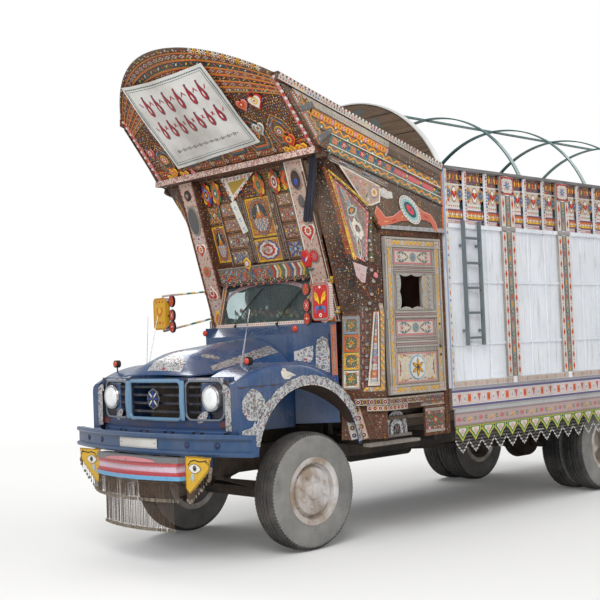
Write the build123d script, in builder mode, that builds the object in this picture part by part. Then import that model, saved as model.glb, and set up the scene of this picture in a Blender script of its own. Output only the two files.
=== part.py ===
"""A decorated high-sided truck: bonneted cab under a tall forward-leaning crown, and a hooped load body.

Millimetres. The truck faces -Y, +X is its left side and the ground is Z = 0.
Distances along the truck are stated behind the front axle, and at() turns them into Y.
"""
import math
import os

from build123d import *

os.makedirs("parts", exist_ok=True)

# Overall sizes
FRONT_REACH = 1270
REAR_REACH = 6550
LENGTH = FRONT_REACH + REAR_REACH
FRONT_AXLE_Y = FRONT_REACH - LENGTH / 2
WHEELBASE = 4400

# Wheels and steering
AXLE_UP = 505
TYRE_RADIUS = 505
TYRE_WIDTH = 255
RIM_RADIUS = 254
FRONT_TYRE_X = 842
TWIN_TYRE_X = (732, 1022)
KINGPIN_X = 700
ARM_BEHIND = 200

# Chassis and cab levels
RAIL_OUT = 450
RAIL_IN = 380
RAIL_LOW = 680
RAIL_TOP = 900
CAB_FLOOR_UP = 1090
CAB_SKIN_X = 1215
CAB_ROOF_UP = 2720
WING_IN = 590
WING_OUT = 1050
WING_NOSE = -895

# Leaning crown
CROWN_LEAN_TOP = (100, 3250)
CROWN_LEAN_FOOT = (450, 2020)
SEAM_UP = 3450
CROWN_CORNER_UP = 4030
CROWN_PEAK_UP = 4380

# Load body
BODY_FRONT = 1560
BODY_REAR = 6440
FLOOR_UP = 1300
WALL_FOOT_UP = FLOOR_UP - 4
WALL_IN = 1200
WALL_OUT = 1250
BODY_TOP_UP = 3410
HOOP_PEAK_UP = 4200


def at(behind):
    """The Y of a place that lies this far behind the front axle."""
    return FRONT_AXLE_Y + behind


def block(x, y, z, mode=Mode.ADD):
    """A square-edged piece between two limits each way, with y counted behind the front axle."""
    centre = (sum(x) / 2, at(sum(y) / 2), sum(z) / 2)
    with Locations(centre):
        Box(x[1] - x[0], y[1] - y[0], z[1] - z[0], mode=mode)


def side_plate(outline, x, mode=Mode.ADD):
    """A plate between two X limits, cut to an outline of (behind, up) points."""
    with BuildSketch(Plane.YZ.offset(x[0])) as outline_sketch:
        Polygon(*[(at(behind), up) for behind, up in outline], align=None)
    extrude(outline_sketch.sketch, amount=x[1] - x[0], dir=(1, 0, 0), mode=mode)


def front_plate(outline, y, mode=Mode.ADD):
    """A plate between two places along the truck, cut to an outline of (across, up) points."""
    with BuildSketch(Plane.XZ.offset(-at(y[0]))) as outline_sketch:
        Polygon(*outline, align=None)
    extrude(outline_sketch.sketch, amount=y[1] - y[0], dir=(0, 1, 0), mode=mode)


def plan_plate(outline, z, mode=Mode.ADD):
    """A plate between two heights, cut to an outline of (across, behind) points."""
    with BuildSketch(Plane.XY.offset(z[0])) as outline_sketch:
        Polygon(*[(across, at(behind)) for across, behind in outline], align=None)
    extrude(outline_sketch.sketch, amount=z[1] - z[0], dir=(0, 0, 1), mode=mode)


def bowed_band(half, middle, end, depth, z, mode=Mode.ADD):
    """A band bowed forward in plan: its front runs from end to middle to end."""
    with BuildSketch(Plane.XY.offset(z[0])) as plan:
        with BuildLine():
            ThreePointArc((-half, at(end)), (0, at(middle)), (half, at(end)))
            Line((half, at(end)), (half, at(end + depth)))
            ThreePointArc((half, at(end + depth)), (0, at(middle + depth)), (-half, at(end + depth)))
            Line((-half, at(end + depth)), (-half, at(end)))
        make_face()
    extrude(plan.sketch, amount=z[1] - z[0], dir=(0, 0, 1), mode=mode)


def bow_front(half, middle, end, back, z, mode=Mode.ADD):
    """A solid with a straight back and a front bowed forward in plan."""
    with BuildSketch(Plane.XY.offset(z[0])) as plan:
        with BuildLine():
            ThreePointArc((-half, at(end)), (0, at(middle)), (half, at(end)))
            Polyline((half, at(end)), (half, at(back)), (-half, at(back)), (-half, at(end)))
        make_face()
    extrude(plan.sketch, amount=z[1] - z[0], dir=(0, 0, 1), mode=mode)


def turned(profile, behind, up, mode=Mode.ADD):
    """A round piece about an axle along X, from a closed profile of (across, radius) points."""
    with BuildSketch(Plane.XY.offset(up)) as section:
        Polygon(*[(across, at(behind) + radius) for across, radius in profile], align=None)
    revolve(section.sketch, axis=Axis((0, at(behind), up), (1, 0, 0)), mode=mode)


def facing(profile, across, up, mode=Mode.ADD):
    """A round piece about a line along Y, from a closed profile of (radius, behind) points."""
    with BuildSketch(Plane.XY.offset(up)) as section:
        Polygon(*[(across + radius, at(behind)) for radius, behind in profile], align=None)
    revolve(section.sketch, axis=Axis((across, 0, up), (0, 1, 0)), mode=mode)


def upright(across, behind, radius, z, mode=Mode.ADD):
    """A vertical round post between two heights."""
    with Locations((across, at(behind), sum(z) / 2)):
        Cylinder(radius, z[1] - z[0], mode=mode)


def rod(start, end, radius, mode=Mode.ADD):
    """A straight round bar between two (across, behind, up) places."""
    first = Vector(start[0], at(start[1]), start[2])
    last = Vector(end[0], at(end[1]), end[2])
    run = last - first
    with BuildSketch(Plane(origin=first, z_dir=run)) as section:
        Circle(radius)
    extrude(section.sketch, amount=run.length, dir=run, mode=mode)


def arch_sheet(half, foot_up, peak_up, y, mode=Mode.ADD):
    """A plate under an arch, between two places along the truck."""
    with BuildSketch(Plane.XZ.offset(-at(y[0]))) as sheet:
        with BuildLine():
            ThreePointArc((-half, foot_up), (0, peak_up), (half, foot_up))
            Line((half, foot_up), (-half, foot_up))
        make_face()
    extrude(sheet.sketch, amount=y[1] - y[0], dir=(0, 1, 0), mode=mode)


# Chassis frame: two channel rails joined by cross-members, with outriggers under the cab
FRAME_FRONT = -860
FRAME_REAR = 6450
RAIL_WEB = 8
CROSS_MEMBERS = (-820, 1500, 2600, 3650, 5200, 6380)
with BuildPart() as chassis_frame:
    block((RAIL_IN, RAIL_OUT), (FRAME_FRONT, FRAME_REAR), (RAIL_LOW, RAIL_TOP))
    block(
        (RAIL_IN, RAIL_OUT - RAIL_WEB),
        (FRAME_FRONT, FRAME_REAR),
        (RAIL_LOW + RAIL_WEB, RAIL_TOP - RAIL_WEB),
        Mode.SUBTRACT,
    )
    for place in (700, 1400):
        block((RAIL_OUT, 1150), (place, place + 60), (RAIL_TOP - 70, RAIL_TOP))
        block((RAIL_IN, RAIL_OUT), (place, place + 60), (RAIL_TOP, CAB_FLOOR_UP - 30))
    mirror(about=Plane.YZ)
    for place in CROSS_MEMBERS:
        inner = RAIL_OUT - RAIL_WEB
        block((-inner, inner), (place - 30, place + 30), (RAIL_LOW + 110, RAIL_TOP - RAIL_WEB))

# Leaf springs: packs that taper to their ends, with a hanger at each end under the rail
SPRING_X = (387, 443)
# place of the axle, half length, underside at the axle, thickness there, height of the ends
SPRINGS = ((0, 600, 500, 70, 640), (WHEELBASE, 700, 570, 90, 620))
with BuildPart() as leaf_springs:
    for place, reach, seat, thickness, end_up in SPRINGS:
        side_plate(
            [
                (place - reach, end_up),
                (place - 120, seat),
                (place + 120, seat),
                (place + reach, end_up),
                (place + reach, end_up + 16),
                (place + 120, seat + thickness),
                (place - 120, seat + thickness),
                (place - reach, end_up + 16),
            ],
            SPRING_X,
        )
        for end in (place - reach, place + reach):
            block(SPRING_X, (end - 25, end + 25), (end_up, RAIL_LOW))
    mirror(about=Plane.YZ)

# Front axle: a dropped beam with a kingpin eye at each end
EYE_RADIUS = 34
EYE_Z = (455, 555)
PIN_RADIUS = 16
with BuildPart() as front_axle:
    half_beam = [(0, 400), (480, 400), (560, 465), (KINGPIN_X, 465)]
    half_beam += [(KINGPIN_X, 545), (560, 545), (480, 490), (0, 490)]
    front_plate(half_beam, (-38, 38))
    block((375, 455), (-70, 70), (470, 500))
    upright(KINGPIN_X, 0, EYE_RADIUS, EYE_Z)
    upright(KINGPIN_X, 0, PIN_RADIUS + 0.3, EYE_Z, Mode.SUBTRACT)
    mirror(about=Plane.YZ)

# Rear axle: a tube with the gear casing in its middle and a spindle at each end
REAR_SPINDLE = 45
with BuildPart() as rear_axle:
    half_tube = [(0, 0), (0, 65), (560, 65), (560, REAR_SPINDLE), (980, REAR_SPINDLE), (980, 0)]
    turned(half_tube, WHEELBASE, AXLE_UP)
    mirror(about=Plane.YZ)
    facing([(0, WHEELBASE - 260), (70, WHEELBASE - 260), (185, WHEELBASE - 90), (185, WHEELBASE + 90),
            (110, WHEELBASE + 170), (0, WHEELBASE + 170)], 0, AXLE_UP)

# Engine and gearbox, each as one plain block, and the shaft from there to the rear axle
GEARBOX_REAR = 1150
SHAFT_UP = 730
PINION_FRONT = WHEELBASE - 260
with BuildPart() as engine_block:
    block((-280, 280), (-560, 120), (720, 1440))
    block((-190, 190), (120, GEARBOX_REAR), (640, 1000))
    for place in (-300, 950):
        block((-RAIL_OUT, RAIL_OUT), (place, place + 70), (RAIL_TOP, RAIL_TOP + 50))

with BuildPart() as propeller_shaft:
    rod((0, GEARBOX_REAR + 12, SHAFT_UP), (0, PINION_FRONT - 12, AXLE_UP), 42)
    for start, up in ((GEARBOX_REAR, SHAFT_UP), (PINION_FRONT - 24, AXLE_UP)):
        facing([(0, start), (62, start), (62, start + 24), (0, start + 24)], 0, up)

with BuildPart() as radiator:
    block((-350, 350), (-740, -670), (930, 1480))
    block((-RAIL_OUT, RAIL_OUT), (-740, -670), (RAIL_TOP, 930))

with BuildPart() as fuel_tank:
    block((-1130, -640), (2100, 2950), (600, 1040))
    fillet(fuel_tank.edges().filter_by(Axis.Y), radius=70)
    for place in (2250, 2750):
        block((-640, -RAIL_OUT), (place, place + 60), (700, 880))

with BuildPart() as exhaust:
    rod((-250, 420, 600), (-250, 3900, 600), 32)
    rod((-250, 1700, 590), (-250, 2600, 590), 78)
    for place in (1500, 2600):
        block((-262, -238), (place - 20, place + 20), (600, RAIL_LOW + 110))

# Knuckles: a fork round each kingpin eye, a spindle for the wheel and an arm for the tie rod
SPINDLE_RADIUS = 30
SPINDLE_END = 905
with BuildPart() as left_knuckle:
    upright(KINGPIN_X, 0, PIN_RADIUS, (415, 595))
    for low in (415, 565):
        upright(KINGPIN_X, 0, 33, (low, low + 30))
        block((KINGPIN_X, 760), (-33, 33), (low, low + 30))
    block((740, 762), (-45, 45), (415, 595))
    spindle = [(755, 0), (755, 48), (790, SPINDLE_RADIUS), (SPINDLE_END, SPINDLE_RADIUS), (SPINDLE_END, 0)]
    turned(spindle, 0, AXLE_UP)
    block((KINGPIN_X - 14, KINGPIN_X + 14), (0, ARM_BEHIND), (418, 440))
    upright(KINGPIN_X, ARM_BEHIND, 18, (418, 440))
    upright(KINGPIN_X, ARM_BEHIND, 8, (440, 495))

with BuildPart() as right_knuckle:
    mirror(left_knuckle.part, about=Plane.YZ)

# Tie rod: joins the two steering arms behind the axle
with BuildPart() as tie_rod:
    rod((-KINGPIN_X, ARM_BEHIND, 470), (KINGPIN_X, ARM_BEHIND, 470), 14)
    for end in (-KINGPIN_X, KINGPIN_X):
        upright(end, ARM_BEHIND, 24, (446, 492))
        upright(end, ARM_BEHIND, 8.3, (440, 495), Mode.SUBTRACT)


TYRE_SIDES = 48


def tyre_corners(across, behind, radius):
    """The corners of a tyre's outline at one place across, as a polygon about the axle."""
    turns = [2 * math.pi * side / TYRE_SIDES for side in range(TYRE_SIDES)]
    return [(across, at(behind) + radius * math.sin(turn), AXLE_UP - radius * math.cos(turn)) for turn in turns]


def tyre(centre_x, behind):
    """One tyre about its axle, of flat facets: a flat tread, square shoulders and full side walls."""
    half = TYRE_WIDTH / 2
    wide_at = TYRE_RADIUS - 105
    bead_at = RIM_RADIUS / math.cos(math.pi / TYRE_SIDES)
    # across from the middle, radius
    sections = ((14 - half, bead_at), (-half, wide_at), (30 - half, TYRE_RADIUS),
                (half - 30, TYRE_RADIUS), (half, wide_at), (half - 14, bead_at))
    rows = [tyre_corners(centre_x + across, behind, radius) for across, radius in sections]
    facets = []
    for row, after in zip(rows, rows[1:] + rows[:1]):
        for side in range(TYRE_SIDES):
            corners = (row[side - 1], row[side], after[side], after[side - 1])
            facets.append(Face(Wire.make_polygon(corners)))
    add(Solid(Shell(facets)))


# Front wheel: a dished steel disc in its rim, with a hub and cap turning on the spindle
DISC_SLOTS = 14
FLANGE_RADIUS = 292
with BuildPart() as left_front_tyre:
    tyre(FRONT_TYRE_X, 0)

with BuildPart() as left_front_rim:
    turned(
        [
            (718, 238), (718, FLANGE_RADIUS), (724, FLANGE_RADIUS), (724, RIM_RADIUS), (960, RIM_RADIUS),
            (960, FLANGE_RADIUS), (966, FLANGE_RADIUS), (966, 240), (930, 236), (906, 228), (930, 204),
            (942, 196), (946, 86), (982, 78), (985, 70), (985, 0), (915, 0), (915, SPINDLE_RADIUS + 0.3),
            (800, SPINDLE_RADIUS + 0.3), (800, 76), (925, 84), (930, 190), (920, 198), (894, 224), (894, 238),
        ],
        0,
        AXLE_UP,
    )
    with Locations(Plane(origin=(919, at(0), AXLE_UP), z_dir=(1, 0, 0))):
        with PolarLocations(216, DISC_SLOTS):
            Box(28, 9, 60, mode=Mode.SUBTRACT)

with BuildPart() as right_front_tyre:
    mirror(left_front_tyre.part, about=Plane.YZ)

with BuildPart() as right_front_rim:
    mirror(left_front_rim.part, about=Plane.YZ)

# Rear twin wheels: two tyres on one double rim, its disc between them
with BuildPart() as left_rear_tyres:
    for tyre_x in TWIN_TYRE_X:
        tyre(tyre_x, WHEELBASE)

with BuildPart() as left_rear_rims:
    turned(
        [
            (608, 238), (608, FLANGE_RADIUS), (614, FLANGE_RADIUS), (614, RIM_RADIUS), (1140, RIM_RADIUS),
            (1140, FLANGE_RADIUS), (1146, FLANGE_RADIUS), (1146, 238), (895, 238), (895, 120), (985, 110),
            (1000, 90), (1000, 0), (990, 0), (990, REAR_SPINDLE + 0.3), (700, REAR_SPINDLE + 0.3), (700, 110),
            (870, 120), (870, 238),
        ],
        WHEELBASE,
        AXLE_UP,
    )

with BuildPart() as right_rear_tyres:
    mirror(left_rear_tyres.part, about=Plane.YZ)

with BuildPart() as right_rear_rims:
    mirror(left_rear_rims.part, about=Plane.YZ)

# Front bumper: a bowed steel face with a rib along its top and its bottom, on two brackets
BUMPER_Z = (900, 1070)
with BuildPart() as front_bumper:
    bowed_band(1250, -1140, -930, 40, BUMPER_Z)
    for low in (BUMPER_Z[0], BUMPER_Z[1] - 36):
        bowed_band(1250, -1160, -950, 30, (low, low + 36))
    for x_low in (RAIL_OUT, -RAIL_OUT - 14):
        side_plate(
            [(-1090, 902), (-1090, 1040), (-900, 1040), (-700, 880), (-700, 760), (-860, 760), (-1060, 902)],
            (x_low, x_low + 14),
        )

# Tray under the bumper: a waisted half drum with a wide lip
TRAY_BACK = -1070
# low, high, half width, place of its front
TRAY_TIERS = ((700, 735, 605, -1266), (735, 762, 575, -1245), (762, 812, 560, -1230),
              (812, 840, 575, -1245), (840, 885, 590, -1256))
with BuildPart() as bumper_tray:
    for low, high, half, front in TRAY_TIERS:
        bow_front(half, front, -1165, TRAY_BACK, (low, high))
    for side in (-1, 1):
        block(sorted((side * 300, side * 380)), (-1125, TRAY_BACK), (885, BUMPER_Z[0]))

# Chain fringe under the tray: strands with a coin at each foot, in a wide short tier and a narrower long one
# half width, place of its front at the middle and at its ends, height of its foot
FRINGE_TIERS = ((590, -1254, -1160, 520), (500, -1236, -1150, 275))
FRINGE_TOP = 700
STRAND_PITCH = 40
with BuildPart() as tray_fringe:
    for half, middle, end, foot in FRINGE_TIERS:
        bowed_band(half, middle, end, 10, (FRINGE_TOP - 28, FRINGE_TOP))
        sag = end - middle
        bow_radius = (half**2 + sag**2) / (2 * sag)
        strands = int(2 * (half - 14) / STRAND_PITCH)
        for number in range(strands + 1):
            across = (number - strands / 2) * STRAND_PITCH
            front = middle + bow_radius - math.sqrt(bow_radius**2 - across**2)
            depth = (front + 2.5, front + 7.5)
            block((across - 5, across + 5), depth, (foot + 28, FRINGE_TOP - 28))
            block((across - 13, across + 13), depth, (foot, foot + 28))

with BuildPart() as eye_boards:
    front_plate([(625, 899), (945, 899), (925, 800), (730, 640), (670, 600), (625, 640)], (-1118, -1104))
    block((700, 740), (-1104, -1015), (886, 899))
    block((700, 740), (-1060, -1015), (899, 900))
    mirror(about=Plane.YZ)

# Headlamps: round cases with a bezel
with BuildPart() as headlamps:
    facing([(0, -936), (60, -930), (92, -912), (104, -918), (110, -906), (110, -872), (0, -872)], 720, 1350)
    mirror(about=Plane.YZ)

# Grille panel: the bowed front of the engine bay, its long mouth crossed by pillars and bars
PANEL_Z = (1100, 1525)
PANEL_END = -850
PANEL_MIDDLE = -950
MOUTH_X = 900
PANEL_X = 945
PANEL_SHEET = 14
with BuildPart() as grille_panel:
    bowed_band(PANEL_X, PANEL_MIDDLE, PANEL_END, PANEL_SHEET, PANEL_Z)
    block((-MOUTH_X, MOUTH_X), (-1000, -800), (1170, 1500), Mode.SUBTRACT)
    for low in (1225, 1295, 1365, 1435):
        bowed_band(MOUTH_X + 10, PANEL_MIDDLE + 14, PANEL_END + 12, 16, (low, low + 20))
    for side in (-1, 1):
        block(sorted((side * 365, side * 425)), (-948, -910), (1160, 1510))
        block(sorted((side * 540, side * (MOUTH_X + 20))), (-872, -850), (1160, 1510))
    add(headlamps.part, mode=Mode.SUBTRACT)

# Scuttle: fire wall, slanting cowl sides and the cowl top below the windscreen
SCUTTLE_FRONT = 135
COWL_X = 620
PILLAR_X = 905
PILLAR_BEHIND = 400
with BuildPart() as scuttle:
    plan_plate(
        [
            (-COWL_X, SCUTTLE_FRONT), (COWL_X, SCUTTLE_FRONT), (PILLAR_X, PILLAR_BEHIND),
            (PILLAR_X - 20, PILLAR_BEHIND + 12), (COWL_X - 12, SCUTTLE_FRONT + 20),
            (-COWL_X + 12, SCUTTLE_FRONT + 20), (-PILLAR_X + 20, PILLAR_BEHIND + 12),
            (-PILLAR_X, PILLAR_BEHIND),
        ],
        (1060, 1860),
    )
    side_plate(
        [(SCUTTLE_FRONT, 1840), (SCUTTLE_FRONT, 1860), (300, 1950), (335, 1950), (335, 1925)],
        (-COWL_X, COWL_X),
    )
    for side in (-1, 1):
        inner, outer = side * COWL_X, side * PILLAR_X
        plan_plate([(inner, SCUTTLE_FRONT), (outer, PILLAR_BEHIND), (inner, PILLAR_BEHIND)], (1860, 1950))


def wing_sketch(inset):
    """The wing's side outline above its lower edge, drawn in by the inset."""
    nose = WING_NOSE + inset
    with BuildSketch(Plane.YZ.offset(WING_IN)) as outline:
        with BuildLine():
            Polyline((at(nose), 1470 - inset), (at(nose), 1060), (at(-800), 1010), (at(-700), 870),
                     (at(560 - inset), 870), (at(430 - inset), 1260))
            ThreePointArc((at(430 - inset), 1260), (at(180), 1500 - inset), (at(-250), 1620 - inset))
            ThreePointArc((at(-250), 1620 - inset), (at(-600), 1590 - inset), (at(nose), 1470 - inset))
        make_face()
    return outline.sketch


# Wing: a pressed shell, rounded along its outer edge, with a round arch over the wheel and a lamp on a stalk
LAMP_X = 950
LAMP_BEHIND = -680
LAMP_UP = 1645
WING_SHEET = 10
ARCH_RADIUS = 590
ARCH_CENTRE = (-105, 830)
with BuildPart() as left_wing:
    extrude(wing_sketch(0), amount=WING_OUT - WING_IN, dir=(1, 0, 0))
    fillet(left_wing.faces().sort_by(Axis.X)[-1].edges().filter_by(GeomType.CIRCLE), radius=70)
    with BuildPart(mode=Mode.SUBTRACT):
        extrude(wing_sketch(WING_SHEET), amount=WING_OUT - WING_IN - WING_SHEET, dir=(1, 0, 0))
        block((0, WING_IN + WING_SHEET), (-1000, 700), (800, 1700), Mode.SUBTRACT)
    block((WING_IN, WING_OUT - WING_SHEET), (-700, 560), (800, 900), Mode.SUBTRACT)
    block((WING_IN - 1, WING_IN + WING_SHEET + 1), (-900, 600), (800, 1035), Mode.SUBTRACT)
    with BuildSketch(Plane.YZ.offset(WING_OUT - 100)):
        with Locations((at(ARCH_CENTRE[0]), ARCH_CENTRE[1])):
            Circle(ARCH_RADIUS)
    extrude(amount=200, mode=Mode.SUBTRACT)
    plan_plate(
        [(WING_IN - 5, SCUTTLE_FRONT), (COWL_X, SCUTTLE_FRONT), (PILLAR_X, PILLAR_BEHIND),
         (CAB_SKIN_X, 690), (CAB_SKIN_X, 900), (WING_IN - 5, 900)],
        (800, 2000),
        Mode.SUBTRACT,
    )
    bowed_band(PANEL_X, PANEL_MIDDLE - 200, PANEL_END - 200, 200 + PANEL_SHEET, (800, 1800), Mode.SUBTRACT)
    add(grille_panel.part, mode=Mode.SUBTRACT)
    add(headlamps.part, mode=Mode.SUBTRACT)
    rod((LAMP_X, LAMP_BEHIND, 1545), (LAMP_X, LAMP_BEHIND, LAMP_UP), 7)
    lamp_profile = [(0, -32), (26, -26), (33, -10), (33, 12), (24, 25), (0, 28)]
    facing([(radius, LAMP_BEHIND + reach) for radius, reach in lamp_profile], LAMP_X, LAMP_UP)

with BuildPart() as right_wing:
    mirror(left_wing.part, about=Plane.YZ)

# Bonnet: a rounded lid from the grille to the scuttle, on a barrel hinge at its rear edge
# place, half width, height of the edge, height of the crown
BONNET_SECTIONS = ((-935, 480, 1545, 1562), (-860, 505, 1550, 1665),
                   (-700, 530, 1556, 1748), (125, 580, 1592, 1845))
BONNET_SHEET = 12
BONNET_HINGE = (118, 1848)
with BuildPart() as bonnet:
    for place, half, edge_up, crown_up in BONNET_SECTIONS:
        edge_low, crown_low = edge_up - BONNET_SHEET, crown_up - BONNET_SHEET
        with BuildSketch(Plane.XZ.offset(-at(place))):
            with BuildLine():
                ThreePointArc((-half, edge_up), (0, crown_up), (half, edge_up))
                Line((half, edge_up), (half, edge_low))
                ThreePointArc((half, edge_low), (0, crown_low), (-half, edge_low))
                Line((-half, edge_low), (-half, edge_up))
            make_face()
    loft(ruled=True)
    rod((-60, BONNET_HINGE[0], BONNET_HINGE[1]), (60, BONNET_HINGE[0], BONNET_HINGE[1]), 9)

# Cab floor, on the outriggers, and the back wall
with BuildPart() as cab_floor:
    plan_plate(
        [(-600, 155), (600, 155), (868, 420), (872, 445), (CAB_SKIN_X - 20, 745), (CAB_SKIN_X - 20, 1500),
         (-CAB_SKIN_X + 20, 1500), (-CAB_SKIN_X + 20, 745), (-872, 445), (-868, 420)],
        (CAB_FLOOR_UP - 30, CAB_FLOOR_UP),
    )

with BuildPart() as cab_back:
    block((-CAB_SKIN_X + 20, CAB_SKIN_X - 20), (1500, 1525), (CAB_FLOOR_UP - 30, CAB_ROOF_UP))

# Cab side: a slanting front panel that leans with the crown, a sill, a door header and a rear post
# height, front edge (across, behind), rear edge (across, behind)
SLANT_SECTIONS = (
    (900, (905, 415), (1215, 690)),
    (2020, (905, 480), (1215, 690)),
    (2720, (905, 290), (1215, 690)),
    (3380, (905, 110), (1150, 130)),
)
SLANT_SHEET = 16
DOOR_Z = (1280, 2700)
DOOR_Y = (712, 1482)
with BuildPart() as cab_left_side:
    for height, (x0, y0), (x1, y1) in SLANT_SECTIONS:
        with BuildSketch(Plane.XY.offset(height)):
            Polygon(
                (x0, at(y0)), (x1, at(y1)), (x1 - SLANT_SHEET, at(y1 + SLANT_SHEET)),
                (x0 - SLANT_SHEET, at(y0 + SLANT_SHEET)), align=None,
            )
    loft(ruled=True)
    block((CAB_SKIN_X - 20, CAB_SKIN_X), (690, 1490), (1148, DOOR_Z[0] - 10))
    block((CAB_SKIN_X - 20, CAB_SKIN_X), (1200, 1490), (880, 1148))
    block((CAB_SKIN_X - 20, CAB_SKIN_X), (690, 1490), (DOOR_Z[1] + 10, DOOR_Z[1] + 60))
    block((CAB_SKIN_X - 20, CAB_SKIN_X + 10), (1490, 1550), (880, DOOR_Z[1] + 60))

with BuildPart() as cab_right_side:
    mirror(cab_left_side.part, about=Plane.YZ)

with BuildPart() as cab_roof:
    plan_plate(
        [(-880, 385), (-1195, 735), (-1195, 1525), (1195, 1525), (1195, 735), (880, 385)],
        (CAB_ROOF_UP, CAB_ROOF_UP + 22),
    )

# Windscreen: a raked frame with one wide pane
PANE_X = 590
PANE_Z = (1985, 2385)
with BuildPart() as windscreen_frame:
    side_plate([(300, 1950), (336, 1950), (458, 2418), (422, 2418)], (-655, 655))
    block((-PANE_X, PANE_X), (200, 600), PANE_Z, Mode.SUBTRACT)

with BuildPart() as windscreen_glass:
    side_plate([(316, 1950), (324, 1950), (446, 2418), (438, 2418)], (-PANE_X, PANE_X))
    block((-700, 700), (200, 600), (1900, PANE_Z[0]), Mode.SUBTRACT)
    block((-700, 700), (200, 600), (PANE_Z[1], 2500), Mode.SUBTRACT)

# Cab door: a thick framed leaf with one window and three sunk panels, on barrels along its front edge
DOOR_X = (1205, 1245)
DOOR_PANELS = ((1370, 1660), (1760, 1960), (2400, 2600))
PANEL_SINK = 10
HINGE_X = 1250
HINGE_BEHIND = 705
with BuildPart() as left_door:
    block(DOOR_X, DOOR_Y, DOOR_Z)
    block((1100, 1300), (890, 1210), (2050, 2360), Mode.SUBTRACT)
    for panel_z in DOOR_PANELS:
        block((DOOR_X[1] - PANEL_SINK, DOOR_X[1] + 10), (800, 1390), panel_z, Mode.SUBTRACT)
    for up in (1420, 2000, 2580):
        upright(HINGE_X, HINGE_BEHIND, 7.5, (up - 40, up + 40))
        block((1238, 1249), (705, DOOR_Y[0] + 30), (up - 40, up + 40))
    block((1245, 1262), (1420, 1440), (1700, 1860))

with BuildPart() as right_door:
    mirror(left_door.part, about=Plane.YZ)

# Bench, dashboard and steering wheel
with BuildPart() as seats:
    block((-1060, 1060), (980, 1470), (CAB_FLOOR_UP, 1500))
    block((-1060, 1060), (1370, 1490), (1500, 2020))
    fillet(seats.edges().filter_by(Axis.X).group_by(Axis.Z)[-1], radius=40)

with BuildPart() as dashboard:
    block((-590, 590), (SCUTTLE_FRONT + 20, 400), (1640, 1830))

WHEEL_HUB = (-430, 760, 1760)
with BuildPart() as steering_wheel:
    wheel_place = (WHEEL_HUB[0], at(WHEEL_HUB[1]), WHEEL_HUB[2])
    rim_plane = Plane(origin=wheel_place, x_dir=(1, 0, 0), z_dir=(0, 1, 0.9))
    with Locations(rim_plane):
        Torus(225, 14)
        Cylinder(50, 30)
        Box(440, 26, 12)
    rod(WHEEL_HUB, (-430, 406, 1440), 20)
    rod((-430, 406, 1440), (-430, 169, 1226), 20)

# Face of the crown: the leaning wall between windscreen and cornice, set back between the side boards
FACE_SET_BACK = 90
LEAN = (CROWN_LEAN_FOOT[0] - CROWN_LEAN_TOP[0]) / (CROWN_LEAN_TOP[1] - CROWN_LEAN_FOOT[1])


def lean_at(up):
    """How far behind the front axle the leaning front of the crown lies at this height."""
    return CROWN_LEAN_TOP[0] + (CROWN_LEAN_TOP[1] - up) * LEAN


def leaning_slab(z, set_back, thickness, x, mode=Mode.ADD):
    """A slab in the leaning plane of the crown's front, between two heights."""
    low, high = z
    front_low = lean_at(low) + set_back
    front_high = lean_at(high) + set_back
    side_plate(
        [(front_low, low), (front_low + thickness, low), (front_high + thickness, high), (front_high, high)],
        x,
        mode,
    )


ROSETTE_UP = 3260
ROSETTES_X = (-570, -430, 199, 415, 580)
FACE_PLANE = Plane(
    origin=(0, at(lean_at(ROSETTE_UP) + FACE_SET_BACK + 2), ROSETTE_UP),
    x_dir=(1, 0, 0),
    z_dir=(0, -1, -LEAN),
)
with BuildPart() as crown_face:
    leaning_slab((2418, 3395), FACE_SET_BACK, 24, (-655, 655))
    block((-900, 900), (60, 190), (3395, 3420))
    block((-1150, 1150), (-20, 60), (3395, SEAM_UP))
    for x_low in (-155, 280):
        leaning_slab((2560, 3200), FACE_SET_BACK - 16, 20, (x_low, x_low + 75))
    leaning_slab((2385, 2535), FACE_SET_BACK - 50, 12, (-655, 655))
    leaning_slab((2450, 2535), FACE_SET_BACK - 40, 42, (-655, 655))
    with BuildSketch(FACE_PLANE):
        with Locations(*[(across, 0) for across in ROSETTES_X]):
            Ellipse(62, 95)
    extrude(amount=20)
    with BuildSketch(FACE_PLANE):
        Polygon((-314, 125), (165, 125), (-225, -115), align=None)
    extrude(amount=16)

with BuildPart() as side_boards:
    leaning_slab((1955, 3393), 0, 26, (660, 888))
    leaning_slab((2420, 3393), 0, FACE_SET_BACK + 24, (655, 667))
    rod((876, lean_at(3280) - 5, 3280), (876, lean_at(1975) - 5, 1975), 9)
    mirror(about=Plane.YZ)

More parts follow.
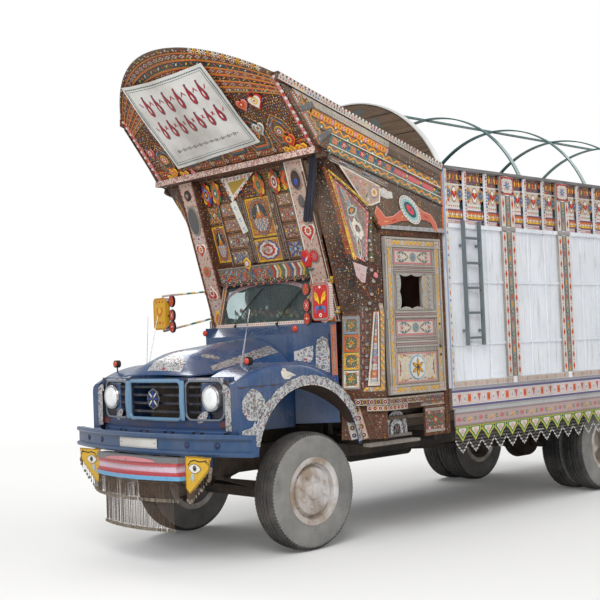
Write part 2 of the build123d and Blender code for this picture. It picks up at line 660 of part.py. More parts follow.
# Prow of the crown: the upper face, straight at the cornice and bowed like a ship's bow at its arched top
PROW_HALF = 1104
PROW_LOFT_TOP = 4440
with BuildPart() as crown_prow:
    with BuildSketch(Plane.XY.offset(SEAM_UP)):
        with BuildLine():
            ThreePointArc((-PROW_HALF, at(20)), (0, at(15)), (PROW_HALF, at(20)))
            Line((PROW_HALF, at(20)), (PROW_HALF, at(60)))
            ThreePointArc((PROW_HALF, at(60)), (0, at(55)), (-PROW_HALF, at(60)))
            Line((-PROW_HALF, at(60)), (-PROW_HALF, at(20)))
        make_face()
    with BuildSketch(Plane.XY.offset(PROW_LOFT_TOP)):
        with BuildLine():
            ThreePointArc((-PROW_HALF, at(-750)), (0, at(-945)), (PROW_HALF, at(-750)))
            Line((PROW_HALF, at(-750)), (PROW_HALF, at(-710)))
            ThreePointArc((PROW_HALF, at(-710)), (0, at(-905)), (-PROW_HALF, at(-710)))
            Line((-PROW_HALF, at(-710)), (-PROW_HALF, at(-750)))
        make_face()
    loft(ruled=True)
    with BuildSketch(Plane.XZ.offset(-at(-1200))) as above_arch:
        with BuildLine():
            corner = PROW_HALF + 5
            ThreePointArc((-corner, CROWN_CORNER_UP), (0, CROWN_PEAK_UP), (corner, CROWN_CORNER_UP))
            Polyline((corner, CROWN_CORNER_UP), (corner, 4600), (-corner, 4600), (-corner, CROWN_CORNER_UP))
        make_face()
    extrude(above_arch.sketch, amount=1600, dir=(0, 1, 0), mode=Mode.SUBTRACT)

# Cheek of the crown: the side wall over the door, its top rail falling from the prow to the load body
CHEEK_FRONT = (1105, -420)
CHEEK_REAR = (1213, BODY_FRONT)
CHEEK_RUN = (CHEEK_REAR[0] - CHEEK_FRONT[0], CHEEK_REAR[1] - CHEEK_FRONT[1])
CHEEK_PLANE = Plane(
    origin=(CHEEK_FRONT[0], at(CHEEK_FRONT[1]), 0),
    x_dir=(CHEEK_RUN[0], CHEEK_RUN[1], 0),
    z_dir=(CHEEK_RUN[1], -CHEEK_RUN[0], 0),
)
# distance back from the prow's top corner, height
CHEEK_OUTLINE = ((0, CROWN_CORNER_UP), (1980, 3410), (1980, 2760), (1130, 2760),
                 (575, 3385), (500, SEAM_UP), (415, SEAM_UP))
RAIL_OUTLINE = ((0, CROWN_CORNER_UP + 10), (1980, 3420), (1980, 3350), (0, CROWN_CORNER_UP - 60))
JOINT_OUTLINE = ((660, 3330), (1940, 2790), (1940, 2762), (690, 3285))
with BuildPart() as crown_left_cheek:
    for outline, proud in ((CHEEK_OUTLINE, 28), (RAIL_OUTLINE, 50), (JOINT_OUTLINE, 40)):
        with BuildSketch(CHEEK_PLANE):
            Polygon(*outline, align=None)
        extrude(amount=proud)
    with BuildSketch(CHEEK_PLANE):
        with Locations((1507, 2955)):
            Ellipse(165, 95, rotation=-42)
    extrude(amount=52)

with BuildPart() as crown_right_cheek:
    mirror(crown_left_cheek.part, about=Plane.YZ)

# Mirrors: a rounded case on two tubes from the side post
with BuildPart() as mirrors:
    block((1040, 1250), (-25, 25), (1960, 2280))
    fillet(mirrors.edges().filter_by(Axis.Y), radius=40)
    rod((1145, 20, 2300), (898, 375, 2330), 10)
    rod((1145, 20, 1945), (898, 450, 2060), 10)
    block((888, 902), (362, 388), (2300, 2360))
    block((888, 902), (439, 462), (2030, 2090))
    rod((1145, 20, 1940), (1145, 20, 2305), 10)
    mirror(about=Plane.YZ)

# Steps below each door: a plank on the outriggers, a shelf above it and two stepped brackets under the sill
# plan of a bracket as (across, behind) points, and its height
STEP_BRACKETS = (
    (((1000, 511), (1215, 690), (1215, 1140), (1255, 1140), (1255, 672), (1027, 469)), (1200, 1262)),
    (((1080, 575), (1215, 690), (1215, 935), (1245, 935), (1245, 678), (1100, 548)), (1148, 1200)),
)
with BuildPart() as side_steps:
    block((1150, 1240), (430, 1090), (850, 876))
    block((1000, 1150), (675, 1080), (RAIL_TOP, RAIL_TOP + 25))
    for outline, height in STEP_BRACKETS:
        plan_plate(outline, height)
    mirror(about=Plane.YZ)

# Load body: floor on bearers and runners, front board, side walls, rear board and tailgate
GATE_HINGE = (6503, 1299)
BEARERS = (1640, 2300, 2960, 3620, 5180, 5800, 6360)
with BuildPart() as body_floor:
    block((-WALL_OUT, WALL_OUT), (BODY_FRONT, BODY_REAR), (FLOOR_UP - 30, WALL_FOOT_UP))
    block((-WALL_IN + 5, WALL_IN - 5), (BODY_FRONT + 45, BODY_REAR), (WALL_FOOT_UP, FLOOR_UP))
    for side in (-1, 1):
        block(sorted((side * 780, side * 852)), (BODY_REAR, GATE_HINGE[0] + 5), (1270, GATE_HINGE[1] - 4))
        rod((side * 780, *GATE_HINGE), (side * 852, *GATE_HINGE), 8)
    for side in (-1, 1):
        block(sorted((side * 1180, side * WALL_OUT)), (BODY_FRONT, BODY_REAR), (1094, FLOOR_UP - 30))
        block(sorted((side * RAIL_IN, side * RAIL_OUT)), (BODY_FRONT, BODY_REAR), (RAIL_TOP, FLOOR_UP - 30))
    for place in BEARERS:
        block((-1180, 1180), (place - 40, place + 40), (1180, FLOOR_UP - 30))

with BuildPart() as body_headboard:
    block((-WALL_IN, WALL_IN), (BODY_FRONT + 10, BODY_FRONT + 40), (WALL_FOOT_UP, BODY_TOP_UP))
    arch_sheet(WALL_IN, BODY_TOP_UP, HOOP_PEAK_UP, (BODY_FRONT + 10, BODY_FRONT + 40))

POSTS = (1560, 2560, 3560, 4560, 5560, 6380)
POST_WIDTH = 60
STAKES_BETWEEN = 3
with BuildPart() as body_left_side:
    block((WALL_IN, WALL_IN + 22), (BODY_FRONT, BODY_REAR), (WALL_FOOT_UP, 3380))
    for place in POSTS:
        block((WALL_IN, WALL_OUT), (place, place + POST_WIDTH), (WALL_FOOT_UP, 3380))
    for low, high, proud in ((WALL_FOOT_UP, 1360, 45), (1690, 1715, 34), (2290, 2315, 34), (2820, 2860, 45)):
        block((WALL_IN, WALL_IN + proud), (BODY_FRONT, BODY_REAR), (low, high))
    for start, end in zip(POSTS, POSTS[1:]):
        for count in range(1, STAKES_BETWEEN):
            place = start + (end - start) * count / STAKES_BETWEEN
            block((WALL_IN, WALL_IN + 45), (place, place + 36), (2860, 3380))
    block((WALL_IN, WALL_OUT + 5), (BODY_FRONT, BODY_REAR), (3380, BODY_TOP_UP))

with BuildPart() as body_right_side:
    mirror(body_left_side.part, about=Plane.YZ)

with BuildPart() as rear_board:
    block((-WALL_IN, WALL_IN), (BODY_REAR - 45, BODY_REAR - 15), (2460, 3380))

GATE_Y = (6450, 6495)
GATE_Z = (FLOOR_UP + 8, 2445)
with BuildPart() as tailgate:
    block((-1190, 1190), GATE_Y, GATE_Z)
    for side in (-1, 1):
        strap_x = sorted((side * 860, side * 932))
        block(strap_x, (GATE_Y[1], GATE_HINGE[0] + 4), (GATE_HINGE[1], GATE_HINGE[1] + 120))
        rod((side * 860, *GATE_HINGE), (side * 932, *GATE_HINGE), 8)

# Roof hoops: flat strips bent to the arch of the front board, tied by three purlins
HOOPS = (2850, 4100, 5350, 6340)
HOOP_WIDTH = 60
with BuildPart() as roof_hoops:
    for place in HOOPS:
        arch_sheet(WALL_IN + 12, BODY_TOP_UP, HOOP_PEAK_UP + 14, (place, place + HOOP_WIDTH))
        arch_sheet(WALL_IN, BODY_TOP_UP, HOOP_PEAK_UP, (place, place + HOOP_WIDTH), Mode.SUBTRACT)
    block((-20, 20), (BODY_FRONT + 40, HOOPS[-1]), (HOOP_PEAK_UP - 6, HOOP_PEAK_UP + 12))

with BuildPart() as ladder:
    for place in (1800, 2050):
        block((1256, 1286), (place, place + 30), (1690, 2890))
    for up in (1750, 1990, 2230, 2470, 2710):
        block((1262, 1280), (1800, 2080), (up, up + 24))
    for up in (1820, 2640):
        for place in (1800, 2050):
            block((WALL_IN + 22, 1256), (place, place + 30), (up, up + 24))

# Skirts: a board under each sill with a sheet below it cut into hanging points
SKIRT_Y = (1600, 6400)
SKIRT_POINTS = 24
POINT_PITCH = (SKIRT_Y[1] - SKIRT_Y[0]) / SKIRT_POINTS
# share of the pitch, height
POINT_EDGE = ((0, 882), (0.22, 846), (0.5, 776), (0.78, 846))
with BuildPart() as side_skirts:
    block((1236, WALL_OUT), SKIRT_Y, (930, 1094))
    cut_edge = [
        (SKIRT_Y[0] + (number + share) * POINT_PITCH, up)
        for number in range(SKIRT_POINTS)
        for share, up in POINT_EDGE
    ]
    side_plate([(SKIRT_Y[0], 940), *cut_edge, (SKIRT_Y[1], 882), (SKIRT_Y[1], 940)], (1240, 1246))
    mirror(about=Plane.YZ)

# Rear bumper: a box beam on the frame ends, with a lamp case on each end and a hole for a towing pin
TOW_HOLE_BEHIND = 6528
TOW_HOLE_RADIUS = 14
with BuildPart() as rear_bumper:
    block((-1150, 1150), (FRAME_REAR + 20, REAR_REACH), (690, 800))
    upright(0, TOW_HOLE_BEHIND, TOW_HOLE_RADIUS, (690, 800), Mode.SUBTRACT)
    for side in (-1, 1):
        block(sorted((side * RAIL_IN, side * RAIL_OUT)), (FRAME_REAR, FRAME_REAR + 20), (690, 880))
        block(sorted((side * 930, side * 1120)), (REAR_REACH - 60, REAR_REACH - 6), (800, 900))

PIECES = {
    "chassis_frame": chassis_frame,
    "leaf_springs": leaf_springs,
    "front_axle": front_axle,
    "rear_axle": rear_axle,
    "engine_block": engine_block,
    "propeller_shaft": propeller_shaft,
    "radiator": radiator,
    "fuel_tank": fuel_tank,
    "exhaust": exhaust,
    "left_knuckle": left_knuckle,
    "right_knuckle": right_knuckle,
    "tie_rod": tie_rod,
    "left_front_tyre": left_front_tyre,
    "left_front_rim": left_front_rim,
    "right_front_tyre": right_front_tyre,
    "right_front_rim": right_front_rim,
    "left_rear_tyres": left_rear_tyres,
    "left_rear_rims": left_rear_rims,
    "right_rear_tyres": right_rear_tyres,
    "right_rear_rims": right_rear_rims,
    "front_bumper": front_bumper,
    "bumper_tray": bumper_tray,
    "tray_fringe": tray_fringe,
    "eye_boards": eye_boards,
    "grille_panel": grille_panel,
    "headlamps": headlamps,
    "scuttle": scuttle,
    "left_wing": left_wing,
    "right_wing": right_wing,
    "bonnet": bonnet,
    "cab_floor": cab_floor,
    "cab_back": cab_back,
    "cab_left_side": cab_left_side,
    "cab_right_side": cab_right_side,
    "cab_roof": cab_roof,
    "windscreen_frame": windscreen_frame,
    "windscreen_glass": windscreen_glass,
    "left_door": left_door,
    "right_door": right_door,
    "seats": seats,
    "dashboard": dashboard,
    "steering_wheel": steering_wheel,
    "crown_face": crown_face,
    "side_boards": side_boards,
    "crown_prow": crown_prow,
    "crown_left_cheek": crown_left_cheek,
    "crown_right_cheek": crown_right_cheek,
    "mirrors": mirrors,
    "side_steps": side_steps,
    "body_floor": body_floor,
    "body_headboard": body_headboard,
    "body_left_side": body_left_side,
    "body_right_side": body_right_side,
    "rear_board": rear_board,
    "tailgate": tailgate,
    "roof_hoops": roof_hoops,
    "ladder": ladder,
    "side_skirts": side_skirts,
    "rear_bumper": rear_bumper,
}
for label, piece in PIECES.items():
    piece.part.label = label
    export_step(piece.part, f"parts/{label}.step")
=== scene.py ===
import math
import random

import bmesh
import bpy
import numpy as np
from mathutils import Matrix, Vector
from mathutils.bvhtree import BVHTree


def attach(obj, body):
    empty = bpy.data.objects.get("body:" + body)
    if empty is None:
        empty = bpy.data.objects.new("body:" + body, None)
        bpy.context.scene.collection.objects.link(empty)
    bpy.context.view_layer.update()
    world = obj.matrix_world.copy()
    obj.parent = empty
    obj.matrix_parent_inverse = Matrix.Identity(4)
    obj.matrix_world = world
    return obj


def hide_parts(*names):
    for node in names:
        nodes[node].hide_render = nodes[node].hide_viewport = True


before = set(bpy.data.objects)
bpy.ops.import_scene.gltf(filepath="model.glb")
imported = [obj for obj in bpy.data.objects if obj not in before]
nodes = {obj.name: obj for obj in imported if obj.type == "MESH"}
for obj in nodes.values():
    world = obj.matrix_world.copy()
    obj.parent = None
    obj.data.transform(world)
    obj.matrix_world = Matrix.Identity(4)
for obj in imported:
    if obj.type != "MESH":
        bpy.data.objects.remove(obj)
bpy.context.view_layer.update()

# Places along the truck are stated in metres behind the front axle, as in the part itself.
FRONT_AXLE_Y = -2.640
WHEELBASE = 4.400
AXLE_UP = 0.505


def at(behind):
    """The Y of a place that lies this far behind the front axle."""
    return FRONT_AXLE_Y + behind


# Camera: a long lens at standing height, beyond the left front corner of the truck.
# Its place, pitch and roll were worked out from points that match left and right in the photograph.
CAMERA_PLACE = Vector((7.655, at(-6.462), 1.784))
CAMERA_AZIMUTH = math.radians(46.39)
CAMERA_PITCH = math.radians(2.234)
CAMERA_ROLL = math.radians(-2.228)
CAMERA_LENS = 64.79
look = Vector((
    -math.sin(CAMERA_AZIMUTH) * math.cos(CAMERA_PITCH),
    math.cos(CAMERA_AZIMUTH) * math.cos(CAMERA_PITCH),
    math.sin(CAMERA_PITCH),
))
level = Vector((math.cos(CAMERA_AZIMUTH), math.sin(CAMERA_AZIMUTH), 0))
rise = level.cross(look)
camera_right = level * math.cos(CAMERA_ROLL) + rise * math.sin(CAMERA_ROLL)
camera_up = rise * math.cos(CAMERA_ROLL) - level * math.sin(CAMERA_ROLL)
camera_data = bpy.data.cameras.new("camera")
camera_data.lens = CAMERA_LENS
camera_data.sensor_width = 36
camera = bpy.data.objects.new("camera", camera_data)
camera.matrix_world = Matrix((
    (camera_right.x, camera_up.x, -look.x, CAMERA_PLACE.x),
    (camera_right.y, camera_up.y, -look.y, CAMERA_PLACE.y),
    (camera_right.z, camera_up.z, -look.z, CAMERA_PLACE.z),
    (0, 0, 0, 1),
))
bpy.context.scene.collection.objects.link(camera)
bpy.context.scene.camera = camera
bpy.context.scene.view_settings.view_transform = "Standard"


def add_node(tree, kind, settings=None, **inputs):
    """Adds a shader node. An input is a value or another node's output.

    i0, i1 and so on name an input by its place, and From_Min names the one called From Min.
    """
    made = tree.nodes.new("ShaderNode" + kind)
    for key, value in (settings or {}).items():
        setattr(made, key, value)
    for key, value in inputs.items():
        numbered = key[0] == "i" and key[1:].isdigit()
        socket = made.inputs[int(key[1:])] if numbered else made.inputs[key.replace("_", " ")]
        if isinstance(value, bpy.types.NodeSocket):
            tree.links.new(value, socket)
        else:
            socket.default_value = value
    return made


def math_node(tree, operation, *values, use_clamp=False):
    """A node that does one sum."""
    inputs = {f"i{place}": value for place, value in enumerate(values)}
    return add_node(tree, "Math", {"operation": operation, "use_clamp": use_clamp}, **inputs)


def mix_node(tree, share, first, second, blend_type="MIX"):
    """A node that mixes two colours. Its third output is the colour."""
    settings = {"data_type": "RGBA", "blend_type": blend_type}
    return add_node(tree, "Mix", settings, i0=share, i6=first, i7=second)


# Light: a white surround that only the camera and glass see at full strength, so that it lights softly,
# and three broad panels overhead, the strongest of them in front of the truck.
SURROUND_LIGHT = 0.62
world = bpy.data.worlds.new("studio")
bpy.context.scene.world = world
world.use_nodes = True
world_tree = world.node_tree
world_tree.nodes.clear()
ray = add_node(world_tree, "LightPath")
seen = math_node(world_tree, "MAXIMUM", ray.outputs["Is Camera Ray"], ray.outputs["Is Transmission Ray"])
level_mix = add_node(world_tree, "MapRange", Value=seen.outputs[0], To_Min=SURROUND_LIGHT, To_Max=1.0)
sky = add_node(world_tree, "Background", Color=(1, 1, 1, 1), Strength=level_mix.outputs[0])
add_node(world_tree, "OutputWorld", Surface=sky.outputs[0])

# place, aim, width and height of the panel, power
SOFT_PANELS = (
    ((5.5, -8.5, 8.0), (0.3, -1.5, 1.8), 6.0, 5.0, 620),
    ((-7.0, 0.5, 8.5), (0.0, 0.5, 1.5), 6.0, 5.0, 380),
    ((3.0, 8.5, 8.0), (0.0, 2.0, 1.5), 6.0, 5.0, 300),
)
for number, (place, aim, wide, tall, power) in enumerate(SOFT_PANELS):
    panel_light = bpy.data.lights.new(f"soft_panel_{number}", "AREA")
    panel_light.shape = "RECTANGLE"
    panel_light.size = wide
    panel_light.size_y = tall
    panel_light.energy = power
    holder = bpy.data.objects.new(f"soft_panel_{number}", panel_light)
    holder.location = place
    holder.rotation_euler = (Vector(aim) - Vector(place)).to_track_quat("-Z", "Y").to_euler()
    bpy.context.scene.collection.objects.link(holder)


def plain_mesh(name, points, faces, smooth=False):
    """A mesh object from points and faces, linked to the scene."""
    mesh = bpy.data.meshes.new(name)
    mesh.from_pydata([tuple(p) for p in points], [], faces)
    mesh.update()
    if smooth:
        mesh.shade_smooth()
    made = bpy.data.objects.new(name, mesh)
    bpy.context.scene.collection.objects.link(made)
    return made


# Floor: a pale, plain sheet that keeps the truck's shadow.
# It glows a little far out, for the camera alone, so that it meets the white surround without an edge.
FLOOR_REACH = 60
floor = plain_mesh(
    "floor",
    [(-FLOOR_REACH, -FLOOR_REACH, 0), (FLOOR_REACH, -FLOOR_REACH, 0),
     (FLOOR_REACH, FLOOR_REACH, 0), (-FLOOR_REACH, FLOOR_REACH, 0)],
    [(0, 1, 2, 3)],
)


def paint_faces(made, tints):
    """Stores one colour for each face, as the attribute that the paints read."""
    paint = made.data.color_attributes.new("paint", "FLOAT_COLOR", "CORNER")
    values = []
    for face, tint in zip(made.data.polygons, tints):
        values += (*tint, 1.0) * face.loop_total
    paint.data.foreach_set("color", values)


def new_material(name, colour=(0.5, 0.5, 0.5), **constants):
    """A material with its Principled shader, whose constant sockets are set by name."""
    made = bpy.data.materials.new(name)
    made.use_nodes = True
    shader = made.node_tree.nodes["Principled BSDF"]
    shader.inputs["Base Color"].default_value = (*colour, 1)
    for key, value in constants.items():
        shader.inputs[key.replace("_", " ")].default_value = value
    return made, made.node_tree, shader


floor_paint, tree, shader = new_material("studio_floor", (0.80, 0.80, 0.79), Roughness=0.9)
floor_place = add_node(tree, "TexCoord").outputs["Object"]
floor_reach = add_node(tree, "VectorMath", {"operation": "LENGTH"}, i0=floor_place)
floor_fade = add_node(tree, "MapRange", {"interpolation_type": "SMOOTHSTEP"},
                      Value=floor_reach.outputs["Value"], From_Min=5.0, From_Max=17.0, To_Min=0.06,
                      To_Max=0.55)
floor_seen = math_node(tree, "MULTIPLY", floor_fade.outputs[0],
                       add_node(tree, "LightPath").outputs["Is Camera Ray"])
tree.links.new(floor_seen.outputs[0], shader.inputs["Emission Strength"])
shader.inputs["Emission Color"].default_value = (1, 1, 1, 1)
floor.data.materials.append(floor_paint)


def linear(red, green, blue):
    """A colour as it is seen, from 0 to 1, in the linear values that shaders take."""
    return tuple(c / 12.92 if c <= 0.04045 else ((c + 0.055) / 1.055) ** 2.4 for c in (red, green, blue))


def opaque(red, green, blue):
    """The same with an alpha of 1."""
    return (*linear(red, green, blue), 1)



def two_tones(tree, value, low, low_colour, high, high_colour):
    """A ramp from one colour at the low value to another at the high one."""
    ramp = add_node(tree, "ValToRGB", i0=value)
    for element, position, colour in zip(ramp.color_ramp.elements, (low, high), (low_colour, high_colour)):
        element.position = position
        element.color = opaque(*colour)
    return ramp


def group_sockets(name, inputs, outputs):
    """A shader node group with named sockets. Each input is (name, kind, default)."""
    made = bpy.data.node_groups.new(name, "ShaderNodeTree")
    for label, kind, default in inputs:
        socket = made.interface.new_socket(label, in_out="INPUT", socket_type=f"NodeSocket{kind}")
        socket.default_value = default
    for label, kind in outputs:
        made.interface.new_socket(label, in_out="OUTPUT", socket_type=f"NodeSocket{kind}")
    return made, made.nodes.new("NodeGroupInput"), made.nodes.new("NodeGroupOutput")


def build_wear_group():
    """Dust in patches and runs, small chips and a fine grain, over a colour that comes in."""
    group, given, made = group_sockets(
        "road_wear",
        [("Color", "Color", (0.5, 0.5, 0.5, 1)), ("Dust Color", "Color", opaque(0.60, 0.54, 0.46)),
         ("Dust", "Float", 0.3), ("Chips", "Float", 0.1), ("Chip Color", "Color", opaque(0.24, 0.17, 0.13)),
         ("Gloss", "Float", 0.4)],
        [("Color", "Color"), ("Roughness", "Float"), ("Height", "Float")],
    )
    where = add_node(group, "TexCoord").outputs["Object"]
    patches = add_node(group, "TexNoise", Vector=where, Scale=1.9, Detail=5.0, Roughness=0.6)
    run_space = add_node(group, "Mapping", Vector=where, Scale=(1, 1, 0.10))
    runs = add_node(group, "TexNoise", Vector=run_space.outputs[0], Scale=26.0, Detail=3.0)
    grain = add_node(group, "TexNoise", Vector=where, Scale=190.0, Detail=3.0)
    spots = add_node(group, "TexNoise", Vector=where, Scale=34.0, Detail=6.0, Roughness=0.7)
    both = math_node(group, "MULTIPLY_ADD", runs.outputs[0], 0.22, patches.outputs[0])
    dusty = add_node(group, "MapRange", {"interpolation_type": "SMOOTHSTEP"}, Value=both.outputs[0],
                     From_Min=0.46, From_Max=0.84)
    amount = math_node(group, "MULTIPLY", dusty.outputs[0], given.outputs["Dust"], use_clamp=True)
    dusted = mix_node(group, amount.outputs[0], given.outputs["Color"], given.outputs["Dust Color"])
    edge = math_node(group, "SUBTRACT", 0.80, given.outputs["Chips"])
    past = math_node(group, "ADD", edge.outputs[0], 0.03)
    chip = add_node(group, "MapRange", Value=spots.outputs[0], From_Min=edge.outputs[0],
                    From_Max=past.outputs[0])
    chipped = mix_node(group, chip.outputs[0], dusted.outputs[2], given.outputs["Chip Color"])
    fine = add_node(group, "MapRange", Value=grain.outputs[0], To_Min=0.86, To_Max=1.14)
    toned = mix_node(group, 1.0, chipped.outputs[2], fine.outputs[0], blend_type="MULTIPLY")
    group.links.new(toned.outputs[2], made.inputs["Color"])
    dull = math_node(group, "MULTIPLY", amount.outputs[0], 0.45)
    rough = math_node(group, "ADD", given.outputs["Gloss"], dull.outputs[0], use_clamp=True)
    rougher = math_node(group, "MULTIPLY_ADD", chip.outputs[0], 0.4, rough.outputs[0], use_clamp=True)
    group.links.new(rougher.outputs[0], made.inputs["Roughness"])
    sunk = math_node(group, "MULTIPLY_ADD", chip.outputs[0], -1.0, grain.outputs[0])
    group.links.new(sunk.outputs[0], made.inputs["Height"])
    return group


WEAR = build_wear_group()


def worn(tree, shader, colour, dust, chips, gloss, bump=0.0006, dust_colour=None, chip_colour=None):
    """Puts the wear group between a colour and the shader."""
    wear = add_node(tree, "Group", {"node_tree": WEAR}, Dust=dust, Chips=chips, Gloss=gloss)
    if isinstance(colour, bpy.types.NodeSocket):
        tree.links.new(colour, wear.inputs["Color"])
    else:
        wear.inputs["Color"].default_value = (*colour, 1)
    if dust_colour:
        wear.inputs["Dust Color"].default_value = (*dust_colour, 1)
    if chip_colour:
        wear.inputs["Chip Color"].default_value = (*chip_colour, 1)
    tree.links.new(wear.outputs["Color"], shader.inputs["Base Color"])
    tree.links.new(wear.outputs["Roughness"], shader.inputs["Roughness"])
    relief = add_node(tree, "Bump", Distance=bump, Height=wear.outputs["Height"])
    tree.links.new(relief.outputs[0], shader.inputs["Normal"])
    return wear, relief


def finish_nodes(names, material):
    """Gives carried-over CAD nodes their finish."""
    for name in names:
        for held in nodes[name].material_slots:
            held.material = material
        if not nodes[name].material_slots:
            nodes[name].data.materials.append(material)


# Under-frame: rolled rails, leaf springs, forged axles, a shaft and a pipe, riveted and bolted together.
# The black paint has long gone under mud, and the fuel tank is a blue enamelled drum.
MUD = linear(0.42, 0.36, 0.30)
frame_steel, tree, shader = new_material("frame_steel", Metallic=0.0)
worn(tree, shader, linear(0.13, 0.12, 0.12), 0.95, 0.20, 0.62, 0.0015, MUD, linear(0.30, 0.18, 0.12))
finish_nodes(
    ("chassis_frame", "leaf_springs", "front_axle", "rear_axle", "engine_block", "propeller_shaft",
     "radiator", "left_knuckle", "right_knuckle", "tie_rod", "rear_bumper", "exhaust"),
    frame_steel,
)
tank_paint, tree, shader = new_material("tank_paint", Metallic=0.0)
worn(tree, shader, linear(0.16, 0.30, 0.52), 0.75, 0.16, 0.40, 0.001)
finish_nodes(("fuel_tank",), tank_paint)


# Tyres: cross-ply tyres of black rubber, with a ribbed zigzag tread and notched shoulders.
# Each is one profile turned about its axle and seated on its rim, and its side wall is grey with dust.
TYRE_SEGMENTS = 192
# across from the tyre's middle, radius, how far the zigzag shifts it, how deep its notches are cut
TYRE_PROFILE = (
    (-0.110, 0.256, 0, 0), (-0.113, 0.270, 0, 0), (-0.1165, 0.283, 0, 0), (-0.1135, 0.286, 0, 0),
    (-0.1175, 0.290, 0, 0), (-0.121, 0.310, 0, 0), (-0.1255, 0.345, 0, 0), (-0.1275, 0.385, 0, 0),
    (-0.1265, 0.415, 0, 0), (-0.1235, 0.436, 0, 0), (-0.1245, 0.440, 0, 0), (-0.1205, 0.461, 0, 0.006),
    (-0.1130, 0.480, 0, 0.011), (-0.1035, 0.492, 0, 0.010), (-0.092, 0.4985, 0, 0.002),
    (-0.066, 0.5015, 0.003, 0), (-0.0635, 0.490, 0.003, 0), (-0.0585, 0.490, 0.003, 0),
    (-0.056, 0.5030, 0.003, 0),
    (-0.024, 0.5045, 0.004, 0), (-0.0215, 0.491, 0.004, 0), (-0.0165, 0.491, 0.004, 0),
    (-0.014, 0.5050, 0.004, 0),
    (0.014, 0.5050, 0.004, 0), (0.0165, 0.491, 0.004, 0), (0.0215, 0.491, 0.004, 0),
    (0.024, 0.5045, 0.004, 0),
    (0.056, 0.5030, 0.003, 0), (0.0585, 0.490, 0.003, 0), (0.0635, 0.490, 0.003, 0),
    (0.066, 0.5015, 0.003, 0),
    (0.092, 0.4985, 0, 0.002), (0.1035, 0.492, 0, 0.010), (0.1130, 0.480, 0, 0.011),
    (0.1205, 0.461, 0, 0.006),
    (0.1245, 0.440, 0, 0), (0.1235, 0.436, 0, 0), (0.1265, 0.415, 0, 0), (0.1275, 0.385, 0, 0),
    (0.1255, 0.345, 0, 0), (0.121, 0.310, 0, 0), (0.1175, 0.290, 0, 0), (0.1135, 0.286, 0, 0),
    (0.1165, 0.283, 0, 0), (0.113, 0.270, 0, 0), (0.110, 0.256, 0, 0),
)


def tyre_shape(middle_x, y):
    """The points and faces of one tyre about its axle."""
    points, faces = [], []
    columns = len(TYRE_PROFILE)
    for step in range(TYRE_SEGMENTS):
        angle = 2 * math.pi * step / TYRE_SEGMENTS
        zigzag = (-1, 0, 1, 0)[step % 4] if step % 4 != 1 else 0.6
        notched = step % 2
        for across, radius, shift, cut in TYRE_PROFILE:
            reach = radius - cut * notched
            points.append((
                middle_x + across + shift * zigzag,
                y + reach * math.sin(angle),
                AXLE_UP + reach * math.cos(angle),
            ))
    for step in range(TYRE_SEGMENTS):
        start, after = step * columns, (step + 1) % TYRE_SEGMENTS * columns
        for column in range(columns - 1):
            faces.append((start + column, start + column + 1, after + column + 1, after + column))
        faces.append((start + columns - 1, start, after, after + columns - 1))
    return points, faces


tyre_rubber, tree, shader = new_material("tyre_rubber", Specular_IOR_Level=0.3)
where = add_node(tree, "TexCoord").outputs["Object"]
scuffs = add_node(tree, "TexNoise", Vector=where, Scale=5.0, Detail=6.0, Roughness=0.65)
scuff_tone = two_tones(tree, scuffs.outputs[0], 0.30, (0.42, 0.42, 0.42), 0.70, (0.56, 0.56, 0.55))
worn(tree, shader, scuff_tone.outputs[0], 0.40, 0.02, 0.78, 0.0012, linear(0.62, 0.60, 0.57),
     linear(0.25, 0.25, 0.25))
tread_rubber, tree, shader = new_material("tread_rubber", Specular_IOR_Level=0.3)
worn(tree, shader, linear(0.17, 0.17, 0.18), 0.60, 0.05, 0.82, 0.0015, linear(0.46, 0.44, 0.42),
     linear(0.1, 0.1, 0.1))
TREAD_COLUMNS = range(12, 33)


def lay_tyres(name, middles, y, body):
    """One or two tyres as one piece that stands for the CAD tyres."""
    points, faces, treads = [], [], []
    for middle_x in middles:
        more_points, more_faces = tyre_shape(middle_x, y)
        shift = len(points)
        points += more_points
        treads += [index % len(TYRE_PROFILE) in TREAD_COLUMNS for index in range(len(more_faces))]
        faces += [tuple(corner + shift for corner in face) for face in more_faces]
    faces = [face[::-1] for face in faces]
    made = plain_mesh(name + "_dressed", points, faces)
    made.data.materials.append(tyre_rubber)
    made.data.materials.append(tread_rubber)
    made.data.polygons.foreach_set("material_index", [int(tread) for tread in treads])
    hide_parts(name)
    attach(made, body)
    return made


FRONT_TYRE_X = 0.842
TWIN_TYRE_X = (0.732, 1.022)
for side, hand in ((1, "left"), (-1, "right")):
    lay_tyres(f"{hand}_front_tyre", [side * FRONT_TYRE_X], at(0), f"{hand}_front_wheel")
    lay_tyres(f"{hand}_rear_tyres", [side * x for x in TWIN_TYRE_X], at(WHEELBASE), f"{hand}_rear_wheels")


# Wheels: pressed steel discs riveted in their rims and sprayed silver, with slots and a hub cap.
# Eight nuts hold each to its hub, and the twin rear rims are one turned profile.
# across, radius; the front profile runs from the hub cap out to the flange and back through the well
FRONT_WHEEL_PROFILE = (
    (0.985, 0.0), (0.985, 0.056), (0.981, 0.068), (0.966, 0.077), (0.949, 0.081), (0.9455, 0.088),
    (0.9445, 0.186), (0.942, 0.195), (0.935, 0.201), (0.930, 0.204), (0.907, 0.228), (0.911, 0.235),
    (0.930, 0.238), (0.956, 0.241), (0.962, 0.250), (0.9655, 0.262), (0.964, 0.266), (0.966, 0.270),
    (0.9665, 0.284), (0.964, 0.291), (0.960, 0.291), (0.960, 0.256), (0.948, 0.253), (0.730, 0.253),
    (0.724, 0.256), (0.724, 0.291), (0.719, 0.291), (0.718, 0.240), (0.893, 0.236), (0.894, 0.224),
    (0.920, 0.198), (0.930, 0.188), (0.930, 0.084), (0.925, 0.078), (0.802, 0.074), (0.800, 0.070),
    (0.800, 0.0),
)
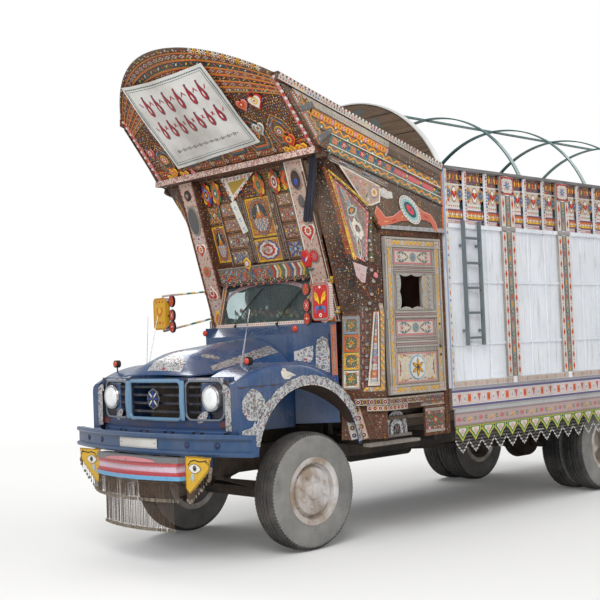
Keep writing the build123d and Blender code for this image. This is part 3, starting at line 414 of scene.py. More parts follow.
FRONT_SLOT_COLUMNS = (9, 29)
REAR_WHEEL_PROFILE = (
    (1.000, 0.0), (1.000, 0.086), (0.996, 0.094), (0.985, 0.110), (0.905, 0.122), (0.896, 0.130),
    (0.896, 0.186), (0.897, 0.222), (0.905, 0.234), (1.128, 0.241), (1.140, 0.250), (1.146, 0.262),
    (1.146, 0.284), (1.143, 0.291), (1.140, 0.291), (1.140, 0.256), (1.128, 0.253), (0.886, 0.253),
    (0.880, 0.253), (0.868, 0.253), (0.626, 0.253), (0.614, 0.256), (0.614, 0.291), (0.609, 0.291),
    (0.608, 0.240), (0.860, 0.236), (0.871, 0.222), (0.871, 0.186), (0.870, 0.122), (0.700, 0.110),
    (0.700, 0.0),
)
REAR_SLOT_COLUMNS = (6, 26)
WHEEL_SLOTS = 14
WHEEL_SEGMENTS = WHEEL_SLOTS * 12


def spun(profile, y, slot_columns=()):
    """A closed profile turned about an axle, with radial slots cut between two of its columns."""
    points, faces = [], []
    columns = len(profile)
    for step in range(WHEEL_SEGMENTS):
        angle = 2 * math.pi * step / WHEEL_SEGMENTS
        for across, radius in profile:
            points.append((across, y + radius * math.sin(angle), AXLE_UP + radius * math.cos(angle)))
    for step in range(WHEEL_SEGMENTS):
        start, after = step * columns, (step + 1) % WHEEL_SEGMENTS * columns
        slotted = slot_columns and step % 12 == 0
        for column in range(columns - 1):
            if not (slotted and column in slot_columns):
                faces.append((start + column, after + column, after + column + 1, start + column + 1))
        if slotted:
            near, far = slot_columns
            faces.append((start + near, start + near + 1, start + far, start + far + 1))
            faces.append((after + near + 1, after + near, after + far + 1, after + far))
            faces.append((start + near, start + far + 1, after + far + 1, after + near))
            faces.append((start + near + 1, after + near + 1, after + far, start + far))
    return points, faces


def wheel_nuts(across, circle, y, count=8, radius=0.0165, height=0.02):
    """Hexagon nuts with a stud end, round the wheel's disc."""
    points, faces = [], []
    for number in range(count):
        angle = 2 * math.pi * (number + 0.35) / count
        middle_y, middle_z = y + circle * math.sin(angle), AXLE_UP + circle * math.cos(angle)
        start = len(points)
        # across from the disc's face, share of the radius
        rings = ((0.0, 1.45), (0.004, 1.40), (0.004, 1.0), (height - 0.003, 1.0), (height, 0.86),
                 (height, 0.5), (height + 0.009, 0.45), (height + 0.010, 0.0))
        for out, share in rings:
            for corner in range(6):
                turn = math.pi * corner / 3
                points.append((across + out, middle_y + radius * share * math.sin(turn),
                               middle_z + radius * share * math.cos(turn)))
        for ring in range(len(rings) - 1):
            for corner in range(6):
                first, second = start + ring * 6 + corner, start + ring * 6 + (corner + 1) % 6
                faces.append((first, second, second + 6, first + 6))
    return points, faces


def joined(*shapes):
    """Several (points, faces) shapes as one."""
    points, faces = [], []
    for more_points, more_faces in shapes:
        shift = len(points)
        points += list(more_points)
        faces += [tuple(corner + shift for corner in face) for face in more_faces]
    return points, faces


def flipped(shape):
    """The same shape on the truck's other side."""
    points, faces = shape
    return [(-x, y, z) for x, y, z in points], [face[::-1] for face in faces]


wheel_silver, tree, shader = new_material("wheel_silver", Metallic=0.35)
where = add_node(tree, "TexCoord").outputs["Object"]
patches = add_node(tree, "TexNoise", Vector=where, Scale=7.0, Detail=5.0)
silver_tone = two_tones(tree, patches.outputs[0], 0.36, (0.66, 0.60, 0.54), 0.58, (0.87, 0.86, 0.86))
worn(tree, shader, silver_tone.outputs[0], 0.55, 0.12, 0.42, 0.0008, linear(0.60, 0.52, 0.44))
NUT_CIRCLE = 0.137
for side, hand in ((1, "left"), (-1, "right")):
    front_wheel = joined(spun(FRONT_WHEEL_PROFILE, at(0), FRONT_SLOT_COLUMNS),
                         wheel_nuts(0.944, NUT_CIRCLE, at(0)))
    rear_wheel = joined(
        spun(REAR_WHEEL_PROFILE, at(WHEELBASE), REAR_SLOT_COLUMNS),
        wheel_nuts(0.896, 0.158, at(WHEELBASE)),
    )
    for shape, name, body in (
        (front_wheel, f"{hand}_front_rim", f"{hand}_front_wheel"),
        (rear_wheel, f"{hand}_rear_rims", f"{hand}_rear_wheels"),
    ):
        points, faces = shape if side == 1 else flipped(shape)
        made = plain_mesh(name + "_dressed", points, faces)
        made.data.materials.append(wheel_silver)
        made.data.shade_smooth()
        made.data.set_sharp_from_angle(angle=math.radians(32))
        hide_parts(name)
        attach(made, body)


# Bonnet and wings: pressed steel in a deep blue enamel, polished but dusty.
# The bonnet is one thin arched sheet on a hinge, and scuttle and bumper have an enamel like it.
BLUE = linear(0.10, 0.27, 0.46)


def build_enamel(name, colour, dust, gloss):
    """A glossy brushed enamel with dust."""
    made, tree, shader = new_material(name, Coat_Weight=0.35, Coat_Roughness=0.12)
    worn(tree, shader, colour, dust, 0.13, gloss, 0.0004, linear(0.52, 0.50, 0.48), linear(0.30, 0.24, 0.22))
    return made


blue_enamel = build_enamel("blue_enamel", BLUE, 0.34, 0.20)
bumper_enamel = build_enamel("bumper_enamel", linear(0.12, 0.28, 0.45), 0.26, 0.30)
finish_nodes(("left_wing", "right_wing", "scuttle"), blue_enamel)
finish_nodes(("front_bumper",), bumper_enamel)

# place behind the axle, half width, height of the edge, height of the crown
BONNET_SECTIONS = ((-0.935, 0.480, 1.545, 1.562), (-0.860, 0.505, 1.550, 1.665),
                   (-0.700, 0.530, 1.556, 1.748), (0.125, 0.580, 1.592, 1.845))
BONNET_ACROSS = 48
BONNET_SHEET = 0.012


def bonnet_row(values, drop):
    """Points across one section of the bonnet, on the arc through its edges and its crown."""
    place, half, edge_up, crown_up = values
    sag = crown_up - edge_up
    radius = (half * half + sag * sag) / (2 * sag)
    row = []
    for step in range(BONNET_ACROSS + 1):
        x = half * (2 * step / BONNET_ACROSS - 1)
        row.append((x, at(place), crown_up - drop - radius + math.sqrt(max(radius * radius - x * x, 0))))
    return row


bonnet_rows = []
for start, end in zip(BONNET_SECTIONS, BONNET_SECTIONS[1:]):
    parts = 4 if end[0] < 0 else 12
    for part in range(parts):
        share = part / parts
        bonnet_rows.append([a + (b - a) * share for a, b in zip(start, end)])
bonnet_rows.append(BONNET_SECTIONS[-1])


def softened(rows):
    """The bonnet's sections with the kinks of its ruled lengths eased."""
    for _ in range(3):
        rows = [rows[0]] + [
            [b[0], (a[1] + 2 * b[1] + c[1]) / 4, (a[2] + 2 * b[2] + c[2]) / 4, (a[3] + 2 * b[3] + c[3]) / 4]
            for a, b, c in zip(rows, rows[1:], rows[2:])
        ] + [rows[-1]]
    return rows


bonnet_rows = softened(bonnet_rows)
points, faces = [], []
for drop in (0.0, BONNET_SHEET):
    for values in bonnet_rows:
        points += bonnet_row(values, drop)
columns = BONNET_ACROSS + 1
layer = columns * len(bonnet_rows)
for row in range(len(bonnet_rows) - 1):
    for column in range(BONNET_ACROSS):
        corner = row * columns + column
        faces.append((corner, corner + 1, corner + columns + 1, corner + columns))
        faces.append(tuple(layer + c for c in (corner, corner + columns, corner + columns + 1, corner + 1)))
    for corner in (row * columns, row * columns + BONNET_ACROSS):
        edge = (corner, corner + columns, corner + columns + layer, corner + layer)
        faces.append(edge if corner % columns == 0 else edge[::-1])
for column in range(BONNET_ACROSS):
    corner = column
    faces.append((corner, corner + layer, corner + layer + 1, corner + 1))
    corner = (len(bonnet_rows) - 1) * columns + column
    faces.append((corner, corner + 1, corner + layer + 1, corner + layer))
bonnet = plain_mesh("bonnet_dressed", points, faces, smooth=True)
bonnet.data.set_sharp_from_angle(angle=math.radians(40))
bonnet.data.materials.append(blue_enamel)
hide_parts("bonnet")
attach(bonnet, "bonnet")


# Painted work of the crown: boards and cut tin shapes in enamel, in a few bright colours.
# Shapes are cut out, laid over each other and nailed, so each drawing is thin layers over its board.
LAYER = 0.0011
RED = linear(0.76, 0.13, 0.10)
CRIMSON = linear(0.55, 0.09, 0.12)
ORANGE = linear(0.86, 0.40, 0.13)
OCHRE = linear(0.76, 0.50, 0.18)
YELLOW = linear(0.93, 0.74, 0.16)
GREEN = linear(0.12, 0.45, 0.28)
TEAL = linear(0.10, 0.36, 0.38)
DARK_TEAL = linear(0.08, 0.22, 0.25)
COBALT = linear(0.13, 0.27, 0.62)
SKY = linear(0.45, 0.66, 0.80)
WHITE = linear(0.90, 0.88, 0.83)
PINK = linear(0.84, 0.50, 0.52)
BROWN = linear(0.38, 0.20, 0.12)
UMBER = linear(0.22, 0.13, 0.10)
LACE = linear(0.56, 0.53, 0.49)
BRIGHTS = (RED, YELLOW, WHITE, ORANGE, GREEN, SKY, PINK, COBALT)


def ring(count, lobes=0, depth=0.0, start=0.0):
    """A round outline, with lobes if it has a depth."""
    spots = []
    for corner in range(count):
        angle = 2 * math.pi * corner / count + start
        reach = 1 - depth * (0.5 - 0.5 * math.cos(lobes * (angle - start)))
        spots.append((reach * math.cos(angle), reach * math.sin(angle)))
    return spots


HANDS = ((False, "left"), (True, "right"))
DOT = ring(5)
DISC = ring(10)
ROUND = ring(24)
DIAMOND = ring(4)
SQUARE = [(-1, -1), (1, -1), (1, 1), (-1, 1)]
PETAL = [(-1, 0), (-0.45, -0.62), (0.35, -0.62), (1, 0), (0.35, 0.62), (-0.45, 0.62)]
HEART = [
    (math.sin(t) ** 3, (13 * math.cos(t) - 5 * math.cos(2 * t) - 2 * math.cos(3 * t) - math.cos(4 * t)) / 16)
    for t in (2 * math.pi * (step + 0.5) / 18 for step in range(18))
]
DROP = [(0, -1.35)] + [(math.sin(t),
                        -math.cos(t)) for t in (math.pi * (0.28 + 1.44 * k / 12) for k in range(13))]
ARCH = [(-0.62, -1), (0.62, -1), (0.80, -0.55), (0.86, -0.05), (0.70, 0.45), (0.38, 0.75), (0, 1),
        (-0.38, 0.75), (-0.70, 0.45), (-0.86, -0.05), (-0.80, -0.55)]


class Inlay:
    """Painted shapes and low relief laid out on a panel: across it, up it, and a height off it."""

    def __init__(self, level=0.0015, seed=1):
        self.spots = []
        self.faces = []
        self.tints = []
        self.level = level
        self.warp = None
        self.parts = 1
        self.chance = random.Random(seed)

    def add_row(self, pairs, height):
        """Adds points of one height, carried through the present warp."""
        if self.warp:
            pairs = [self.warp(u, v) for u, v in pairs]
        self.spots += [(u, v, height) for u, v in pairs]

    def shape(self, outline, tint, step=0, rise=0.0):
        """One shape from its outline, some layers up. With a rise it has a bevelled rim."""
        area = sum(a[0] * b[1] - b[0] * a[1] for a, b in zip(outline, outline[1:] + outline[:1]))
        if area < 0:
            outline = outline[::-1]
        base = self.level + step * LAYER
        start, count = len(self.spots), len(outline)
        self.add_row(outline, base)
        if rise:
            middle_u = sum(u for u, v in outline) / count
            middle_v = sum(v for u, v in outline) / count
            reach = max(math.hypot(u - middle_u, v - middle_v) for u, v in outline)
            share = max(0.6, 1 - 1.2 * rise / reach)
            inner = [(middle_u + (u - middle_u) * share,
                      middle_v + (v - middle_v) * share) for u, v in outline]
            self.add_row(inner, base + rise)
            for corner in range(count):
                after = (corner + 1) % count
                self.faces.append((start + corner, start + after, start + count + after,
                                   start + count + corner))
                self.tints.append(tint)
            start += count
        self.faces.append(tuple(range(start, start + count)))
        self.tints.append(tint)

    def ground(self, wide, tall, tint, rise=0.0):
        """The ground of a field, in small parts where the surface under it is bent."""
        if self.parts == 1:
            self.shape([(0, 0), (wide, 0), (wide, tall), (0, tall)], tint, 0, rise)
            return
        start, row_size = len(self.spots), self.parts + 1
        for row in range(row_size):
            self.add_row([(wide * k / self.parts, tall * row / self.parts) for k in range(row_size)],
                         self.level + rise)
        for row in range(self.parts):
            for column in range(self.parts):
                corner = start + row * row_size + column
                self.faces.append((corner, corner + 1, corner + row_size + 1, corner + row_size))
                self.tints.append(tint)

    def put(self, unit, u, v, size, tint, step=0, rise=0.0, turn=0.0):
        """A unit outline at a place, with its half size as one number or as (wide, tall)."""
        wide, tall = size if isinstance(size, tuple) else (size, size)
        cos, sin = math.cos(turn), math.sin(turn)
        outline = [(u + x * wide * cos - y * tall * sin,
                    v + x * wide * sin + y * tall * cos) for x, y in unit]
        self.shape(outline, tint, step, rise)

    def around(self, count, unit, u, v, reach, size, tints, step=0, rise=0.0, start=None):
        """Copies of a unit outline round a place, in each tint by turns.

        With a start angle they point outward.
        """
        wide, tall = reach if isinstance(reach, tuple) else (reach, reach)
        for number in range(count):
            angle = (start or 0.0) + 2 * math.pi * number / count
            self.put(unit, u + wide * math.cos(angle), v + tall * math.sin(angle), size,
                     tints[number % len(tints)], step, rise, 0.0 if start is None else angle)

    def ribbon(self, path, width, tint, step=0, rise=0.0, closed=False):
        """A strip along a path, or a low moulding if it has a rise."""
        if self.parts > 1:
            path = [tuple(Vector(a).lerp(Vector(b),
                                         k / 6)) for a, b in zip(path, path[1:])
                    for k in range(6)] + path[-1:]
        base = self.level + step * LAYER
        start, count = len(self.spots), len(path)
        rows = ((-0.5, 0), (0.5, 0)) if not rise else ((-0.5, 0), (-0.34, 1), (0.34, 1), (0.5, 0))
        for index, (u, v) in enumerate(path):
            before = path[index - 1] if closed or index else path[0]
            after = path[(index + 1) % count] if closed or index < count - 1 else path[-1]
            first = Vector((u - before[0], v - before[1]))
            second = Vector((after[0] - u, after[1] - v))
            first = first.normalized() if first.length else second.normalized()
            second = second.normalized() if second.length else first
            both = (first + second).normalized() if (first + second).length > 0.001 else first
            reach = 1 / max(0.45, both.dot(first))
            wide = width[index] if isinstance(width, (list, tuple)) else width
            for share, lift in rows:
                offset = wide * share * reach
                self.add_row([(u - both.y * offset, v + both.x * offset)], base + rise * lift)
        step_size = len(rows)
        for index in range(count if closed else count - 1):
            here, there = start + index * step_size, start + (index + 1) % count * step_size
            for row in range(step_size - 1):
                self.faces.append((here + row, there + row, there + row + 1, here + row + 1))
                self.tints.append(tint)

    def within(self, corners):
        """Draws in a four-cornered field from now on. Gives its width and height."""
        low_left, low_right, top_right, top_left = (Vector(c) for c in corners)
        wide = ((low_right - low_left).length + (top_right - top_left).length) / 2
        tall = ((top_left - low_left).length + (top_right - low_right).length) / 2

        def warp(u, v):
            across, up = u / wide, v / tall
            low = low_left.lerp(low_right, across)
            high = top_left.lerp(top_right, across)
            return tuple(low.lerp(high, up))

        self.warp = warp
        return wide, tall

    def lay(self, name, surface, body, slot, material, mirrored=False):
        """The piece itself: the drawing bent onto its surface, with its paint as a colour attribute."""
        points = [surface(*spot) for spot in self.spots]
        faces = self.faces
        if mirrored:
            points = [(-x, y, z) for x, y, z in points]
            faces = [face[::-1] for face in faces]
        made = plain_mesh(name, points, faces)
        paint_faces(made, self.tints)
        made.data.materials.append(material)
        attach(made, body)
        return made

    def lay_both(self, name, surface, body, slot, material):
        """The piece on the left side, and its mirror image on the right."""
        for mirrored, hand in HANDS:
            self.lay(f"{hand}_{name}", surface, body, slot, material, mirrored)


def along(path, pitch):
    """Evenly spaced places on a path, each with its direction and its number."""
    lengths = [math.dist(a, b) for a, b in zip(path, path[1:])]
    count = max(1, round(sum(lengths) / pitch))
    apart = sum(lengths) / count
    wanted, run, number = apart / 2, 0.0, 0
    for (a, b), length in zip(zip(path, path[1:]), lengths):
        while number < count and wanted <= run + length + 1e-9:
            share = (wanted - run) / length
            yield (a[0] + (b[0] - a[0]) * share, a[1] + (b[1] - a[1]) * share,
                   math.atan2(b[1] - a[1], b[0] - a[0]), number)
            number += 1
            wanted += apart
        run += length


def flower(sheet, u, v, size, tints=(RED, YELLOW, WHITE), petals=6, step=1, turn=0.0, rise=0.0):
    """A flower with pointed petals round an eye."""
    petal = (size * 0.44, size * 1.25 / petals)
    sheet.around(petals, PETAL, u, v, size * 0.58, petal, (tints[0],), step, rise, turn)
    sheet.put(DISC, u, v, size * 0.32, tints[1], step + 1, rise)
    sheet.put(DOT, u, v, size * 0.15, tints[2], step + 2, rise)


def medallion(sheet, u, v, size, tints=(WHITE, RED, YELLOW, COBALT), dots=12, step=1, rise=0.003):
    """A round boss in rings, with a ring of dots."""
    sheet.put(ROUND, u, v, size, tints[0], step, rise)
    lift = step + rise / LAYER
    sheet.put(ROUND, u, v, size * 0.84, tints[1], lift + 1)
    sheet.around(dots, DOT, u, v, size * 0.66, size * 0.10, (tints[2],), lift + 2)
    sheet.put(ROUND, u, v, size * 0.42, tints[2], lift + 2)
    sheet.put(DISC, u, v, size * 0.22, tints[3], lift + 3)


def eye_mark(sheet, u, v, size, turn=0.0, tints=(WHITE, UMBER, ORANGE), step=1):
    """A diamond in an outline, with a bright middle."""
    sheet.put(DIAMOND, u, v, (size, size * 0.62), tints[0], step, 0, turn)
    sheet.put(DIAMOND, u, v, (size * 0.70, size * 0.42), tints[1], step + 1, 0, turn)
    sheet.put(DOT, u, v, size * 0.26, tints[2], step + 2)


def heart_plate(sheet, u, v, size, tints=(YELLOW, RED, YELLOW, COBALT), step=3, rise=0.006, turn=0.0,
                crown=True):
    """A heart of cut tin with a toothed flower painted on it."""
    sheet.put(HEART, u, v, (size, size * 1.08), tints[0], step, rise, turn)
    lift = step + rise / LAYER
    sheet.put(HEART, u, v, (size * 0.82, size * 0.88), tints[1], lift + 1, 0, turn)
    sheet.put(ring(20, 10, 0.30), u, v + size * 0.12, size * 0.52, tints[2], lift + 2)
    sheet.put(DISC, u, v + size * 0.12, size * 0.26, tints[1], lift + 3)
    sheet.put(DISC, u, v + size * 0.12, size * 0.13, tints[3], lift + 4)
    if crown:
        for dot in range(-2, 3):
            sheet.put(DOT, u + dot * size * 0.22, v + size * (1.13 - 0.05 * dot * dot), size * 0.12,
                      tints[0], step, rise)


def wave(sheet, wide, middle, height, pitch, width, tint, step=1):
    """A wavy line across a field."""
    count = max(2, round(wide / pitch)) * 6
    path = [(wide * k / count, middle + height * math.sin(2 * math.pi * k / 6)) for k in range(count + 1)]
    sheet.ribbon(path, width, tint, step)


def scatter(sheet, wide, tall, pitch, tints, step=1, size=0.30):
    """Small dots and leaves over a field, in staggered rows that wander a little."""
    chance = sheet.chance
    rows = max(1, round(tall / pitch))
    columns = max(1, round(wide / pitch))
    for row in range(rows):
        for column in range(columns):
            u = (column + 0.5 + 0.5 * (row % 2) * (1 if column < columns - 1 else 0)) * wide / columns
            v = (row + 0.5) * tall / rows
            u = min(max(u + chance.uniform(-0.16, 0.16) * pitch, pitch * 0.3), wide - pitch * 0.3)
            v = min(max(v + chance.uniform(-0.16, 0.16) * pitch, pitch * 0.3), tall - pitch * 0.3)
            tint = chance.choice(tints)
            if chance.random() < 0.5:
                sheet.put(DOT, u, v, pitch * size, tint, step)
            else:
                sheet.put(PETAL, u, v, (pitch * size * 1.5, pitch * size * 0.7), tint, step, 0,
                          chance.uniform(0, 3.1))


def speckled(pitch, tints, size):
    """A design of such dots alone."""
    return lambda sheet, wide, tall: scatter(sheet, wide, tall, pitch, tints, 1, size)


def frame_lines(sheet, wide, tall, inset, width, tint, step=1, rise=0.0):
    """A border line round a field."""
    sheet.ribbon([(inset, inset), (wide - inset, inset), (wide - inset, tall - inset),
                  (inset, tall - inset)],
                 width, tint, step, rise, closed=True)


def strip(sheet, start, end, width, ground, draw=None, edge=None, rise=0.0):
    """A straight painted strip from one place to another, with its own design along it."""
    start, end = Vector(start), Vector(end)
    run = (end - start).normalized()
    side = Vector((-run.y, run.x)) * width / 2
    wide, tall = sheet.within((start - side, end - side, end + side, start + side))
    if ground:
        sheet.ground(wide, tall, ground, rise)
    held = sheet.level
    sheet.level += rise
    if edge:
        for v in (tall * 0.06, tall * 0.94):
            sheet.ribbon([(0, v), (wide, v)], tall * 0.11, edge, 1)
    if draw:
        draw(sheet, wide, tall)
    sheet.level = held
    sheet.warp = None


def field(sheet, corners, ground, draw=None, border=None, rise=0.0, border_rise=0.0):
    """A four-cornered painted panel with a border and its own design."""
    wide, tall = sheet.within(corners)
    if ground:
        sheet.ground(wide, tall, ground, rise)
    held = sheet.level
    sheet.level += rise
    if border:
        frame_lines(sheet, wide, tall, 0.010, 0.016, border, 1, border_rise)
    if draw:
        draw(sheet, wide, tall)
    sheet.level = held
    sheet.warp = None


def oblong(u0, v0, u1, v1):
    """The corners of an upright field."""
    return ((u0, v0), (u1, v0), (u1, v1), (u0, v1))


def midline(wide, tall):
    """The line along the middle of a field."""
    return [(0, tall / 2), (wide, tall / 2)]


def eyes_design(pitch=0.10, tints=(WHITE, UMBER, ORANGE), between=YELLOW):
    """A row of diamond eyes with small flowers between."""
    def draw(sheet, wide, tall):
        for u, v, _, _ in along(midline(wide, tall), pitch):
            eye_mark(sheet, u, v, min(tall * 0.62, pitch * 0.34), 0, tints)
            for lift in (-0.24, 0.24):
                sheet.put(DOT, u + pitch / 2, v + tall * lift, tall * 0.10, between, 1)
    return draw


def wave_design(pitch=0.10, first=ORANGE, second=YELLOW, dots=(WHITE, RED, GREEN)):
    """Two wavy lines with dots in their hollows."""
    def draw(sheet, wide, tall):
        wave(sheet, wide, tall / 2, tall * 0.20, pitch, tall * 0.24, first, 1)
        wave(sheet, wide, tall / 2, tall * 0.20, pitch, tall * 0.09, second, 2)
        for u, v, _, number in along(midline(wide, tall), pitch / 2):
            sheet.put(DOT, u, v + tall * (0.30 if number % 2 else -0.30), tall * 0.12,
                      dots[number % len(dots)], 3)
    return draw


def flowers_design(pitch=0.12, tints=((RED, WHITE, RED), (ORANGE, YELLOW, RED)), leaf=SKY):
    """A row of flowers with leaves between."""
    def draw(sheet, wide, tall):
        for u, v, _, number in along(midline(wide, tall), pitch):
            flower(sheet, u, v, min(tall * 0.42, pitch * 0.34), tints[number % len(tints)])
            for lean in (-0.9, 0.9):
                sheet.put(PETAL, u + pitch / 2, v + lean * tall * 0.16, (tall * 0.15, tall * 0.07), leaf, 1,
                          0, lean)
    return draw


def blocks_design(pitch=0.16, block=OCHRE, square=PINK):
    """Patterned blocks with a small square flower between them."""
    def draw(sheet, wide, tall):
        for u, v, _, _ in along(midline(wide, tall), pitch):
            sheet.put(SQUARE, u, v, (pitch * 0.36, tall * 0.38), block, 1)
            for leaf in range(5):
                sheet.put(PETAL, u + (leaf - 2) * pitch * 0.13, v, (tall * 0.26, tall * 0.10),
                          (YELLOW, RED)[leaf % 2], 2, 0, 1.1 if leaf % 2 else -1.1)
            sheet.put(SQUARE, u + pitch / 2, v, (pitch * 0.11, tall * 0.34), square, 1)
            flower(sheet, u + pitch / 2, v, tall * 0.26, (WHITE, RED, WHITE), 4, 2)
    return draw


def spray_design(tints=((RED, YELLOW, RED), (PINK, WHITE, RED), (SKY, WHITE, COBALT)), leaf=GREEN,
                 dots=BRIGHTS, pitch=0.032):
    """A flower in the middle, one in each corner, curling stems and a scatter of dots."""
    def draw(sheet, wide, tall):
        least = min(wide, tall)
        scatter(sheet, wide, tall, pitch, dots, 1, 0.24)
        for side in (-1, 1):
            for up in (-1, 1):
                u, v = wide / 2 + side * wide * 0.33, tall / 2 + up * tall * 0.33
                stem = [(wide / 2 + side * wide * 0.33 * t, tall / 2 + up * tall * 0.33 * t ** 2) for t in
                        (0.1, 0.3, 0.5, 0.7, 0.9)]
                sheet.ribbon(stem, least * 0.03, leaf, 2)
                for t, lean in ((0.45, 0.8), (0.7, -0.6)):
                    sheet.put(PETAL, wide / 2 + side * wide * 0.33 * t, tall / 2 + up * tall * 0.30 * t,
                              (least * 0.10, least * 0.045), leaf, 3, 0, lean * side * up)
                flower(sheet, u, v, least * 0.13, tints[1], 5, 3)
        flower(sheet, wide / 2, tall / 2, least * 0.26, tints[0], 8, 3)
        sheet.put(DISC, wide / 2, tall / 2, least * 0.06, tints[2][0], 6)
    return draw


def build_painted_work(name, dust, dots, gloss=0.46, tone=(1.0, 1.0, 1.0)):
    """Enamel colours from the shapes themselves, with brushed dots too small to cut."""
    made, tree, shader = new_material(name, Specular_IOR_Level=0.35)
    paint = add_node(tree, "Attribute", {"attribute_name": "paint"})
    where = add_node(tree, "TexCoord").outputs["Object"]
    specks = add_node(tree, "Group", {"node_tree": SPECKS}, Vector=where, Color=paint.outputs["Color"],
                      Amount=dots)
    toned = mix_node(tree, 1.0, specks.outputs["Color"], (*tone, 1), blend_type="MULTIPLY")
    worn(tree, shader, toned.outputs[2], dust, 0.15, gloss, 0.0008, linear(0.47, 0.41, 0.35),
         linear(0.24, 0.19, 0.16))
    return made


def build_speck_group():
    """Tiny brushed dots of folk colours, one to a cell, at two sizes."""
    group, given, made = group_sockets(
        "brushed_specks",
        [("Vector", "Vector", (0, 0, 0)), ("Color", "Color", (0.5, 0.5, 0.5, 1)), ("Amount", "Float", 0.5)],
        [("Color", "Color")],
    )
    colour = given.outputs["Color"]
    for scale, reach in ((44.0, 0.24), (95.0, 0.26)):
        cells = add_node(group, "TexVoronoi", Vector=given.outputs["Vector"], Scale=scale, Randomness=0.7)
        pick = add_node(group, "SeparateColor", i0=cells.outputs["Color"])
        ramp = add_node(group, "ValToRGB", i0=pick.outputs[0])
        ramp.color_ramp.interpolation = "CONSTANT"
        while len(ramp.color_ramp.elements) < 6:
            ramp.color_ramp.elements.new(0.5)
        for element, position, tint in zip(ramp.color_ramp.elements, (0.0, 0.22, 0.42, 0.62, 0.78, 0.90),
                                           (WHITE, ORANGE, YELLOW, RED, GREEN, SKY)):
            element.position = position
            element.color = (*tint, 1)
        near = add_node(group, "MapRange", Value=cells.outputs["Distance"], From_Min=reach,
                        From_Max=reach + 0.06, To_Min=1.0, To_Max=0.0)
        some = math_node(group, "LESS_THAN", pick.outputs[1], 0.55)
        shown = math_node(group, "MULTIPLY", near.outputs[0], some.outputs[0])
        amount = math_node(group, "MULTIPLY", shown.outputs[0], given.outputs["Amount"])
        mixed = mix_node(group, amount.outputs[0], colour, ramp.outputs[0])
        colour = mixed.outputs[2]
    group.links.new(colour, made.inputs["Color"])
    return group


SPECKS = build_speck_group()
painted_work = build_painted_work("painted_work", 0.42, 0.55)
plain_work = build_painted_work("painted_tin", 0.30, 0.0, 0.40)


def build_painted_board(name, ground, dots, dust=0.5, gloss=0.6):
    """A carried board in one ground colour, under the same small brushed dots."""
    made, tree, shader = new_material(name, Specular_IOR_Level=0.3)
    where = add_node(tree, "TexCoord").outputs["Object"]
    grain_space = add_node(tree, "Mapping", Vector=where, Scale=(1.0, 1.0, 0.12))
    grain = add_node(tree, "TexNoise", Vector=grain_space.outputs[0], Scale=40.0, Detail=6.0)
    shade = mix_node(tree, grain.outputs[0], (*(c * 0.72 for c in ground), 1),
                     (*(min(c * 1.25, 1) for c in ground), 1))
    specks = add_node(tree, "Group", {"node_tree": SPECKS}, Vector=where, Color=shade.outputs[2],
                      Amount=dots)
    worn(tree, shader, specks.outputs["Color"], dust, 0.2, gloss, 0.0012, linear(0.42, 0.36, 0.31),
         linear(0.20, 0.15, 0.12))
    return made


crown_wood = build_painted_board("crown_wood", linear(0.33, 0.19, 0.13), 0.45)
finish_nodes(
    ("crown_face", "crown_prow", "crown_left_cheek", "crown_right_cheek", "side_boards", "cab_left_side",
     "cab_right_side", "side_steps", "rear_board"),
    crown_wood,
)

# Prow: the tall bowed board over the cab, of painted planks bent like a ship's bow.
# Its bands follow the arched edge and draw together at its two upper corners, over a row of arches.
PROW_HALF = 1.104
PROW_FOOT = 3.450
PROW_RISE = 0.990
PROW_BOW = 3.2
PROW_ARCH = 1.932
CROWN_TOP = 4.380


def prow_ends(u):
    """Where the prow's front stands at its foot and its top, this far across."""
    return 0.015 + 0.005 * (u / PROW_HALF) ** 2, -0.945 + PROW_BOW - math.sqrt(PROW_BOW ** 2 - u * u)


def prow_surface(u, v, height):
    """A place on the prow's front: across, up its slope, and off it."""
    foot, top = prow_ends(u)
    length = math.hypot(top - foot, PROW_RISE)
    run, climb = (top - foot) / length, PROW_RISE / length
    return (u, at(foot + run * v - climb * height), PROW_FOOT + climb * v + run * height)


def prow_height(u):
    """How far up its slope the prow's arched edge is, this far across."""
    foot, top = prow_ends(u)
    edge_up = CROWN_TOP - PROW_ARCH + math.sqrt(PROW_ARCH ** 2 - u * u)
    return math.hypot(top - foot, PROW_RISE) * (edge_up - PROW_FOOT) / PROW_RISE


def prow_gather(u):
    """The share of their width that the prow's bands keep, this far across."""
    return 1 - 0.58 * (abs(u) / PROW_HALF) ** 2.2


def prow_arc(drop, steps=56, half=1.085):
    """A line that follows the arched edge, this far under it and nearer at the corners."""
    path = []
    for step in range(steps + 1):
        u = half * (2 * step / steps - 1)
        path.append((u, prow_height(u) - drop * prow_gather(u)))
    return path


prow = Inlay(0.0015, seed=7)
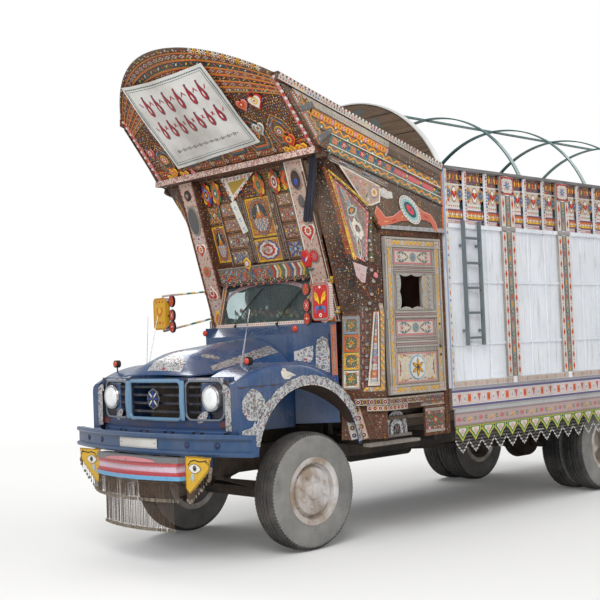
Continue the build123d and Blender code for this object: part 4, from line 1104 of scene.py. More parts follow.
# middle of the band under the arched edge, width, ground, design along it
PROW_BANDS = (
    (0.030, 0.050, UMBER, "dots"), (0.095, 0.070, BROWN, "eyes"), (0.175, 0.070, DARK_TEAL, "tulips"),
    (0.255, 0.070, linear(0.56, 0.25, 0.12), "eyes"), (0.335, 0.066, UMBER, "waves"),
    (0.410, 0.066, linear(0.50, 0.20, 0.11), "eyes"), (0.480, 0.050, TEAL, "dots"),
)
for drop, width, ground, design in PROW_BANDS:
    path = prow_arc(drop)
    prow.ribbon(path, [width * prow_gather(u) for u, v in path], ground, 0)
    for edge in (-0.5, 0.5):
        line = prow_arc(drop + edge * width)
        prow.ribbon(line, 0.010, OCHRE if edge > 0 else ORANGE, 2, 0.003)
    pitch = {"dots": 0.030, "eyes": 0.085, "tulips": 0.060, "waves": 0.050}[design]
    for u, v, turn, number in along(path, pitch):
        size = width * prow_gather(u)
        if design == "dots":
            prow.put(DOT, u, v, size * 0.26, (WHITE, RED, YELLOW)[number % 3], 1)
        elif design == "eyes":
            eye_mark(prow, u, v, size * 0.46, turn)
            for lift in (-0.26, 0.26):
                prow.put(DOT, u + 0.0425 * math.cos(turn), v + 0.0425 * math.sin(turn) + size * lift,
                         size * 0.09, (YELLOW, RED)[number % 2], 1)
        elif design == "tulips":
            tint = (RED, YELLOW, ORANGE, WHITE)[number % 4]
            prow.put(PETAL, u, v, (size * 0.30, size * 0.16), tint, 1, 0,
                     turn + (0.8 if number % 2 else -0.8))
            prow.put(DOT, u + 0.02, v - size * 0.26, size * 0.09, GREEN, 1)
        else:
            prow.put(PETAL, u, v, (size * 0.42, size * 0.12), (ORANGE, YELLOW)[number % 2], 1, 0,
                     turn + (0.5 if number % 2 else -0.5))
            prow.put(DOT, u, v + size * (0.28 if number % 2 else -0.28), size * 0.09,
                     (WHITE, SKY)[number % 2], 1)

# place across, height up the slope, half width and tint of each horseshoe arch under the bands
PROW_ARCHES = ((-0.83, 0.235, 0.115, RED), (-0.50, 0.27, 0.145, CRIMSON), (-0.15, 0.29, 0.150, RED),
               (0.21, 0.29, 0.150, CRIMSON), (0.54, 0.27, 0.140, RED), (0.84, 0.235, 0.115, CRIMSON))
for u, v, half, tint in PROW_ARCHES:
    for share, line_tint, step in ((1.28, OCHRE, 1), (1.16, UMBER, 2), (1.06, TEAL, 3), (0.92, ORANGE, 4),
                                   (0.80, UMBER, 5)):
        prow.put(ARCH, u, v, (half * share, half * 1.15 * share), line_tint, step)
    prow.put(ARCH, u, v, (half * 0.72, half * 0.84), linear(0.30, 0.24, 0.16), 6)
    medallion(prow, u, v - half * 0.06, half * 0.46, (YELLOW, tint, WHITE, RED), 10, 8, 0.003)
    for side in (-1, 1):
        prow.put(PETAL, u + side * half * 0.52, v + half * 0.62, (half * 0.24, half * 0.10), SKY, 8, 0,
                 -0.7 * side)
        prow.put(PETAL, u + side * half * 0.30, v - half * 0.72, (half * 0.20, half * 0.09), GREEN, 8, 0,
                 0.4 * side)
    for angle_step in range(11):
        angle = math.pi * (-0.15 + 1.3 * angle_step / 10)
        prow.put(DOT, u + math.cos(angle) * half * 1.10, v + math.sin(angle) * half * 1.16, half * 0.05,
                 WHITE, 6)
for u in [step * 0.0265 - 1.06 for step in range(81)]:
    v = 0.115
    roof = prow_height(u) - 0.53 * prow_gather(u)
    while v < roof:
        if all(((u - a) / (half * 1.12)) ** 2 + ((v - b) / (half * 1.3)) ** 2 > 1
               for a, b, half, tint in PROW_ARCHES):
            prow.put(PETAL, u + prow.chance.uniform(-0.006, 0.006), v + prow.chance.uniform(-0.006, 0.006),
                     (0.0105, 0.0055), prow.chance.choice((ORANGE, RED, YELLOW, WHITE, GREEN, OCHRE, SKY)),
                     1, 0, prow.chance.uniform(0, 3.1))
        v += 0.026


def red_panels(sheet, wide, tall):
    """Red blocks in yellow frames, with a white flower between each two."""
    for u, v, _, _ in along(midline(wide, tall), 0.21):
        sheet.put(SQUARE, u, v, (0.068, tall * 0.40), OCHRE, 1)
        sheet.put(SQUARE, u, v, (0.061, tall * 0.31), linear(0.55, 0.12, 0.09), 2)
        for leaf in range(3):
            sheet.put(PETAL, u + (leaf - 1) * 0.036, v, (0.014, 0.008), (YELLOW, WHITE, YELLOW)[leaf], 3, 0,
                      0.6)
        flower(sheet, u + 0.105, v, tall * 0.34, (WHITE, RED, YELLOW), 6, 2)


strip(prow, (-1.085, 0.062), (1.085, 0.062), 0.085, linear(0.25, 0.20, 0.15), red_panels, ORANGE)
for side in (-1, 1):
    edge = [(side * 1.092, v) for v in (0.0, 0.18, 0.36, 0.54, 0.72)]
    prow.ribbon(edge if side > 0 else edge[::-1], 0.036, PINK, 3, 0.008)
    for u, v, _, number in along(edge, 0.034):
        prow.put(DISC, u + side * 0.012, v, 0.017, (WHITE, PINK, WHITE, RED)[number % 4], 10, 0.003)
prow.lay("prow_painting", prow_surface, "truck", "crown_board", painted_work)

# Garland and rim of the prow: tin flowers and folded strip in enamel,
# nailed one beside the other along the arched edge.
rim = Inlay(0.004, seed=11)
rim.ribbon(prow_arc(0.012, 72, 1.100), 0.030, linear(0.34, 0.27, 0.22), 0, 0.010)
for u, v, turn, number in along(prow_arc(0.016, 72, 1.090), 0.046):
    if 0.46 < u < 1.02:
        flower(rim, u, v, 0.030, ((WHITE, YELLOW, RED), (WHITE, RED, WHITE),
                                  (YELLOW, RED, WHITE))[number % 3], 6, 10,
               turn, 0.004)
    elif number % 2:
        rim.put(DOT, u, v, 0.008, (WHITE, RED, YELLOW, WHITE)[number // 2 % 4], 10, 0.002)
rim.lay("prow_garland", prow_surface, "truck", "embossed_steel", plain_work)

# Tin drops: hearts and flowers cut from tin and painted.
# They hang on pins, a little clear of the prow's boards.
drops = Inlay(0.020, seed=3)
# across, up the slope, half width, colours, whether it has a toothed crest
PROW_DROPS = (
    (0.797, 0.560, 0.082, (RED, WHITE, YELLOW, RED), True),
    (0.640, 0.565, 0.066, (PINK, ORANGE, RED, WHITE), False),
    (0.650, 0.310, 0.070, (WHITE, LACE, WHITE, RED), False),
    (0.905, 0.130, 0.072, (ORANGE, RED, YELLOW, COBALT), True),
    (0.985, 0.018, 0.070, (YELLOW, ORANGE, YELLOW, COBALT), False),
    (0.845, 0.022, 0.072, (YELLOW, OCHRE, YELLOW, RED), False),
    (-0.800, 0.075, 0.060, (YELLOW, ORANGE, YELLOW, COBALT), False),
    (-0.870, 0.015, 0.062, (YELLOW, OCHRE, YELLOW, RED), False),
    (-0.660, 0.020, 0.066, (YELLOW, ORANGE, YELLOW, COBALT), False),
    (-0.955, 0.330, 0.062, (PINK, RED, WHITE, ORANGE), False),
)
for u, v, half, tints, crest in PROW_DROPS:
    heart_plate(drops, u, v, half, tints, 0, 0.006, 0, crest)
drops.shape([(-0.60, -0.035), (-0.46, -0.035), (-0.53, 0.080)], PINK, 0, 0.005)
drops.put(DISC, -0.53, 0.005, 0.026, RED, 7)
drops.put(DISC, -0.53, 0.005, 0.012, YELLOW, 8)
drops.lay("prow_drops", prow_surface, "truck", "embossed_steel", plain_work)

# Banner: a painted cotton sheet, tied by its corners over the prow and slack in its upper edge.
# Red drops, small dark flowers and thin teal lines are brushed on it.
BANNER_CORNERS = ((-0.689, 0.111), (0.577, 0.184), (0.522, 1.054), (-0.689, 1.064))
BANNER_ACROSS = 72
BANNER_UP = 54


def banner_place(across, up):
    """A point of the banner, which bows clear of the prow and sags a little between its ties."""
    low_left, low_right, top_right, top_left = (Vector(c) for c in BANNER_CORNERS)
    u, v = low_left.lerp(low_right, across).lerp(top_left.lerp(top_right, across), up)
    sag = 4 * across * (1 - across)
    v -= 0.016 * sag * up
    clear = 0.030 + 0.012 * math.sin(math.pi * up) + 0.005 * math.sin(9 * across + 5 * up) * sag
    clear += 0.004 * math.sin(23 * across - 8
                              * up) * (1 - sag * 0.5) + 0.014 * (1 - sag) * (up > 0.5) * (up - 0.5)
    return prow_surface(u, v, clear)


points, faces = [], []
for row in range(BANNER_UP + 1):
    for column in range(BANNER_ACROSS + 1):
        points.append(banner_place(column / BANNER_ACROSS, row / BANNER_UP))
for row in range(BANNER_UP):
    for column in range(BANNER_ACROSS):
        corner = row * (BANNER_ACROSS + 1) + column
        faces.append((corner, corner + 1, corner + BANNER_ACROSS + 2, corner + BANNER_ACROSS + 1))
banner = plain_mesh("banner_cloth", points, faces, smooth=True)
banner_cotton, tree, shader = new_material("banner_cotton", Sheen_Weight=0.2)
where = add_node(tree, "TexCoord").outputs["Object"]
soil = add_node(tree, "TexNoise", Vector=where, Scale=3.2, Detail=5.0)
cotton_tone = two_tones(tree, soil.outputs[0], 0.32, (0.78, 0.76, 0.73), 0.62, (0.92, 0.91, 0.89))
worn(tree, shader, cotton_tone.outputs[0], 0.08, 0.02, 0.86, 0.0004, linear(0.58, 0.53, 0.47),
     linear(0.6, 0.55, 0.5))
banner.data.materials.append(banner_cotton)
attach(banner, "truck")


def banner_surface(u, v, height):
    """A place on the banner, for what is painted on it."""
    first = Vector(banner_place(u, v))
    along_u = Vector(banner_place(u + 0.004, v)) - first
    along_v = Vector(banner_place(u, v + 0.004)) - first
    return tuple(first + along_u.cross(along_v).normalized() * height)


paint = Inlay(0.0012, seed=5)
PAISLEY = [(0, -1.0), (0.50, -0.82), (0.72, -0.35), (0.55, 0.10), (0.22, 0.45), (0.10, 0.85), (0.34, 1.05),
           (-0.12, 1.0), (-0.30, 0.55), (-0.52, 0.10), (-0.66, -0.40), (-0.44, -0.85)]
for row_v, size, count in ((0.74, 0.120, 6), (0.45, 0.105, 7)):
    for number in range(count):
        u = 0.10 + 0.80 * (number + 0.5) / count
        for shift, tint, step in ((0.006, TEAL, 0), (0.0, linear(0.66, 0.10, 0.20), 1)):
            paint.put(PAISLEY, u + shift, row_v - shift, (0.040, size), tint, step)
        paint.put(PETAL, u + 0.002, row_v - size * 0.32, (size * 0.34, 0.012), WHITE, 2, 0, math.pi / 2)
        for side in (-1, 1):
            paint.put(PETAL, u + side * 0.056, row_v + size * 0.25, (size * 0.30, 0.008),
                      linear(0.66, 0.10, 0.20), 1, 0, math.pi / 2 - side * 0.5)
for number in range(11):
    u = 0.13 + 0.74 * (number + 0.5) / 11
    flower(paint, u, 0.185, 0.022, (UMBER, WHITE, UMBER), 5, 1, math.pi / 2)
    paint.put(PETAL, u + 0.034, 0.185, (0.012, 0.006), UMBER, 1)
for inset, width in ((0.030, 0.007), (0.050, 0.0035)):
    wavy = 0.004 if inset == 0.030 else 0.0
    top = [(inset + (1 - 2 * inset) * k / 120,
            1 - inset * 1.3 + wavy * math.sin(k * math.pi / 2)) for k in range(121)]
    low = [(inset + (1 - 2 * inset) * k / 60, inset * 1.3) for k in range(61)]
    left = [(inset, inset * 1.3 + (1 - 2.6 * inset) * k / 30) for k in range(31)]
    right = [(1 - u, v) for u, v in left]
    for path in (top, low, left[::-1], right):
        paint.ribbon(path, width, TEAL, 1)
banner_painting = paint.lay("banner_painting", banner_surface, "truck", "white_panel", plain_work)

# Cornice: the ledge between the prow and the face, a planed board limewashed and speckled,
# nailed along the foot of the prow.
cornice = Inlay(0.0015, seed=9)
PALE_PINK = linear(0.80, 0.66, 0.63)
strip(cornice, (-1.15, 0.0275), (1.15, 0.0275), 0.055, PALE_PINK,
      speckled(0.017, (WHITE, CRIMSON, BROWN, WHITE), 0.42))
cornice.lay("cornice_painting", lambda u, v, h: (u, at(-0.020 - h), 3.395 + v), "truck", "crown_board",
            painted_work)

# Face of the crown: boards set back under the cornice, which lean as the whole front does.
# They are painted in columns of draped arches and laced squares, with a moulded strip between columns.
LEAN = 0.284553
LEAN_SLOPE = math.hypot(1, LEAN)
LEAN_BACK, LEAN_UP = 0.100, 3.250
FACE_SET_BACK = 0.090


def lean_at(up):
    """How far behind the front axle the leaning front of the crown lies at this height."""
    return LEAN_BACK + (LEAN_UP - up) * LEAN


def leaning(set_back):
    """The leaning front as a surface of across and height, this far behind its foremost plane."""
    def surface(u, v, height):
        return (u, at(lean_at(v) + set_back - height / LEAN_SLOPE), v - height * LEAN / LEAN_SLOPE)
    return surface


def draped_arch(sheet, wide, tall):
    """A tall pointed oval with two dark drapes over a small vase and a chequered floor."""
    middle, half, reach = wide / 2, wide * 0.40, tall * 0.455
    scatter(sheet, wide, tall, 0.022, (OCHRE, BROWN, YELLOW, RED), 1, 0.26)
    egg = []
    for step in range(40):
        angle = 2 * math.pi * step / 40
        low = max(0.0, -math.sin(angle))
        egg.append((math.cos(angle) * (1 - 0.34 * low ** 1.5), math.sin(angle)))
    for share, tint, step in ((1.06, BROWN, 2), (1.00, LACE, 3), (0.93, CRIMSON, 4),
                              (0.86, linear(0.70, 0.43, 0.17), 5)):
        sheet.put(egg, middle, tall / 2, (half * share, reach * share), tint, step)
    for row in range(8):
        v = tall / 2 - reach * (0.10 + 0.088 * row)
        span = half * 0.80 * math.sqrt(max(0.0, 1 - ((tall / 2 - v) / (reach * 0.90)) ** 2))
        count = max(1, int(span * 2 / (half * 0.20)))
        for column in range(count):
            shift = half * 0.05 if row % 2 else -half * 0.05
            u = middle + (column - (count - 1) / 2) * half * 0.20 + shift
            sheet.put(DIAMOND, u, v, (half * 0.085, reach * 0.050), WHITE if (row + column) % 2 else SKY, 7)
    for side in (-1, 1):
        drape = [(0.04, 0.80), (0.30, 0.74), (0.58, 0.56), (0.74, 0.30), (0.76, 0.00), (0.62, -0.10),
                 (0.44, 0.02), (0.30, 0.26), (0.14, 0.40)]
        sheet.shape([(middle + side * half * x, tall / 2 + reach * y) for x, y in drape], DARK_TEAL, 7)
    sheet.put(PETAL, middle, tall / 2 + reach * 0.46, (reach * 0.30, half * 0.13), WHITE, 8, 0, math.pi / 2)
    sheet.put(DISC, middle, tall / 2 + reach * 0.08, (half * 0.20, reach * 0.14), ORANGE, 8)
    sheet.put(DISC, middle, tall / 2 + reach * 0.20, (half * 0.11, reach * 0.09), YELLOW, 9)
    sheet.around(20, DOT, middle, tall / 2, (half * 1.13, reach * 1.04), wide * 0.014, (YELLOW, WHITE), 5)


def laced(tints, petals=6):
    """A design of a flower in a ring of small leaves, on a ground like lace."""
    def draw(sheet, wide, tall):
        scatter(sheet, wide, tall, 0.013, (WHITE, UMBER, LACE, OCHRE), 1, 0.30)
        least = min(wide, tall)
        for side in (-1, 1):
            for up in (-1, 1):
                sheet.put(PETAL, wide / 2 + side * wide * 0.27, tall / 2 + up * tall * 0.27,
                          (least * 0.20, least * 0.085), tints[0], 2, 0, side * up * 0.7)
            sheet.put(ring(8), wide / 2 + side * wide * 0.34, tall / 2, least * 0.085, tints[1], 2)
        sheet.around(16, DOT, wide / 2, tall / 2, (wide * 0.24, tall * 0.33), least * 0.035,
                     (tints[0], WHITE), 2)
        flower(sheet, wide / 2, tall / 2, least * 0.26, (tints[0], tints[2], tints[1]), petals, 3)
        frame_lines(sheet, wide, tall, least * 0.06, least * 0.06, UMBER, 2)
    return draw


def medallion_design(tints=(COBALT, WHITE, RED, OCHRE)):
    """A large oval boss on a busy ground."""
    def draw(sheet, wide, tall):
        scatter(sheet, wide, tall, 0.022, (YELLOW, RED, BROWN, WHITE), 1, 0.22)
        for share, tint, step in ((0.44, tints[0], 2), (0.38, tints[1], 3), (0.28, tints[2], 4),
                                  (0.18, tints[1], 5)):
            sheet.put(ring(20, 10, 0.12), wide / 2, tall / 2, (wide * share, tall * share), tint, step)
        flower(sheet, wide / 2, tall / 2, min(wide, tall) * 0.18, (tints[2], tints[3], tints[2]), 6, 6)
    return draw


FACE_ORANGE = linear(0.72, 0.44, 0.17)
FACE_LACE = linear(0.52, 0.49, 0.45)
face = Inlay(0.0015, seed=21)
field(face, oblong(-0.652, 3.165, 0.652, 3.392), linear(0.30, 0.20, 0.13),
      speckled(0.024, (OCHRE, ORANGE, COBALT, YELLOW, CRIMSON), 0.30))
# left and right edge, foot and head, ground, design
FACE_FIELDS = (
    (-0.650, -0.455, 2.600, 2.950, FACE_ORANGE, draped_arch),
    (-0.650, -0.455, 2.960, 3.155, linear(0.48, 0.27, 0.13),
     laced((OCHRE, GREEN, WHITE))),
    (-0.445, -0.165, 3.020, 3.155, FACE_LACE, laced((ORANGE, WHITE, YELLOW))),
    (-0.445, -0.165, 2.875, 3.005, FACE_LACE, laced((RED, ORANGE, WHITE), 8)),
    (-0.445, -0.165, 2.715, 2.860, FACE_LACE, laced((CRIMSON, WHITE, RED))),
    (-0.445, -0.165, 2.560, 2.700, FACE_LACE, laced((COBALT, WHITE, SKY), 8)),
    (-0.072, 0.272, 2.790, 3.155, FACE_ORANGE, draped_arch),
    (-0.072, 0.272, 2.560, 2.775, FACE_ORANGE, medallion_design()),
    (0.365, 0.565, 3.040, 3.155, linear(0.60, 0.38, 0.18), laced((WHITE, OCHRE, RED))),
    (0.365, 0.565, 2.895, 3.025, FACE_LACE, laced((RED, WHITE, ORANGE), 8)),
    (0.365, 0.565, 2.745, 2.880, FACE_LACE, laced((CRIMSON, YELLOW, WHITE))),
    (0.365, 0.565, 2.560, 2.730, FACE_LACE, laced((COBALT, SKY, WHITE), 8)),
    (0.577, 0.650, 2.560, 3.155, linear(0.55, 0.40, 0.20), flowers_design(0.07)),
)
for left, right, low, high, ground, design in FACE_FIELDS:
    field(face, oblong(left, low, right, high), ground, design, (YELLOW if ground == FACE_ORANGE else OCHRE))
for u in (-0.450, -0.160, -0.075, 0.276, 0.360, 0.571):
    face.ribbon([(u, 2.555), (u, 3.16)], 0.012, linear(0.42, 0.40, 0.42), 8, 0.004)
    for spot, v, _, _ in along([(u, 2.56), (u, 3.15)], 0.018):
        face.put(DOT, spot, v, 0.0035, WHITE, 13)
face.lay("face_painting", leaning(FACE_SET_BACK), "truck", "crown_board", painted_work)

# Battens of the face: two narrow strips between the columns, like lengths of flat chain,
# whose pale links and dots are cut from tin and nailed on.
battens = Inlay(0.0012, seed=22)
for left in (-0.155, 0.280):
    for row in range(40):
        v = 2.572 + row * 0.0158
        for side in (0, 1):
            battens.put(PETAL, left + 0.019 + side * 0.037, v + side * 0.008, (0.014, 0.0038),
                        linear(0.62, 0.58, 0.52), 0, 0, 0.5 if side else -0.5)
            battens.put(DOT, left + 0.019 + side * 0.037, v + 0.008 + side * 0.008, 0.004,
                        linear(0.36, 0.33, 0.30), 0)
battens.lay("face_battens", leaning(FACE_SET_BACK - 0.016), "truck", "embossed_steel", plain_work)

# Rosettes, pendant board and tags under the cornice: cut tin, painted and nailed on the face,
# with small brass bells hung among them.
rosettes = Inlay(0.0205, seed=23)
ROSETTE_UP = 3.262
# across, colours of the four petals, then from the rim to the middle
ROSETTES = (
    (-0.570, (ORANGE, YELLOW, RED, COBALT), (RED, SKY, CRIMSON, YELLOW)),
    (-0.430, (RED, YELLOW, ORANGE, GREEN), (ORANGE, LACE, GREEN, WHITE)),
    (0.199, (ORANGE, GREEN, RED, YELLOW), (ORANGE, OCHRE, GREEN, LACE)),
    (0.415, (ORANGE, GREEN, RED, YELLOW), (RED, WHITE, CRIMSON, WHITE)),
    (0.580, (ORANGE, YELLOW, GREEN, RED), (ORANGE, OCHRE, RED, GREEN)),
)
for u, outer, inner in ROSETTES:
    rosettes.around(8, DISC, u, ROSETTE_UP, (0.048, 0.078), (0.027, 0.036), outer, 0, 0.003)
    for share, tint, step in ((0.84, inner[0], 4), (0.60, inner[1], 5), (0.42, inner[2], 6),
                              (0.20, inner[3], 7)):
        rosettes.put(ROUND, u, ROSETTE_UP, (0.060 * share, 0.094 * share), tint, step)
    rosettes.around(12, DOT, u, ROSETTE_UP, (0.043, 0.068), 0.004, (YELLOW,), 6)
PENDANT = ((-0.314, 3.383), (0.165, 3.383), (-0.225, 3.150))
rosettes.shape([(u, v) for u, v in PENDANT], WHITE, -2)
rosettes.shape([(-0.225, 3.335), (0.060, 3.345), (-0.190, 3.215)], linear(0.72, 0.58, 0.22), -1)
for start, end in (((-0.295, 3.362), (0.120, 3.362)), ((0.105, 3.345), (-0.200, 3.172)),
                   ((-0.225, 3.180), (-0.292, 3.350))):
    for u, v, turn, number in along([start, end], 0.050):
        if number % 2:
            rosettes.put(DISC, u, v, 0.018, (ORANGE, RED)[number // 2 % 2], 0)
            rosettes.put(DISC, u, v, 0.010, WHITE, 1)
            rosettes.put(DOT, u, v, 0.005, RED, 2)
        else:
            rosettes.put(PETAL, u, v, (0.016, 0.009), (GREEN, RED)[number // 2 % 2], 0, 0, turn + 0.6)
            rosettes.put(DOT, u + 0.012, v + 0.009, 0.004, SKY, 0)
            rosettes.put(DOT, u - 0.012, v - 0.009, 0.004, SKY, 0)
rosettes.shape([(-0.258, 3.145), (-0.172, 3.165), (-0.098, 2.865), (-0.178, 2.845)], WHITE, 0, 0.002)
for v in (3.10, 2.99, 2.90):
    u = -0.215 + (3.145 - v) * 0.28
    rosettes.put(PETAL, u, v, (0.022, 0.010), SKY, 3, 0, 0.4)
    rosettes.put(PETAL, u + 0.010, v - 0.020, (0.018, 0.008), SKY, 3, 0, -0.5)
for u, v, _ in ((0.318, 3.06, 0), (0.270, 2.98, 1), (0.120, 2.745, 2), (0.055, 2.68, 3), (-0.02, 2.735, 4),
                     (-0.135, 2.79, 5), (0.305, 2.86, 6), (-0.20, 2.66, 7)):
    rosettes.put(DROP, u, v, (0.020, 0.024), linear(0.66, 0.60, 0.50), 2, 0.010)
rosettes.lay("face_rosettes", leaning(FACE_SET_BACK), "truck", "embossed_steel", plain_work)

# Valance over the windscreen: beaten sheet, painted in chevrons, curls and sprays.
# Its foot is cut in scallops with white edges, over black semicircles of painted shadow, hung with copper
# drops, and it is nailed under the face.
valance = Inlay(0.0015, seed=24)
field(valance, oblong(-0.655, 2.385, 0.655, 2.535), linear(0.45, 0.41, 0.36), None, None)
field(valance, oblong(-0.650, 2.398, 0.10, 2.520), None,
      speckled(0.017, (ORANGE, WHITE, RED, SKY, GREEN, LACE), 0.34))
VALANCE_CURLS = random.Random(241)
for number in range(34):
    u, v = VALANCE_CURLS.uniform(-0.63, 0.09), VALANCE_CURLS.uniform(2.412, 2.512)
    valance.put(PETAL, u, v, (0.034, 0.010), (ORANGE, RED, GREEN, ORANGE, SKY, LACE)[number % 6], 2, 0,
                VALANCE_CURLS.uniform(0, math.pi))
    valance.put(DISC, u + 0.020, v, 0.010, (RED, ORANGE, COBALT)[number % 3], 3)
CHEVRON_TINTS = (RED, WHITE, YELLOW, GREEN, WHITE, ORANGE, COBALT, WHITE)
for number in range(12):
    u = 0.125 + number * 0.040
    tint = CHEVRON_TINTS[number % len(CHEVRON_TINTS)]
    valance.shape([(u, 2.400), (u + 0.026, 2.400), (u + 0.052, 2.458), (u + 0.026, 2.458)], tint, 1)
    valance.shape([(u + 0.026, 2.462), (u + 0.052, 2.462), (u + 0.026, 2.520), (u, 2.520)], tint, 1)
valance.ribbon([(-0.655, 2.530), (0.655, 2.530)], 0.014, LACE, 3, 0.004)
for number in range(24):
    u = -0.655 + (number + 0.5) * 1.31 / 24
    half = 1.31 / 48
    scallop = [(u - half, 2.400)] + [
        (u + half * math.cos(t), 2.392 - 0.026 * math.sin(t))
        for t in (math.pi * (1 - k / 8) for k in range(9))
    ] + [(u + half, 2.400)]
    # The near-black semicircle under each scallop is painted shadow.
    valance.shape(scallop, linear(0.10, 0.09, 0.09), 1, 0.003)
    valance.ribbon(scallop[1:-1], 0.006, LACE, 2, 0.004)
    valance.put(DOT, u, 2.392, 0.009, (RED, YELLOW, WHITE)[number % 3], 5)
    if number % 2:
        valance.put(DISC, u, 2.362, 0.017, linear(0.70, 0.38, 0.28), 2, 0.012)
valance.put(ring(30, 5, 0.16), -0.185, 2.560, (0.050, 0.062), YELLOW, 6, 0.006)
valance.put(DISC, -0.185, 2.560, (0.036, 0.043), RED, 8, 0.006)
valance.put(DISC, -0.185, 2.560, (0.028, 0.034), WHITE, 9, 0.010)
valance.lay("valance_painting", leaning(0.040), "truck", "embossed_steel", painted_work)

# Side boards: limed boards down each side of the windscreen, nailed to the leaning front.
# Hearts, flowers and small oval mirrors, cut from tin, are pinned along them; the mirrors' glass is a flat
# grey, a painted reflection.
boards = Inlay(0.0015, seed=25)
BOARD_MIDDLE = 0.774


def stud_flower(sheet, u, v, size, tints=(LACE, RED, WHITE)):
    """A domed flower in a pointed rim."""
    sheet.put(ring(24, 8, 0.16), u, v, size, tints[0], 2, 0.005)
    sheet.put(ROUND, u, v, size * 0.74, tints[1], 8)
    flower(sheet, u, v, size * 0.60, (tints[2], tints[0], tints[1]), 8, 9)


def ring_flower(sheet, u, v, size, tint=COBALT):
    """A ring of dots round a small boss."""
    sheet.put(ROUND, u, v, size, WHITE, 2)
    sheet.around(10, DOT, u, v, size * 0.76, size * 0.17, (tint,), 3)
    sheet.put(DISC, u, v, size * 0.45, ORANGE, 3)
    sheet.put(DOT, u, v, size * 0.22, tint, 4)


for side in (-1, 1):
    middle = side * BOARD_MIDDLE
    field(boards, oblong(middle - 0.113, 1.958, middle + 0.113, 3.390), linear(0.78, 0.67, 0.61),
          speckled(0.052, (CRIMSON, RED, BROWN, LACE), 0.16))
    for edge in (-0.107, 0.107):
        boards.ribbon([(middle + edge, 1.96), (middle + edge, 3.388)], 0.012, (WHITE if side > 0 else BROWN),
                      1, 0.003)
        for u, v, _, number in along([(middle + edge * 0.82, 1.98), (middle + edge * 0.82, 3.37)], 0.060):
            boards.put(PETAL, u, v, (0.011, 0.0065), (RED, CRIMSON, RED)[number % 3], 1, 0, math.pi / 2)
boards.put(ring(36, 6, 0.13), 0.672, 2.535, (0.062, 0.086), linear(0.80, 0.12, 0.10), 12, 0.012)
boards.put(PETAL, 0.658, 2.535, (0.044, 0.014), COBALT, 16, 0.014, 2.2)
boards.put(PETAL, 0.686, 2.535, (0.044, 0.014), WHITE, 16, 0.014, 0.9)
for place in (-1, 0, 1):
    boards.put(PETAL, 0.690 + place * 0.022, 2.438, (0.026, 0.010), TEAL, 11, 0.008, 0.3 * place)
# The small mirrors' glass is flat grey paint: a painted reflection.
MIRROR_REFLECTION_GREY = linear(0.36, 0.35, 0.35)
left_middle, right_middle = -BOARD_MIDDLE, BOARD_MIDDLE
boards.put(ROUND, left_middle, 3.270, 0.052, UMBER, 2, 0.010)
boards.put(DISC, left_middle, 3.270, 0.022, LACE, 12)
boards.put(ROUND, left_middle, 3.022, (0.088, 0.150), LACE, 2, 0.006)
boards.put(ROUND, left_middle, 3.022, (0.070, 0.128), MIRROR_REFLECTION_GREY, 9)
for side in (-1, 1):
    boards.put(PETAL, left_middle + side * 0.03, 3.158, (0.030, 0.010), LACE, 9, 0, 0.9 * side)
ring_flower(boards, left_middle, 2.848, 0.040)
heart_plate(boards, left_middle, 2.735, 0.078, (WHITE, RED, WHITE, YELLOW), 2, 0.006, 0, False)
stud_flower(boards, left_middle, 2.523, 0.062, (LACE, ORANGE, TEAL))
heart_plate(boards, left_middle, 2.300, 0.076, (WHITE, RED, WHITE, GREEN), 2, 0.006, math.pi, False)
ring_flower(boards, left_middle, 2.180, 0.038)
boards.put(DROP, left_middle, 2.035, (0.070, 0.080), YELLOW, 2, 0.006, math.pi)
boards.put(DROP, left_middle, 2.035, (0.046, 0.054), ORANGE, 8, 0, math.pi)
boards.put(ROUND, right_middle, 3.225, (0.070, 0.096), LACE, 2, 0.008)
boards.put(ROUND, right_middle, 3.225, (0.056, 0.080), UMBER, 11)
boards.put(DISC, right_middle, 3.205, (0.026, 0.034), COBALT, 12, 0.006)
boards.put(ROUND, right_middle, 3.035, (0.040, 0.058), MIRROR_REFLECTION_GREY, 2, 0.006)
ring_flower(boards, right_middle, 2.911, 0.046)
heart_plate(boards, right_middle, 2.765, 0.092, (WHITE, RED, WHITE, OCHRE), 2, 0.006, 0, False)
stud_flower(boards, right_middle, 2.551, 0.070, (LACE, RED, PINK))
for side in (-1, 1):
    boards.put(PETAL, right_middle + side * 0.05, 2.262, (0.058, 0.026), RED, 2, 0.004,
               math.pi / 2 - side * 0.5)
    boards.put(PETAL, right_middle + side * 0.05, 2.262, (0.040, 0.014), ORANGE, 7, 0,
               math.pi / 2 - side * 0.5)
boards.put(PETAL, right_middle, 2.250, (0.050, 0.022), GREEN, 3, 0, math.pi / 2)
ring_flower(boards, right_middle, 2.118, 0.052)
heart_plate(boards, right_middle, 2.005, 0.066, (ORANGE, OCHRE, UMBER, ORANGE), 2, 0.005, math.pi, False)
for side in (-1, 1):
    for v in (3.12, 2.94, 2.64, 2.44, 2.38, 2.20, 2.09):
        boards.put(DISC, side * BOARD_MIDDLE - 0.055 * side, v, 0.007, CRIMSON, 2, 0.002)
boards.lay("side_board_painting", leaning(0.0), "truck", "crown_board", plain_work)

# Cheeks of the crown: boards that slope back from the prow to the body.
# They are planks nailed to posts and painted in bands along their slope.
WAVE_GROUND = linear(0.42, 0.47, 0.41)
TEAL_GROUND = linear(0.27, 0.46, 0.44)
WEATHERED = linear(0.36, 0.29, 0.24)
LIMED = linear(0.70, 0.67, 0.63)


def cheek(proud):
    """The left cheek as a surface: back along it, height, and depth off it."""
    def surface(u, v, height):
        out = proud + height
        return (1.105 + 0.0545 * u + 0.9985 * out, at(-0.420 + 0.9985 * u - 0.0545 * out), v)
    return surface


def dotted_rows(rows, pitch=0.034, size=0.0085):
    """Rows of dots that change colour every few, on a limed ground."""
    def draw(sheet, wide, tall):
        for share, tints in rows:
            for u, v, _, number in along([(0.01, tall * share), (wide - 0.01, tall * share)], pitch):
                sheet.put(DOT, u, v, size, tints[number // 5 % len(tints)], 1)
    return draw


